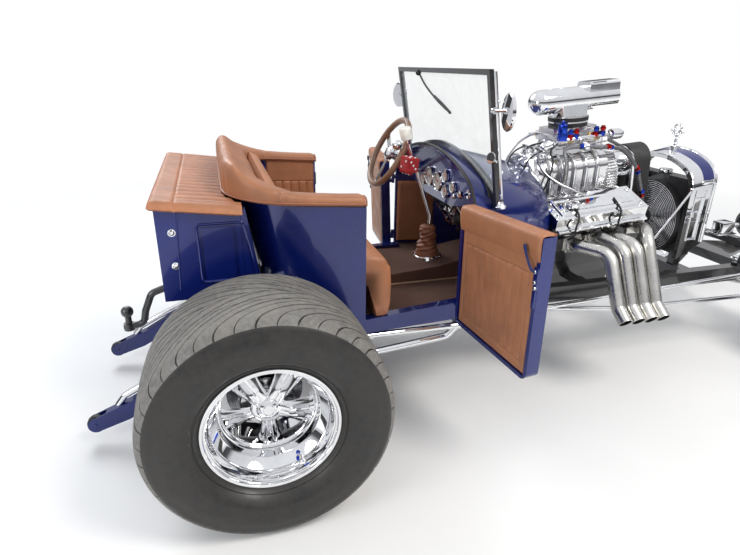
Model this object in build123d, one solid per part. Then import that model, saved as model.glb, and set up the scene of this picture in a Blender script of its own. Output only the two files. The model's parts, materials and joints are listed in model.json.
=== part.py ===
"""Street rod roadster: bucket body on ladder rails, blown V8 in the open, huge rear tyres.

Millimetres. +X is forward, +Y is the car's left, +Z is up. While it is drawn, x = 0 is the
rear axle and z = 0 is the ground; save() shifts every piece so that the origin is the bottom
centre of the whole car. Angles are in degrees.
"""
import os
from math import cos, pi, radians, sin, sqrt

from build123d import *

# General fits
SEAT = 0.3  # gap between pieces that rest on one another along a curve
RUNNING = 0.08  # radial gap of a shaft in its bore
SWING = 5.0  # gap beside a piece that turns

# Stance
WHEELBASE = 2850.0
REAR_TRACK = 1540.0
FRONT_TRACK = 1300.0
FRONT_X = WHEELBASE

# Rear tyre and wheel, y measured outward from the tyre's middle plane
REAR_TYRE_R = 384.0
REAR_TYRE_W = 392.0
REAR_TREAD_W = 344.0
REAR_SIDE_T = 14.0
REAR_BEAD_R = 190.5
REAR_RIM_W = 292.0
REAR_FLANGE_R = 208.5
REAR_WELL_R = 163.0
REAR_FACE_Y = 34.0
RIM_T = 6.0
FLANGE_T = 8.0
HUB_R = 58.0
CAP_R = 38.0
CAP_H = 18.0
SPOKES = 5
REAR_SPOKE_T = 24.0
SPOKE_ROOT_W = 50.0
SPOKE_TIP_W = 88.0
DISC_T = 12.0
REAR_DISC_R = 124.0
REAR_DISC_Y = REAR_TRACK / 2 - 70.0
AXLE_SHAFT_R = 18.0
AXLE_STUB = 50.0

# Front tyre and wheel
FRONT_TYRE_R = 335.0
FRONT_TYRE_W = 165.0
FRONT_TREAD_W = 126.0
FRONT_SIDE_T = 11.0
FRONT_RIM_W = 118.0
FRONT_FLANGE_R = 207.0
FRONT_WELL_R = 168.0
FRONT_FACE_Y = 24.0
FRONT_SPOKE_T = 16.0
CAP_FACE_T = 4.0

# Kingpin, spindle and steering arms
KINGPIN_Y = 600.0
KINGPIN_R = 9.0
BOSS_R = 18.0
BOSS_H = 54.0
YOKE_LUG_T = 18.0
YOKE_WALL_Y = 20.0
YOKE_WALL_T = 20.0
SPINDLE_R = 14.0
ARM_T = 15.0
ARM_Z = FRONT_TYRE_R + 5.0
ARM_EYE_R = 15.0
STUD_R = 6.0
JOINT_R = 14.0
JOINT_H = 20.0
TIE_ARM = 145.0
DRAG_ARM_BACK = 110.0
DRAG_ARM_IN = 55.0
LINK_R = 11.0

# Steering box and column
PITMAN_X = 2340.0
PITMAN_Y = 200.0
SECTOR_R = 16.0
BOX_X0 = 2282.0
BOX_X1 = 2402.0
BOX_Y0 = 168.0
BOX_TOP = 502.0
BOX_BOTTOM = 374.0
SHAFT_R = 11.0
SHAFT_Y = 275.0
SHAFT_IN_Z = 472.0
STEER_WHEEL_X = 723.0
STEER_WHEEL_Y = 240.0
STEER_WHEEL_Z = 994.0
STEER_WHEEL_R = 165.0
STEER_RIM_R = 14.0
COLUMN_TILT = 27.7
COLUMN_R = 22.0
COLUMN_GAP = 26.0
COLUMN_END = 318.0

# Frame rails and cross members
RAIL_W = 50.0
RAIL_OUT = 300.0
RAIL_TOP = 440.0
RAIL_H = 76.0
RAIL_FRONT = 2535.0
RAIL_REAR = -290.0
KICK_START = 230.0
KICK_END = 120.0
KICK_TOP = 640.0
RAIL_IN = RAIL_OUT - RAIL_W
RAIL_BOTTOM = RAIL_TOP - RAIL_H
CROSS_H = 50.0
PERCH_FRONT = 2795.0
PERCH_HALF = 62.0
PERCH_T = 18.0

# Front axle, spring and hairpin radius rods
AXLE_R = 25.0
BATWING_Y = 341.0
BATWING_T = 8.0
HAIRPIN_R = 11.0
HAIRPIN_Y = BATWING_Y + BATWING_T / 2 + HAIRPIN_R + 1.0
HAIRPIN_TOP_Z = 436.0
HAIRPIN_LOW_Z = 290.0
HAIRPIN_PIVOT_X = 1200.0
HAIRPIN_PIVOT_Z = 372.0
SPRING_X = 2772.0
SPRING_W = 45.0
LEAF_T = 8.0
SPRING_PAD = 8.0
SPRING_HALF = 392.0
SHACKLE_T = 6.0
SPRING_DROP = 20.0
PERCH_PIN_R = 9.0

# Rear axle
TUBE_R = 40.0
AXLE_END_Y = REAR_DISC_Y - DISC_T / 2 - 10.0
DIFF_R = 128.0
PINION_X = 205.0
ROD_Y = 400.0
ROD_PIVOT_X = 870.0
ROD_PIVOT_Z = 377.0
ROD_R = 15.0
ROD_EYE_R = 18.0
ROD_EYE_X = TUBE_R + ROD_EYE_R + 4.0
ROD_EAR_T = 14.0
ROD_RUN_Y = ROD_Y + ROD_EAR_T / 2 + ROD_R + 1.0
COIL_Y = 372.0
COIL_X = -62.0

# Wheelie bars and hitch
WHEELIE_Y = 301.0
WHEELIE_W = 38.0
WHEELIE_PLATE_T = 6.0
WHEELIE_BOLT_X = -619.0
WHEELIE_BOLT_Z = 82.0
WHEELIE_END_R = 30.0
WHEELIE_WHEEL_R = 34.0
WHEELIE_BOLT_R = 6.0
HITCH_R = 15.0
HITCH_BALL_R = 25.0
HITCH_BALL_X = -500.0
HITCH_BALL_Z = 405.0
HITCH_PLATE_Z = 322.0

# Body
TUB_WALL = 40.0
JAMB_X = 402.0
JAMB_HALF = 500.0
TUB_REAR_HALF = 490.0
TUB_LOW_Z = 402.0
TUB_HIGH_Z = 965.0
TUB_REAR_LOW_X = 88.0
TUB_REAR_HIGH_X = -16.0
TUB_CORNER_R = 200.0
TUB_TOP_FRONT = 926.0
TUB_TOP_REAR = 953.0
SHELF_Z = 640.0
SHELF_T = 15.0
RISER_X = 235.0
FLOOR_T = 20.0
FLOOR_TOP = RAIL_TOP + FLOOR_T
SILL_W = 40.0
SILL_REAR_OUT = 442.0
SILL_FRONT_OUT = 412.0
SILL_FRONT_RISE = 20.0

# Doors, drawn closed and turned open about a leaning pin
HINGE_X = 836.0
HINGE_Y = 476.0
HINGE_Z = 430.0
HINGE_LEAN = 0.035
DOOR_OPEN = 95.0
DOOR_GAP = 6.0
DOOR_REAR_OUT = JAMB_HALF
DOOR_FRONT_OUT = 470.0
DOOR_T = 50.0
DOOR_PAD_T = 18.0
DOOR_FLANGE = 15.0
DOOR_CORNER_R = 30.0
DOOR_LOW_REAR = 410.0
DOOR_LOW_FRONT = 430.0
DOOR_TOP_FRONT = 905.0
HINGE_R = 8.0
HINGE_PIN_R = 4.0
HINGE_LENGTH = 24.0
HINGE_HEIGHTS = (505.0, 815.0)

# Cowl
COWL_REAR = HINGE_X + 5.0
COWL_MID = 960.0
COWL_FRONT = 1290.0
COWL_WALL = 18.0
# x, half width, bottom z, shoulder z, crown z
COWL_SECTIONS = (
    (COWL_REAR, 470.0, 440.0, 850.0, 1062.0),
    (COWL_MID, 446.0, 444.0, 850.0, 1040.0),
    (COWL_FRONT, 300.0, 482.0, 740.0, 955.0),
)
DASH_X = 882.0
DASH_T = 20.0
TUNNEL_HALF = 125.0
TUNNEL_WALL = 12.0
TUNNEL_TOP_Z = 528.0
TUNNEL_FRONT_Z = 603.0
SHIFTER_X = 850.0
TOE_X = 1100.0
TOE_RISE = 42.0

# Windshield
POST_FOOT_X = 925.0
POST_FOOT_Z = 918.0
POST_TOP_X = 848.0
POST_TOP_Z = 1376.0
POST_HALF = 474.0
SCREEN_T = 18.0
SCREEN_BAR = 20.0
GLASS_T = 6.0

# Seat and box
ROLL_OUT = 505.0
ROLL_W = 75.0
ROLL_BACK_X = -75.0
ROLL_BACK_T = 130.0
ROLL_FRONT_X = JAMB_X
BACKREST_TOP = 1000.0
CUSHION_FRONT = 530.0
CUSHION_HALF = 450.0
CUSHION_RELIEF = 14.0
BOX_REAR_X = -290.0
BOX_FRONT_X = -25.0
BOX_HALF = 485.0
BOX_WALL = 12.0
BOX_PANEL_INSET = 4.0
BOX_TOP_REAR = 955.0
BOX_TOP_FRONT = 922.0
PAD_T = 25.0
PAD_HALF = 505.0

# Engine, drawn level and tilted nose up about one point
ENGINE_PIVOT_X = 1540.0
ENGINE_PIVOT_Z = 700.0
ENGINE_TILT = 5.0
CRANK_Z = 485.0
BLOCK_X0 = 1330.0
BLOCK_X1 = 1790.0
DECK_Z = 812.0
DECK_HALF = 150.0
HEAD_SLOPE = 0.417
PIPE_R = 28.5
PIPE_WALL = 2.5
HEAD_FACE_Y = 282.0
FLANGE_PLATE_T = 8.0
BELT_X = 1950.0
BELT_W = 100.0
BELT_T = 6.0
BLOWER_X0 = 1345.0
BLOWER_X1 = 1715.0
BLOWER_HALF = 125.0
BLOWER_LOW = 830.0
BLOWER_HIGH = 1012.0
PULLEY_R = 74.0
BLOWER_PULLEY_Z = 925.0
SCOOP_R = 56.0
SCOOP_Z = 1245.0
SCOOP_REAR = 1360.0
SCOOP_FRONT = 1800.0

# Radiator, shell and lamps
SHELL_X0 = 2110.0
SHELL_X1 = 2250.0
SHELL_HALF = 236.0
SHELL_WALL = 22.0
SHELL_LOW_REAR = 487.0
SHELL_LOW_FRONT = 567.0
STRUT_FOOT_X = 1800.0
STRUT_R = 6.0
FAN_R = 187.0
FAN_Y = -24.0
FAN_Z = 664.0
LAMP_X = 2440.0
LAMP_Y = 345.0
LAMP_Z = 690.0
LAMP_R = 88.0

# The origin's place, half way between the front tyre's front and the wheelie wheel's rear
FRONT_END_X = FRONT_X + FRONT_TYRE_R
REAR_END_X = WHEELIE_BOLT_X - WHEELIE_WHEEL_R
ORIGIN_X = (FRONT_END_X + REAR_END_X) / 2

RIGHT = -1
LEFT = 1


def block(x0, x1, y0, y1, z0, z1):
    """Box between two opposite corners."""
    centre = Pos((x0 + x1) / 2, (y0 + y1) / 2, (z0 + z1) / 2)
    return centre * Box(x1 - x0, y1 - y0, z1 - z0)


def rod(start, end, radius):
    """Round bar from one point to another."""
    run = Vector(*end) - Vector(*start)
    return extrude(Plane(origin=start, z_dir=run) * Circle(radius), amount=run.length)


def side_plate(points, y0, y1):
    """Outline in side view, given as (x, z), filled from y0 to y1."""
    outline = Polyline([(x, y0, z) for x, z in points], close=True)
    return extrude(make_face(outline), amount=y1 - y0, dir=(0, 1, 0))


def front_plate(points, x0, x1):
    """Outline seen from the front, given as (y, z), filled from x0 to x1."""
    outline = Polyline([(x0, y, z) for y, z in points], close=True)
    return extrude(make_face(outline), amount=x1 - x0, dir=(1, 0, 0))


def plan_plate(points, z0, z1):
    """Outline seen from above, given as (x, y), filled from z0 to z1."""
    outline = Polyline([(x, y, z0) for x, y in points], close=True)
    return extrude(make_face(outline), amount=z1 - z0, dir=(0, 0, 1))


def link_plate(start, start_r, end, end_r, z0, z1):
    """Flat link seen from above, round at both ends."""
    rounds = (Pos(*start) * Circle(start_r)).edges() + (Pos(*end) * Circle(end_r)).edges()
    return Pos(0, 0, z0) * extrude(make_hull(rounds), amount=z1 - z0, dir=(0, 0, 1))


def pipe(points, bends, outer, bore=0.0):
    """Round tube along straight runs joined by tangent arcs, bored right through if hollow."""
    path = FilletPolyline(*points, radius=bends)
    start = Plane(origin=path @ 0, z_dir=path % 0)
    tube = sweep(start * Circle(outer), path=path)
    if bore > 0:
        tube = tube - sweep(start * Circle(bore), path=path)
    return tube


def turned_y(points):
    """Revolve of a (y, radius) outline about the Y axis through the origin."""
    return revolve(make_face(Polyline([(0, y, r) for y, r in points], close=True)), axis=Axis.Y)


def turned_x(points, y, z):
    """Revolve of an (x, radius) outline about the line along X through (y, z)."""
    outline = Polyline([(x, 0, r) for x, r in points], close=True)
    return Pos(0, y, z) * revolve(make_face(outline), axis=Axis.X)


def mirrored(shape):
    """The same piece on the other side of the car."""
    return mirror(shape, about=Plane.XZ)


def on_side(shape, side):
    """A piece drawn on the left, for the side that is asked for."""
    if side == LEFT:
        return shape
    return mirrored(shape)


def both(shape):
    """A piece drawn on the left together with its twin on the right."""
    return Compound([*shape.solids(), *mirrored(shape).solids()])


def engine_set(shape):
    """Tilts a piece that is drawn level with the engine to its nose-up place."""
    pin = Axis((ENGINE_PIVOT_X, 0, ENGINE_PIVOT_Z), (0, 1, 0))
    return shape.rotate(pin, -ENGINE_TILT)


def engine_z(x, z):
    """Height in the car of a point that is drawn at (x, z) in the level engine."""
    run = x - ENGINE_PIVOT_X
    rise = z - ENGINE_PIVOT_Z
    return ENGINE_PIVOT_Z + run * sin(radians(ENGINE_TILT)) + rise * cos(radians(ENGINE_TILT))


def tyre(radius, width, tread, side, bead_half, flange_r):
    """Hollow carcass about the Y axis, centred on its middle plane."""
    low = REAR_BEAD_R
    neck = flange_r + 3
    waist = (radius + neck) / 2
    shoulder = radius - side
    half = width / 2
    outside = [
        Line((0, -bead_half, low), (0, -bead_half, neck)),
        ThreePointArc((0, -bead_half, neck), (0, -half, waist), (0, -tread / 2, shoulder)),
        ThreePointArc((0, -tread / 2, shoulder), (0, 0, radius), (0, tread / 2, shoulder)),
        ThreePointArc((0, tread / 2, shoulder), (0, half, waist), (0, bead_half, neck)),
        Line((0, bead_half, neck), (0, bead_half, low)),
    ]
    bead = bead_half - side
    crown = tread / 2 - side
    inside = [
        Line((0, bead_half, low), (0, bead, low)),
        Line((0, bead, low), (0, bead, neck)),
        ThreePointArc((0, bead, neck), (0, half - side, waist), (0, crown, shoulder - side)),
        ThreePointArc((0, crown, shoulder - side), (0, 0, radius - side), (0, -crown, shoulder - side)),
        ThreePointArc((0, -crown, shoulder - side), (0, side - half, waist), (0, -bead, neck)),
        Line((0, -bead, neck), (0, -bead, low)),
        Line((0, -bead, low), (0, -bead_half, low)),
    ]
    return revolve(make_face(Wire(outside + inside)), axis=Axis.Y)


def barrel(rim_width, flange_r, well_r, well_in, well_out):
    """Stepped rim barrel whose drop well lies between two y values."""
    half = rim_width / 2
    seat = REAR_BEAD_R - SEAT
    step = seat - well_r
    outside = [
        (-half - FLANGE_T, flange_r),
        (-half, flange_r),
        (-half, seat),
        (well_in - step, seat),
        (well_in, well_r),
        (well_out, well_r),
        (well_out + step, seat),
        (half, seat),
        (half, flange_r),
        (half + FLANGE_T, flange_r),
    ]
    inside = [
        (half + FLANGE_T, flange_r - RIM_T),
        (half + RIM_T / 2, seat - RIM_T),
        (well_out + step + RIM_T / 2, seat - RIM_T),
        (well_out + RIM_T / 2, well_r - RIM_T),
        (well_in - RIM_T / 2, well_r - RIM_T),
        (well_in - step - RIM_T / 2, seat - RIM_T),
        (-half - RIM_T / 2, seat - RIM_T),
        (-half - FLANGE_T, flange_r - RIM_T),
    ]
    return turned_y(outside + inside)


def spider(face_y, thickness, tip_r):
    """Hub and flared spokes whose outer face lies at face_y."""
    back = face_y - thickness
    edge = face_y - thickness / 3
    spokes = turned_y([(back, 0), (back, tip_r), (edge, tip_r), (face_y, HUB_R), (face_y, 0)])
    pitch = 2 * pi / SPOKES
    root_turn = pitch / 2 - SPOKE_ROOT_W / 2 / HUB_R
    tip_turn = pitch / 2 - SPOKE_TIP_W / 2 / tip_r
    reach = tip_r + RIM_T
    corners = [
        (HUB_R * cos(-root_turn), HUB_R * sin(-root_turn)),
        (reach * cos(-tip_turn), reach * sin(-tip_turn)),
        (reach * cos(tip_turn), reach * sin(tip_turn)),
        (HUB_R * cos(root_turn), HUB_R * sin(root_turn)),
    ]
    window = side_plate(corners, back - 1, face_y + 1)
    for turn in range(SPOKES):
        spokes -= Rot(0, 90 + 360 / SPOKES * (turn + 0.5), 0) * window
    top = face_y + CAP_H
    cap = turned_y([(face_y, 0), (face_y, CAP_R), (top - CAP_H / 2, CAP_R - 4), (top, CAP_R / 2), (top, 0)])
    return spokes + cap


def rear_wheel():
    """Left rear wheel with its brake disc and the shaft stub that runs in the axle."""
    centre = REAR_TRACK / 2
    well = REAR_WELL_R - RIM_T
    disc_in = REAR_DISC_Y - DISC_T / 2 - centre
    disc_out = REAR_DISC_Y + DISC_T / 2 - centre
    wheel = barrel(REAR_RIM_W, REAR_FLANGE_R, REAR_WELL_R, -80, 72)
    wheel += spider(REAR_FACE_Y, REAR_SPOKE_T, well + 0.5)
    wheel += turned_y([
        (AXLE_END_Y - AXLE_STUB - centre, 0),
        (AXLE_END_Y - AXLE_STUB - centre, AXLE_SHAFT_R),
        (disc_in, AXLE_SHAFT_R),
        (disc_in, REAR_DISC_R),
        (disc_out, REAR_DISC_R),
        (disc_out, HUB_R),
        (REAR_FACE_Y - REAR_SPOKE_T + 1, HUB_R),
        (REAR_FACE_Y - REAR_SPOKE_T + 1, 0),
    ])
    return Pos(0, centre, REAR_TYRE_R) * wheel


def rear_tyre():
    """Left rear tyre."""
    bead = REAR_RIM_W / 2 - SEAT
    carcass = tyre(REAR_TYRE_R, REAR_TYRE_W, REAR_TREAD_W, REAR_SIDE_T, bead, REAR_FLANGE_R)
    return Pos(0, REAR_TRACK / 2, REAR_TYRE_R) * carcass


def front_wheel():
    """Left front wheel, bored for the spindle."""
    centre = FRONT_TRACK / 2
    well = FRONT_WELL_R - RIM_T
    bore = SPINDLE_R + RUNNING
    hub_in = KINGPIN_Y + YOKE_WALL_Y + YOKE_WALL_T + SWING - centre
    hub_out = FRONT_FACE_Y - FRONT_SPOKE_T + 1
    wheel = barrel(FRONT_RIM_W, FRONT_FLANGE_R, FRONT_WELL_R, -22, 22)
    wheel += spider(FRONT_FACE_Y, FRONT_SPOKE_T, well + 0.5)
    wheel += turned_y([(hub_in, 0), (hub_in, HUB_R - 10), (hub_out, HUB_R - 10), (hub_out, 0)])
    blind = FRONT_FACE_Y - CAP_FACE_T
    wheel -= turned_y([(hub_in - 1, 0), (hub_in - 1, bore), (blind, bore), (blind, 0)])
    return Pos(FRONT_X, centre, FRONT_TYRE_R) * wheel


def front_tyre():
    """Left front tyre."""
    bead = FRONT_RIM_W / 2 - SEAT
    carcass = tyre(FRONT_TYRE_R, FRONT_TYRE_W, FRONT_TREAD_W, FRONT_SIDE_T, bead, FRONT_FLANGE_R)
    return Pos(FRONT_X, FRONT_TRACK / 2, FRONT_TYRE_R) * carcass


def knuckle(drag_side):
    """Left knuckle: kingpin, yoke, spindle and steering arm; drag_side adds the drag link's arm."""
    wall_in = KINGPIN_Y + YOKE_WALL_Y
    wall_out = wall_in + YOKE_WALL_T
    lug_low = FRONT_TYRE_R + BOSS_H / 2 + 1
    half_h = BOSS_H / 2 + 1 + YOKE_LUG_T
    body = block(-18, 18, wall_in, wall_out, FRONT_TYRE_R - half_h, FRONT_TYRE_R + half_h)
    for z in (lug_low, FRONT_TYRE_R - half_h):
        body += link_plate((0, KINGPIN_Y), BOSS_R, (0, wall_out - BOSS_R), BOSS_R, z, z + YOKE_LUG_T)
    pin_half = half_h + 4
    spindle_end = FRONT_TRACK / 2 + FRONT_FACE_Y - CAP_FACE_T - 2
    body += rod((0, KINGPIN_Y, FRONT_TYRE_R - pin_half), (0, KINGPIN_Y, FRONT_TYRE_R + pin_half), KINGPIN_R)
    body += rod((0, wall_in, FRONT_TYRE_R), (0, spindle_end, FRONT_TYRE_R), SPINDLE_R)
    eyes = [(-TIE_ARM, KINGPIN_Y)]
    arm = link_plate((-16, wall_in + 10), 9, eyes[0], ARM_EYE_R, ARM_Z, ARM_Z + ARM_T)
    if drag_side:
        root = (-DRAG_ARM_BACK * 0.75, KINGPIN_Y + 12)
        eyes.append((-DRAG_ARM_BACK, KINGPIN_Y - DRAG_ARM_IN))
        arm += link_plate(root, 12, eyes[1], ARM_EYE_R, ARM_Z, ARM_Z + ARM_T)
    for eye in eyes:
        arm -= rod((*eye, ARM_Z - 1), (*eye, ARM_Z + ARM_T + 1), STUD_R + RUNNING)
    return Pos(FRONT_X, 0, 0) * (body + arm)


def link_end(x, y, upward):
    """Ball housing above or below an arm's eye, with its stud through the eye."""
    if upward:
        base = ARM_Z + ARM_T + 1
        stud = rod((x, y, ARM_Z - 1), (x, y, base + JOINT_H / 2), STUD_R)
        return rod((x, y, base), (x, y, base + JOINT_H), JOINT_R) + stud
    base = ARM_Z - 1
    stud = rod((x, y, base - JOINT_H / 2), (x, y, ARM_Z + ARM_T + 1), STUD_R)
    return rod((x, y, base - JOINT_H), (x, y, base), JOINT_R) + stud


def tie_rod():
    """Rod between the two steering arms, above them."""
    x = FRONT_X - TIE_ARM
    z = ARM_Z + ARM_T + 1 + JOINT_H / 2
    bar = rod((x, -KINGPIN_Y, z), (x, KINGPIN_Y, z), LINK_R - 2)
    return bar + link_end(x, KINGPIN_Y, True) + link_end(x, -KINGPIN_Y, True)


def pitman_ball():
    """Place of the ball at the pitman arm's end, the same way from its pivot as on the right knuckle."""
    return PITMAN_X - DRAG_ARM_BACK, PITMAN_Y + DRAG_ARM_IN


def knuckle_ball():
    """Place of the drag link's ball on the right knuckle."""
    return FRONT_X - DRAG_ARM_BACK, -(KINGPIN_Y - DRAG_ARM_IN)


def drag_link():
    """Rod from the pitman arm across to the right knuckle, below both arms."""
    z = ARM_Z - 1 - JOINT_H / 2
    bar = rod((*pitman_ball(), z), (*knuckle_ball(), z), LINK_R - 2)
    return bar + link_end(*pitman_ball(), False) + link_end(*knuckle_ball(), False)


def pitman_arm():
    """Arm on the steering box's sector shaft."""
    ball = pitman_ball()
    arm = link_plate((PITMAN_X, PITMAN_Y), SECTOR_R + 8, ball, ARM_EYE_R, ARM_Z, ARM_Z + ARM_T)
    arm -= rod((*ball, ARM_Z - 1), (*ball, ARM_Z + ARM_T + 1), STUD_R + RUNNING)
    return arm + rod((PITMAN_X, PITMAN_Y, ARM_Z), (PITMAN_X, PITMAN_Y, BOX_BOTTOM + 30), SECTOR_R)


def front_axle():
    """Tube axle with kingpin bosses, batwing plates and the spring's perch pins."""
    z = FRONT_TYRE_R
    beam = rod((FRONT_X, -KINGPIN_Y, z), (FRONT_X, KINGPIN_Y, z), AXLE_R)
    for side in (RIGHT, LEFT):
        y = side * KINGPIN_Y
        clear = BOSS_R + SWING + 1
        beam -= block(FRONT_X - 60, FRONT_X + 60, y - 22, y + 22, z - 60, z + 60)
        neck_in = side * (KINGPIN_Y - clear - 10)
        neck_out = side * (KINGPIN_Y - 12)
        beam += rod((FRONT_X, neck_in, z), (FRONT_X, neck_out, z), BOSS_R - 2)
        beam += rod((FRONT_X, y, z - BOSS_H / 2), (FRONT_X, y, z + BOSS_H / 2), BOSS_R)
        beam -= rod((FRONT_X, y, z - BOSS_H), (FRONT_X, y, z + BOSS_H), KINGPIN_R + RUNNING)
        wing = side_plate(
            [
                (FRONT_X - 18, HAIRPIN_LOW_Z - 16),
                (FRONT_X + 18, HAIRPIN_LOW_Z - 16),
                (FRONT_X + 42, z),
                (FRONT_X + 18, HAIRPIN_TOP_Z + 16),
                (FRONT_X - 18, HAIRPIN_TOP_Z + 16),
                (FRONT_X - 42, z),
            ],
            BATWING_Y - BATWING_T / 2,
            BATWING_Y + BATWING_T / 2,
        )
        beam += on_side(wing, side)
        pin_y = side * SPRING_HALF
        beam += rod((FRONT_X - 10, pin_y, z + 10), (SPRING_X - SPRING_W / 2 - 8, pin_y, z + 34), PERCH_PIN_R)
    return beam


def front_spring():
    """Transverse leaf pack with its clamp, and shackles down to the perch pins."""
    bend_r = (SPRING_HALF**2 + SPRING_DROP**2) / (2 * SPRING_DROP)
    centre_z = RAIL_TOP + SPRING_PAD - bend_r
    shares = (0.46, 0.64, 0.82, 1.0)

    def arc_z(radius, y):
        """Height of a leaf's face at a distance from the middle."""
        return centre_z + sqrt(radius**2 - y**2)

    pack = block(0, SPRING_W, -30, 30, RAIL_TOP, RAIL_TOP + SPRING_PAD + len(shares) * LEAF_T + 8)
    for index, share in enumerate(shares):
        half = SPRING_HALF * share
        low = bend_r + LEAF_T * index
        top = low + LEAF_T
        end_low = arc_z(low, half)
        end_top = arc_z(top, half)
        under = ThreePointArc((0, -half, end_low), (0, 0, arc_z(low, 0)), (0, half, end_low))
        over = ThreePointArc((0, half, end_top), (0, 0, arc_z(top, 0)), (0, -half, end_top))
        right = Line((0, half, end_low), (0, half, end_top))
        left = Line((0, -half, end_top), (0, -half, end_low))
        pack += extrude(make_face(Wire([under, right, over, left])), amount=SPRING_W, dir=(1, 0, 0))
    pack = Pos(SPRING_X - SPRING_W / 2, 0, 0) * pack
    end_z = arc_z(bend_r + LEAF_T * (len(shares) - 1), SPRING_HALF)
    pin_z = FRONT_TYRE_R + 34
    for side in (RIGHT, LEFT):
        y = side * SPRING_HALF
        eye_z = pin_z + PERCH_PIN_R + SEAT
        for x in (SPRING_X - SPRING_W / 2 - SHACKLE_T, SPRING_X + SPRING_W / 2):
            pack += block(x, x + SHACKLE_T, y - 10, y + 10, eye_z, end_z + LEAF_T)
        half_eye = SPRING_W / 2 + SHACKLE_T
        pack += block(SPRING_X - half_eye, SPRING_X + half_eye, y - 10, y + 10, eye_z, eye_z + 8)
    return pack


def hairpins():
    """Front radius rods: on each side two rods that meet at a pivot on the frame."""
    z_mid = HAIRPIN_PIVOT_Z
    meet = (HAIRPIN_PIVOT_X + 60, HAIRPIN_Y, z_mid)
    low_bend = (HAIRPIN_PIVOT_X + 560, HAIRPIN_Y, HAIRPIN_LOW_Z + 22)
    rods = rod((FRONT_X, HAIRPIN_Y, HAIRPIN_TOP_Z), meet, HAIRPIN_R)
    rods += pipe([(FRONT_X, HAIRPIN_Y, HAIRPIN_LOW_Z), low_bend, meet], [300], HAIRPIN_R)
    adjuster = (HAIRPIN_PIVOT_X + 140, HAIRPIN_Y, z_mid)
    rods += rod(adjuster, (HAIRPIN_PIVOT_X, HAIRPIN_Y, z_mid), HAIRPIN_R + 3)
    eye_in = BATWING_Y + BATWING_T / 2
    for z in (HAIRPIN_TOP_Z, HAIRPIN_LOW_Z):
        rods += rod((FRONT_X, eye_in, z), (FRONT_X, eye_in + 2 * HAIRPIN_R + 2, z), 16)
    eye_y = RAIL_OUT + 24
    rods += rod((HAIRPIN_PIVOT_X, eye_y, z_mid), (HAIRPIN_PIVOT_X, HAIRPIN_Y + HAIRPIN_R + 5, z_mid), 18)
    return both(rods)


def rail():
    """Left frame rail with its kick-up over the axle."""
    outline = [
        (RAIL_FRONT, RAIL_BOTTOM),
        (RAIL_FRONT, RAIL_TOP),
        (KICK_START, RAIL_TOP),
        (KICK_END, KICK_TOP),
        (RAIL_REAR, KICK_TOP),
        (RAIL_REAR, KICK_TOP - RAIL_H),
        (KICK_END - 45, KICK_TOP - RAIL_H),
        (KICK_START - 45, RAIL_BOTTOM),
    ]
    return side_plate(outline, RAIL_IN, RAIL_OUT)


def frame():
    """Ladder frame: rails, cross members, perch plate, mounts and rod brackets."""
    ladder = rail() + mirrored(rail())
    ladder += block(RAIL_FRONT, RAIL_FRONT + 25, -RAIL_OUT, RAIL_OUT, RAIL_TOP - CROSS_H, RAIL_TOP)
    # x, width, height of the top, for each cross member between the rails
    crossers = ((2170, 60, RAIL_TOP), (170, 40, RAIL_TOP + 120), (-90, 40, KICK_TOP), (-270, 40, KICK_TOP))
    for x, width, top in crossers:
        ladder += block(x - width / 2, x + width / 2, -RAIL_IN, RAIL_IN, top - CROSS_H, top)
    ladder += block(1000, 1060, -RAIL_IN, RAIL_IN, RAIL_BOTTOM - 66, RAIL_BOTTOM - 34)
    for side in (RIGHT, LEFT):
        hanger = block(1000, 1060, RAIL_IN - 20, RAIL_OUT - 10, RAIL_BOTTOM - 66, RAIL_BOTTOM)
        mount = block(1520, 1580, 205, RAIL_IN, RAIL_TOP - 30, RAIL_TOP)
        post = block(2150, 2190, 150, 190, RAIL_TOP, SHELL_LOW_REAR + 12)
        rod_x = ROD_PIVOT_X - 28
        rod_ear = block(rod_x, rod_x + 56, RAIL_OUT, ROD_Y - 24, ROD_PIVOT_Z - 22, ROD_PIVOT_Z + 22)
        pin_x = HAIRPIN_PIVOT_X - 26
        pin_ear = block(pin_x, pin_x + 52, RAIL_OUT, RAIL_OUT + 24, HAIRPIN_PIVOT_Z - 22, RAIL_TOP - 6)
        coil_ear = block(COIL_X - 50, COIL_X + 10, RAIL_OUT, COIL_Y + 30, KICK_TOP - 26, KICK_TOP - 6)
        for piece in (hanger, mount, post, rod_ear, pin_ear, coil_ear):
            ladder += on_side(piece, side)
    nose = RAIL_FRONT + 25
    plate_low = RAIL_TOP - PERCH_T
    perch = plan_plate(
        [(nose, -150), (PERCH_FRONT, -PERCH_HALF), (PERCH_FRONT, PERCH_HALF), (nose, 150)],
        plate_low,
        RAIL_TOP,
    )
    gusset = side_plate(
        [(nose, RAIL_TOP - CROSS_H), (PERCH_FRONT - 40, plate_low), (nose, plate_low)],
        -6,
        6,
    )
    return ladder + perch + gusset


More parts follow.
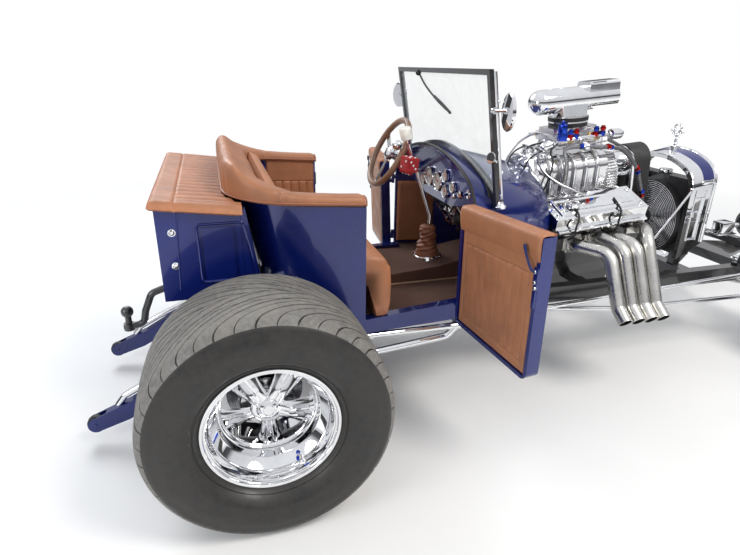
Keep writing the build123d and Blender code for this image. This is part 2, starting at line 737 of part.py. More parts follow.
def rear_axle():
    """Banjo axle: housing tubes, differential, rod and coil brackets and brake calipers."""
    z = REAR_TYRE_R
    tube = rod((0, -AXLE_END_Y, z), (0, AXLE_END_Y, z), TUBE_R)
    bowl = [(-96, 0), (-96, DIFF_R * 0.55), (-52, DIFF_R), (52, DIFF_R), (96, DIFF_R * 0.55), (96, 0)]
    tube += Pos(0, 0, z) * turned_y(bowl)
    nose = [(60, 0), (60, 92), (130, 62), (PINION_X, 44), (PINION_X, 0)]
    tube += turned_x(nose, 0, z)
    bore = AXLE_SHAFT_R + RUNNING
    for side in (RIGHT, LEFT):
        ear = block(20, 92, ROD_Y - ROD_EAR_T / 2, ROD_Y + ROD_EAR_T / 2, z - 96, z + 22)
        coil_foot = block(COIL_X - 18, -20, COIL_Y - 22, COIL_Y + 22, z - 10, z + 6)
        wheelie_foot = block(-62, -20, WHEELIE_Y - WHEELIE_W / 2, WHEELIE_Y + WHEELIE_W / 2, z - 40, z + 24)
        for piece in (ear, coil_foot, wheelie_foot, caliper()):
            tube += on_side(piece, side)
        tube -= rod((0, side * (AXLE_END_Y - AXLE_STUB - 4), z), (0, side * (AXLE_END_Y + 2), z), bore)
    return tube


def caliper():
    """Left rear brake caliper, which straddles the disc, on its plate."""
    z = REAR_TYRE_R
    disc_in = REAR_DISC_Y - DISC_T / 2
    disc_out = REAR_DISC_Y + DISC_T / 2
    face = disc_out + SWING + 26
    top = z + REAR_DISC_R + 22
    plate = block(-30, 70, AXLE_END_Y - 14, AXLE_END_Y - 2, z, z + 92)
    inner = block(-14, 62, AXLE_END_Y - 14, disc_in - SWING, z + 62, top)
    outer = block(-14, 62, disc_out + SWING, face, z + 66, top)
    bridge = block(-14, 62, AXLE_END_Y - 14, face, z + REAR_DISC_R + SWING, top)
    reach = REAR_WELL_R - RIM_T - SWING
    trim = rod((0, AXLE_END_Y - 20, z), (0, disc_out + SWING + 30, z), reach)
    return (plate + inner + outer + bridge) & trim


def rear_rods():
    """Rear radius rods: on each side a lower and an upper tube that meet at one pivot."""
    z = REAR_TYRE_R
    out = ROD_RUN_Y
    meet = (820, out, ROD_PIVOT_Z)
    low = pipe([(76, out, z - 78), (485, out, 305), (777, out, 334), meet], [260, 40], ROD_R)
    high = rod((76, out, z), meet, ROD_R - 1)
    end = rod((800, out, ROD_PIVOT_Z), (ROD_PIVOT_X, out, ROD_PIVOT_Z), ROD_R + 2)
    pivot = rod((ROD_PIVOT_X, ROD_Y - 24, ROD_PIVOT_Z), (ROD_PIVOT_X, out + 16, ROD_PIVOT_Z), 20)
    group = low + high + end + pivot
    for eye_z in (z - 78, z):
        group += rod((ROD_EYE_X, ROD_Y + ROD_EAR_T / 2, eye_z), (ROD_EYE_X, out + 14, eye_z), ROD_EYE_R)
    return both(group)


def coilovers():
    """Rear coil springs over dampers, one each side."""
    foot_z = REAR_TYRE_R + 6
    top_z = KICK_TOP - 26
    x = COIL_X
    damper = rod((x, COIL_Y, foot_z), (x, COIL_Y, top_z), 13)
    seat_low = foot_z + 38
    seat_top = top_z - 24
    damper += rod((x, COIL_Y, seat_low - 6), (x, COIL_Y, seat_low), 32)
    damper += rod((x, COIL_Y, seat_top), (x, COIL_Y, seat_top + 6), 32)
    coils = 6
    pitch = (seat_top - seat_low) / coils
    for turn in range(coils):
        z = seat_low + pitch * turn
        ring = rod((x, COIL_Y, z + pitch * 0.2), (x, COIL_Y, z + pitch * 0.75), 30)
        damper += ring
    return both(damper)


def wheelie_bars():
    """Tapered box bars behind the axle, slotted for their end wheels, with a brace tube above."""
    low = [
        (WHEELIE_BOLT_X, WHEELIE_BOLT_Z - WHEELIE_END_R),
        (-497, 90),
        (-62, REAR_TYRE_R - 72),
        (-62, REAR_TYRE_R + 24),
        (-478, 171),
        (WHEELIE_BOLT_X - 12, WHEELIE_BOLT_Z + WHEELIE_END_R - 4),
    ]
    y0 = WHEELIE_Y - WHEELIE_W / 2
    y1 = WHEELIE_Y + WHEELIE_W / 2
    bar = side_plate(low, y0, y1)
    bar += rod((WHEELIE_BOLT_X, y0, WHEELIE_BOLT_Z), (WHEELIE_BOLT_X, y1, WHEELIE_BOLT_Z), WHEELIE_END_R)
    slot_end = WHEELIE_BOLT_X + WHEELIE_WHEEL_R + SWING
    bar -= block(WHEELIE_BOLT_X - 60, slot_end, y0 + WHEELIE_PLATE_T, y1 - WHEELIE_PLATE_T, 0, 200)
    bolt = ((WHEELIE_BOLT_X, y0 - 3, WHEELIE_BOLT_Z), (WHEELIE_BOLT_X, y1 + 3, WHEELIE_BOLT_Z))
    bar += rod(*bolt, WHEELIE_BOLT_R)
    route = ((-532, 153), (-505, 188), (-420, 232), (-62, REAR_TYRE_R + 12))
    brace = pipe([(x, WHEELIE_Y, z) for x, z in route], [20, 120], 13)
    return both(bar), both((brace - bar).solids().sort_by(SortBy.VOLUME)[-1])


def wheelie_wheel():
    """Small wheel in the slot of the left bar."""
    half = WHEELIE_W / 2 - WHEELIE_PLATE_T - 2
    edge = half - 3
    bore = WHEELIE_BOLT_R + RUNNING
    outline = [
        (-half, bore),
        (-half, WHEELIE_WHEEL_R - 3),
        (-edge, WHEELIE_WHEEL_R),
        (edge, WHEELIE_WHEEL_R),
        (half, WHEELIE_WHEEL_R - 3),
        (half, bore),
    ]
    return Pos(WHEELIE_BOLT_X, WHEELIE_Y, WHEELIE_BOLT_Z) * turned_y(outline)


def hitch_bar():
    """Gooseneck bar below the box with its ball."""
    route = ((-250, 575), (-330, 500), (-395, 478), (-428, 400), (-440, 345), (HITCH_BALL_X - 20, 333))
    bar = pipe([(x, 0, z) for x, z in route], [60, 40, 60, 30], HITCH_R)
    bar += block(-288, -240, -30, 30, 560, KICK_TOP - CROSS_H)
    plate_top = HITCH_PLATE_Z + 30
    bar += rod((HITCH_BALL_X, 0, HITCH_PLATE_Z), (HITCH_BALL_X, 0, plate_top), 22)
    bar += rod((HITCH_BALL_X, 0, plate_top - 2), (HITCH_BALL_X, 0, HITCH_BALL_Z), 13)
    return bar + Pos(HITCH_BALL_X, 0, HITCH_BALL_Z) * Sphere(HITCH_BALL_R)


def driveshaft():
    """Shaft from the gearbox tail to the differential's pinion."""
    tail = (640, 0, 404)
    shaft = rod((PINION_X + 44, 0, REAR_TYRE_R + 2), (596, 0, 401), 38)
    for end in ((PINION_X, 0, REAR_TYRE_R), tail):
        shaft += rod(end, (400, 0, 393), 24)
    shaft -= block(100, PINION_X + SEAT, -60, 60, 300, 500)
    return shaft


def head_z(y):
    """Height of a head's sloping upper face, in the level engine."""
    return DECK_Z - (y - DECK_HALF) * HEAD_SLOPE


def engine_block():
    """Vee engine as one plain block: crankcase, pan, both banks and the crank pulley."""
    half = [
        (0, 318),
        (95, 318),
        (110, 400),
        (150, 470),
        (170, 520),
        (HEAD_FACE_Y, 626),
        (HEAD_FACE_Y, head_z(HEAD_FACE_Y)),
        (DECK_HALF, DECK_Z),
        (0, DECK_Z),
    ]
    outline = half + [(-y, z) for y, z in reversed(half[1:-1])]
    vee = front_plate(outline, BLOCK_X0, BLOCK_X1)
    cover = rod((BLOCK_X1, 0, CRANK_Z), (BLOCK_X1 + 60, 0, CRANK_Z), 70)
    snout = rod((BLOCK_X1, 0, CRANK_Z), (BELT_X - BELT_W / 2, 0, CRANK_Z), 28)
    pulley_half = BELT_W / 2 + 4
    pulley = rod((BELT_X - pulley_half, 0, CRANK_Z), (BELT_X + pulley_half, 0, CRANK_Z), PULLEY_R)
    engine = engine_set(vee + cover + snout + pulley)
    for side in (RIGHT, LEFT):
        engine += on_side(block(1525, 1575, 96, 205, RAIL_TOP - 26, RAIL_TOP - 4), side)
    return engine


def gearbox():
    """Bell housing and gearbox, which pass back under the tunnel."""
    outline = [
        (BLOCK_X0 - SEAT, 0),
        (BLOCK_X0 - SEAT, 160),
        (BLOCK_X0 - 32, 124),
        (BLOCK_X0 - 40, 94),
        (1010, 90),
        (985, 72),
        (770, 66),
        (755, 48),
        (645, 42),
        (645, 0),
    ]
    case = engine_set(turned_x(outline, 0, CRANK_Z))
    floor_z = RAIL_BOTTOM - 34
    foot_top = engine_z(1030, CRANK_Z) - 60
    return case + block(1005, 1055, -60, 60, floor_z, foot_top)


def valve_covers():
    """Flat-topped cover with its breather on each bank, on its polished rail."""
    lower = [(322, head_z(322)), (334, 790), (186, 850), (160, head_z(160))]
    cover = front_plate(lower, BLOCK_X0 - 16, BLOCK_X1 - 10)
    lip = [(312, head_z(312)), (344, 730), (345, 735), (318, 752)]
    rail_strip = front_plate(lip, BLOCK_X0 - 10, BLOCK_X1 - 16)
    breather = rod((BLOCK_X0 + 100, 262, 800), (BLOCK_X0 + 100, 272, 842), 30)
    oval = cover + rail_strip + breather
    return engine_set(both(oval))


def blower():
    """Lobed blower case with ribs, its plates, the manifold below it and the drive snout."""
    crown = BLOWER_HIGH - BLOWER_HALF * 0.55
    lobe = BLOWER_HALF * 0.8
    flat = BLOWER_HALF * 0.4
    section = [
        Line((0, -BLOWER_HALF, crown), (0, -BLOWER_HALF + 12, BLOWER_LOW)),
        Line((0, -BLOWER_HALF + 12, BLOWER_LOW), (0, BLOWER_HALF - 12, BLOWER_LOW)),
        Line((0, BLOWER_HALF - 12, BLOWER_LOW), (0, BLOWER_HALF, crown)),
        ThreePointArc((0, BLOWER_HALF, crown), (0, lobe, BLOWER_HIGH - 18), (0, flat, BLOWER_HIGH)),
        Line((0, flat, BLOWER_HIGH), (0, -flat, BLOWER_HIGH)),
        ThreePointArc((0, -flat, BLOWER_HIGH), (0, -lobe, BLOWER_HIGH - 18), (0, -BLOWER_HALF, crown)),
    ]
    face = make_face(Wire(section))
    case = Pos(BLOWER_X0, 0, 0) * extrude(face, amount=BLOWER_X1 - BLOWER_X0, dir=(1, 0, 0))
    rib_t = 10
    ribs = 5
    pitch = (BLOWER_X1 - BLOWER_X0 - 120) / (ribs - 1)
    wide = scale(face, by=(1, 1.06, 1))
    for index in range(ribs):
        rib = extrude(wide, amount=rib_t, dir=(1, 0, 0))
        case += Pos(BLOWER_X0 + 60 + pitch * index - rib_t / 2, 0, 0) * rib
    right = [(118, BLOWER_LOW), (128, BLOWER_LOW + 90), (70, BLOWER_HIGH + 6)]
    plate = right + [(-y, z) for y, z in reversed(right)]
    case += front_plate(plate, BLOWER_X0 - 24, BLOWER_X0)
    case += front_plate(plate, BLOWER_X1, BLOWER_X1 + 58)
    case += block(BLOWER_X0 + 10, BLOWER_X1 - 10, -112, 112, DECK_Z, BLOWER_LOW)
    case += rod((BLOWER_X1 + 58, 0, BLOWER_PULLEY_Z), (BELT_X - BELT_W / 2, 0, BLOWER_PULLEY_Z), 48)
    pulley_half = BELT_W / 2 + 4
    pulley_ends = (BELT_X - pulley_half, 0, BLOWER_PULLEY_Z), (BELT_X + pulley_half, 0, BLOWER_PULLEY_Z)
    case += rod(*pulley_ends, PULLEY_R)
    case += block(BLOWER_X0 + 95, BLOWER_X1 - 30, -80, 80, BLOWER_HIGH, BLOWER_HIGH + 26)
    return engine_set(case)


def drive_belt():
    """Toothed belt from the crank pulley up to the blower's."""
    inner = PULLEY_R + SEAT
    x0 = BELT_X - BELT_W / 2
    x1 = BELT_X + BELT_W / 2

    def loop(radius):
        low = (Pos(CRANK_Z, 0) * Circle(radius)).edges()
        high = (Pos(BLOWER_PULLEY_Z, 0) * Circle(radius)).edges()
        upright = Plane(origin=(x0, 0, 0), x_dir=(0, 0, 1), z_dir=(1, 0, 0))
        return upright * extrude(make_hull(low + high), amount=x1 - x0)

    return engine_set(loop(inner + BELT_T) - loop(inner))


def carburettors():
    """Two carburettors in line on the blower, with float bowls, bases and air horn."""
    base = BLOWER_HIGH + 26
    pair = None
    for x in (BLOWER_X0 + 155, BLOWER_X0 + 290):
        body = block(x - 42, x + 42, -72, 72, base, base + 22)
        body += rod((x, -36, base + 20), (x, -36, base + 88), 32)
        body += rod((x, 36, base + 20), (x, 36, base + 88), 32)
        body += block(x - 34, x + 34, -102, 102, base + 28, base + 68)
        body += block(x - 46, x + 46, -60, 60, base + 66, base + 92)
        pair = body if pair is None else pair + body
    pair += block(BLOWER_X0 + 155, BLOWER_X0 + 290, -50, 50, base + 78, base + 92)
    neck_x = BLOWER_X0 + 222
    neck_top = SCOOP_Z - SCOOP_R - 14
    pair += rod((neck_x, 0, base + 88), (neck_x, 0, neck_top), 80)
    pair += rod((neck_x, 0, neck_top - 14), (neck_x, 0, neck_top), 88)
    return engine_set(pair)


def scoop():
    """Air scoop: a round-tailed barrel with a raised hood, hollow to its forward mouth."""
    def capsule(radius, front):
        tail = SCOOP_REAR + SCOOP_R
        run = rod((tail, 0, SCOOP_Z), (front, 0, SCOOP_Z), radius)
        return run + Pos(tail, 0, SCOOP_Z) * Sphere(radius)

    wall = 3
    hood = block(1640, SCOOP_FRONT, -48, 48, SCOOP_Z, SCOOP_Z + SCOOP_R + 18)
    hood = fillet(hood.edges().filter_by(Axis.X).sort_by(Axis.Z)[-2:], 16)
    shell = capsule(SCOOP_R, SCOOP_FRONT) + hood
    neck_x = BLOWER_X0 + 222
    neck = rod((neck_x, 0, SCOOP_Z - SCOOP_R - 14 + SEAT), (neck_x, 0, SCOOP_Z - 20), 82)
    neck &= block(neck_x - 90, neck_x + 90, -54, 54, 1000, SCOOP_Z)
    hollow = capsule(SCOOP_R - wall, SCOOP_FRONT + 1)
    hollow += block(1655, SCOOP_FRONT + 1, -48 + wall, 48 - wall, SCOOP_Z, SCOOP_Z + SCOOP_R + 18 - wall)
    lip = block(SCOOP_FRONT - 120, SCOOP_FRONT + 1, -80, 80, SCOOP_Z - 80, SCOOP_Z - 34)
    return engine_set(shell + neck - hollow - lip)


def headers():
    """Four pipes on each side, from the flange plates out, down and turned out at the tips."""
    # x and z at the flange, x, y and z at the knee, x at the tip
    runs = (
        (1430, 650, 1500, 458, 646, 1503),
        (1540, 678, 1563, 458, 668, 1570),
        (1606, 680, 1626, 458, 677, 1635),
        (1766, 706, 1690, 440, 714, 1698),
    )
    tips_z = 392
    face = HEAD_FACE_Y + FLANGE_PLATE_T
    bore = PIPE_R - PIPE_WALL
    pipes = []
    for x0, z0, x1, y1, z1, x2 in runs:
        route = [
            (x0, face, z0),
            (x0, face + 52, z0),
            (x1, y1, z1),
            (x2, 560, tips_z + 44),
            (x2, 618, tips_z),
        ]
        tube = pipe(route, [40, 70, 40], PIPE_R, bore)
        flange = block(x0 - 44, x0 + 44, HEAD_FACE_Y, face, z0 - 36, z0 + 36)
        port = rod((x0, HEAD_FACE_Y - 1, z0), (x0, face + 1, z0), bore)
        pipes.append(both(tube + flange - port))
    return Compound([solid for pair in pipes for solid in pair.solids()])


def arch(x, half, bottom, shoulder, crown, inset=0.0):
    """Closed section across the car: flat bottom, upright sides and a round-shouldered top."""
    w = half - inset
    top = crown - inset
    side_top = shoulder - inset / 2
    knee_y = w * 0.76
    knee_z = side_top + (top - side_top) * 0.66
    turn_y = w * 0.94
    turn_z = side_top + (top - side_top) * 0.34
    return Wire([
        Line((x, -w, side_top), (x, -w, bottom)),
        Line((x, -w, bottom), (x, w, bottom)),
        Line((x, w, bottom), (x, w, side_top)),
        ThreePointArc((x, w, side_top), (x, turn_y, turn_z), (x, knee_y, knee_z)),
        ThreePointArc((x, knee_y, knee_z), (x, 0, top), (x, -knee_y, knee_z)),
        ThreePointArc((x, -knee_y, knee_z), (x, -turn_y, turn_z), (x, -w, side_top)),
    ])


def shell_form(inset):
    """Radiator shell's outline, rear to front, drawn in by inset."""
    low = SHELL_LOW_REAR - 60
    over = 1.0 if inset > 0 else 0.0
    rear = arch(SHELL_X0 - over, SHELL_HALF, low - over, 850, 985, inset)
    front = arch(SHELL_X1 + over, SHELL_HALF, low - over, 872, 1008, inset)
    return Solid.make_loft([rear, front], ruled=True)


def radiator_shell():
    """Open surround of the radiator, with side recesses, a front bead and the cap ornament."""
    shell = shell_form(0) - shell_form(SHELL_WALL)
    slope = [
        (SHELL_X0 - 1, 300),
        (SHELL_X1 + 1, 300),
        (SHELL_X1 + 1, SHELL_LOW_FRONT),
        (SHELL_X0 - 1, SHELL_LOW_REAR),
    ]
    shell -= side_plate(slope, -SHELL_HALF - 10, SHELL_HALF + 10)
    recess = block(SHELL_X0 + 34, SHELL_X1 - 52, SHELL_HALF - 7, SHELL_HALF + 5, 590, 800)
    shell -= recess
    shell -= mirrored(recess)
    bead = rod((SHELL_X1 - 9, SHELL_HALF, SHELL_LOW_FRONT + 6), (SHELL_X1 - 9, SHELL_HALF, 866), 9)
    shell = shell + bead + mirrored(bead)
    base_x = (SHELL_X0 + SHELL_X1) / 2 + 8
    crown = 1000
    shell += rod((base_x, 0, crown - 10), (base_x, 0, crown + 14), 22)
    shell += rod((base_x, 0, crown), (base_x, 0, crown + 84), 7)
    ring = Plane(origin=(base_x, 0, crown + 106), z_dir=(1, 0, 0)) * Torus(20, 5)
    wing = [(-44, crown + 90), (0, crown + 70), (44, crown + 90), (0, crown + 80)]
    wings = front_plate(wing, base_x - 3, base_x + 3)
    return shell + ring + wings + shell_strut() + mirrored(shell_strut())


def radiator():
    """Core with tanks and filler cap, standing on the frame's two posts."""
    half = SHELL_HALF - SHELL_WALL - SEAT
    x0 = SHELL_X0 + 24
    x1 = SHELL_X1 - 44
    low = SHELL_LOW_REAR + 12
    core = block(x0, x1, -half, half, low, 846)
    core += block(x0, x1 + 8, -half + 24, half - 24, 846, 882)
    core += rod((x0 + 34, 0, 880), (x0 + 34, 0, 902), 30)
    bars = 11
    pitch = (2 * half - 40) / (bars - 1)
    for index in range(bars):
        y = -half + 20 + pitch * index
        core += block(x1, x1 + 14, y - 3, y + 3, low + 80, 846)
    core += block(x1, x1 + 14, -half + 10, half - 10, 832, 846)
    core += block(x1, x1 + 14, -half + 10, half - 10, low + 70, low + 84)
    return core


def fan():
    """Electric fan with its shroud ring, wire guard and motor, on the radiator's rear face."""
    x1 = SHELL_X0 + 24 - SEAT
    x0 = x1 - 42
    ring = turned_x([(x0, FAN_R - 7), (x0, FAN_R), (x1, FAN_R), (x1, FAN_R - 7)], FAN_Y, FAN_Z)
    rings = 6
    for index in range(rings):
        r = FAN_R * (0.28 + 0.72 * index / rings)
        ring += turned_x([(x0 - 3, r - 2), (x0 - 3, r + 2), (x0 + 1, r + 2), (x0 + 1, r - 2)], FAN_Y, FAN_Z)
    spokes = 8
    for index in range(spokes):
        bar = block(x0 - 2, x0 + 2, -2.5, 2.5, 30, FAN_R - 2)
        ring += Pos(0, FAN_Y, FAN_Z) * Rot(360 / spokes * index, 0, 0) * bar
    ring += rod((x0 - 4, FAN_Y, FAN_Z), (x1 - 12, FAN_Y, FAN_Z), 46)
    blades = 9
    for index in range(blades):
        blade = Pos(x0 + 18, 0, 108) * Rot(0, 0, 28) * Box(4, 46, 136)
        ring += Pos(0, FAN_Y, FAN_Z) * Rot(360 / blades * index, 0, 0) * blade
    for turn in (RIGHT, LEFT):
        y = FAN_Y + turn * (FAN_R - 12)
        ring += block(x1 - 6, x1, y - 8, y + 8, FAN_Z - 14, FAN_Z + 14)
    return ring


def shell_strut():
    """Left stay rod from the shell's upper rear edge down to the frame rail."""
    x = SHELL_X0 - 3
    strut = rod((x, SHELL_HALF + 7, 842), (STRUT_FOOT_X, RAIL_IN + 7, RAIL_TOP + 12), STRUT_R)
    strut += rod((x, SHELL_HALF - 2, 842), (x, SHELL_HALF + 15, 842), STRUT_R + 3)
    strut += block(x - 9, x + 17, SHELL_HALF - 2, SHELL_HALF + 4, 833, 851)
    return strut + block(STRUT_FOOT_X - 24, STRUT_FOOT_X + 16, RAIL_IN, RAIL_IN + 15, RAIL_TOP, RAIL_TOP + 20)


def headlamps():
    """Round lamp on each side on a bent stalk that is bolted to the rail."""
    bucket = turned_x(
        [
            (LAMP_X - 95, 0),
            (LAMP_X - 88, 34),
            (LAMP_X - 56, 66),
            (LAMP_X - 4, LAMP_R - 4),
            (LAMP_X + 36, LAMP_R - 2),
            (LAMP_X + 38, LAMP_R + 3),
            (LAMP_X + 54, LAMP_R + 3),
            (LAMP_X + 58, LAMP_R - 8),
            (LAMP_X + 68, 44),
            (LAMP_X + 72, 0),
        ],
        LAMP_Y,
        LAMP_Z,
    )
    foot_y = RAIL_IN + 25
    route = [
        (2495, foot_y, RAIL_TOP + 8),
        (2495, foot_y + 8, RAIL_TOP + 70),
        (LAMP_X + 10, LAMP_Y - 20, LAMP_Z - LAMP_R - 40),
        (LAMP_X, LAMP_Y, LAMP_Z - LAMP_R + 20),
    ]
    lamp = bucket + pipe(route, [26, 30], 11)
    lamp += block(2465, 2525, foot_y - 18, foot_y + 18, RAIL_TOP, RAIL_TOP + 12)
    return both(lamp)


def column_point(run):
    """Point on the steering column's axis, run along it from the wheel's centre."""
    tilt = radians(COLUMN_TILT)
    return STEER_WHEEL_X + run * cos(tilt), STEER_WHEEL_Y, STEER_WHEEL_Z - run * sin(tilt)


def steering_column():
    """Column, jointed lower shaft and the steering box on the left rail."""
    start = column_point(COLUMN_GAP)
    end = column_point(COLUMN_END)
    joints = (end, (1300, 268, 566), (1345, SHAFT_Y, 522), (BOX_X0 - 12, SHAFT_Y, SHAFT_IN_Z))
    column = rod(start, end, COLUMN_R)
    for a, b in zip(joints, joints[1:]):
        column += rod(a, b, SHAFT_R)
    for joint in joints[:3]:
        column += Pos(*joint) * Sphere(SHAFT_R + 8)
    column += rod((BOX_X0 - 40, SHAFT_Y, SHAFT_IN_Z + 1), (BOX_X0 + 4, SHAFT_Y, SHAFT_IN_Z), 17)
    gear = block(BOX_X0, BOX_X1, BOX_Y0, RAIL_OUT - 2, RAIL_TOP, BOX_TOP)
    gear += block(BOX_X0, BOX_X1, BOX_Y0, RAIL_IN, BOX_BOTTOM, RAIL_TOP)
    gear = fillet(gear.edges().filter_by(Axis.X).sort_by(Axis.Z)[-2:], 12)
    well_low = (PITMAN_X, PITMAN_Y, BOX_BOTTOM - 1)
    well_top = (PITMAN_X, PITMAN_Y, BOX_BOTTOM + 31)
    return column + gear - rod(well_low, well_top, SECTOR_R + RUNNING)


def steering_wheel():
    """Rim with three spokes, hub and spinner knob, square to the column."""
    toward_driver = Vector(*column_point(-1)) - Vector(*column_point(0))
    face = Plane(origin=column_point(0), x_dir=(0, 1, 0), z_dir=toward_driver)
    wheel = Torus(STEER_WHEEL_R, STEER_RIM_R)
    spokes = 3
    for index in range(spokes):
        bar = Pos(STEER_WHEEL_R / 2, 0, -8) * Box(STEER_WHEEL_R, 26, 5)
        wheel += Rot(0, 0, 360 / spokes * index + 90) * bar
    wheel += Pos(0, 0, -6) * Cylinder(36, 22)
    wheel += Pos(0, 0, -19) * Cylinder(COLUMN_R, 2 * (COLUMN_GAP - 19 - SEAT))
    knob = Rot(0, 0, -165) * Pos(STEER_WHEEL_R, 0, STEER_RIM_R + 24)
    wheel += knob * Sphere(23)
    wheel += knob * Pos(0, 0, -19) * Box(14, 14, 18)
    return face * wheel


def tub_section(z, inset=0.0):
    """Tub's outline seen from above at a height, with rounded rear corners, drawn in by inset."""
    share = (z - TUB_LOW_Z) / (TUB_HIGH_Z - TUB_LOW_Z)
    rear = TUB_REAR_LOW_X + (TUB_REAR_HIGH_X - TUB_REAR_LOW_X) * share + inset
    front = JAMB_X + (1 if inset > 0 else 0)
    at_jamb = JAMB_HALF - inset
    at_rear = TUB_REAR_HALF - inset
    outline = Polyline([(front, -at_jamb), (front, at_jamb), (rear, at_rear), (rear, -at_rear)], close=True)
    face = make_face(outline)
    corners = face.vertices().sort_by(Axis.X)[:2]
    return Pos(0, 0, z) * fillet(corners, TUB_CORNER_R - inset)


def tub_form(inset=0.0):
    """Solid that fills the tub's outline from below the sill to above the belt line."""
    over = 1 if inset > 0 else 0
    return loft([tub_section(TUB_LOW_Z - over, inset), tub_section(TUB_HIGH_Z + over, inset)], ruled=True)


def belt_z(x):
    """Height of the tub's top edge at a place along the car."""
    share = (JAMB_X - x) / (JAMB_X - TUB_REAR_HIGH_X)
    return TUB_TOP_FRONT + (TUB_TOP_REAR - TUB_TOP_FRONT) * share


def above_belt(x0, x1, gap=0.0, top=1300.0):
    """Everything above the tub's top edge between two places along the car."""
    outline = [(x0, belt_z(x0) + gap), (x1, belt_z(x1) + gap), (x1, top), (x0, top)]
    return side_plate(outline, -700, 700)


def body_tub():
    """Rear bucket of the body: rounded back, quarter panels, jamb posts and the door sills."""
    tub = tub_form() - tub_form(TUB_WALL)
    tub -= above_belt(-200, JAMB_X + 10)
    tub -= block(-200, RISER_X, -700, 700, 300, SHELF_Z)
    sill_low = TUB_LOW_Z
    for side in (RIGHT, LEFT):
        back = JAMB_X - 30
        post = side_plate(
            [(back, 480), (JAMB_X, 480), (JAMB_X, belt_z(JAMB_X)), (back, belt_z(back))],
            JAMB_HALF - TUB_WALL - 6,
            JAMB_HALF - 10,
        )
        root = block(JAMB_X - 62, JAMB_X, SILL_REAR_OUT - SILL_W, JAMB_HALF - 8, sill_low, RAIL_TOP)
        sill = plan_plate(
            [
                (JAMB_X, SILL_REAR_OUT - SILL_W),
                (JAMB_X, SILL_REAR_OUT),
                (COWL_REAR, SILL_FRONT_OUT),
                (COWL_REAR, SILL_FRONT_OUT - SILL_W),
            ],
            sill_low,
            FLOOR_TOP + SILL_FRONT_RISE,
        )
        sill &= side_plate(
            [
                (JAMB_X, sill_low),
                (COWL_REAR, sill_low),
                (COWL_REAR, FLOOR_TOP + SILL_FRONT_RISE),
                (JAMB_X, FLOOR_TOP),
            ],
            0,
            700,
        )
        for piece in (post, root, sill):
            tub += on_side(piece, side)
    return tub


def cowl_form(inset=0.0, over=0.0):
    """Solid that fills the cowl's outline, drawn in by inset."""
    wires = []
    for x, half, bottom, shoulder, crown in COWL_SECTIONS:
        place = x + (over if x == COWL_FRONT else 0) - (over if x == COWL_REAR else 0)
        wires.append(arch(place, half, bottom - over, shoulder, crown, inset))
    return Solid.make_loft(wires, ruled=False)


def tunnel_form(inset, x0=520.0, x1=COWL_FRONT + 1.0):
    """Hump over the gearbox, drawn in by inset."""
    rise = (TUNNEL_FRONT_Z - TUNNEL_TOP_Z) / (COWL_FRONT - SHIFTER_X)
    outline = [
        (x0 + inset, FLOOR_TOP - FLOOR_T - 1),
        (x0 + inset, FLOOR_TOP),
        (x0 + 90 + inset, 508 - inset),
        (SHIFTER_X, TUNNEL_TOP_Z - inset),
        (x1, TUNNEL_TOP_Z + (x1 - SHIFTER_X) * rise - inset),
        (x1, FLOOR_TOP - FLOOR_T - 1),
    ]
    return side_plate(outline, -TUNNEL_HALF + inset, TUNNEL_HALF - inset)


def cowl():
    """Cowl: arched skin with its closed firewall, notched over the gearbox tunnel."""
    wall = COWL_WALL
    inner = cowl_form(wall, 1.0) & block(COWL_REAR - 2, COWL_FRONT - wall, -600, 600, 300, 1200)
    skin = cowl_form() - inner
    skin -= tunnel_form(-SEAT)
    shaft = rod((1180, 257, 686), (1330, 271, 536), SHAFT_R + SWING + 16)
    skin -= shaft & block(COWL_FRONT - 80, COWL_FRONT + 80, 150, 400, 400, 700)
    for z in HINGE_HEIGHTS:
        for side in (RIGHT, LEFT):
            skin += on_side(hinge_leaf(z), side)
    return skin


def hinge_axis(side):
    """Door hinge's axis on one side, its top leaning outward."""
    return Axis((HINGE_X, side * HINGE_Y, HINGE_Z), (0, side * HINGE_LEAN, 1))


def hinge_point(z):
    """Point of the left hinge's axis at a height."""
    return HINGE_X, HINGE_Y + HINGE_LEAN * (z - HINGE_Z), z


def hinge_leaf(z):
    """Left cowl half of a hinge: its barrel with the pin, and an arm back to the cowl's side."""
    low = hinge_point(z)
    high = hinge_point(z + HINGE_LENGTH)
    over = hinge_point(z - HINGE_LENGTH)
    barrel_part = rod(low, high, HINGE_R) + rod(over, high, HINGE_PIN_R)
    arm = block(HINGE_X, COWL_REAR + 30, 462, low[1] + 3, z + 3, z + HINGE_LENGTH - 3)
    return barrel_part + (arm - cowl_form(COWL_WALL / 2))


def door_outline(inset):
    """Door's side view, drawn in from its edges."""
    rear = JAMB_X + DOOR_GAP + inset
    front = COWL_REAR - DOOR_GAP - inset
    return [
        (rear, DOOR_LOW_REAR + inset),
        (front, DOOR_LOW_FRONT + inset),
        (front, DOOR_TOP_FRONT - inset * 0.4),
        (rear, belt_z(JAMB_X) - inset * 0.4),
    ]


def door_slab(inset, depth0, depth1):
    """Slice of the closed left door between two depths from its skin."""
    slab = plan_plate(
        [
            (JAMB_X, DOOR_REAR_OUT - depth1),
            (COWL_REAR, DOOR_FRONT_OUT - depth1),
            (COWL_REAR, DOOR_FRONT_OUT - depth0),
            (JAMB_X, DOOR_REAR_OUT - depth0),
        ],
        DOOR_LOW_REAR - 20,
        TUB_TOP_FRONT + 20,
    )
    return slab & side_plate(door_outline(inset), 300, 700)


def open_door(shape, side):
    """Turns a piece of the closed left door to its open place on one side."""
    return on_side(shape.rotate(hinge_axis(LEFT), -DOOR_OPEN), side)


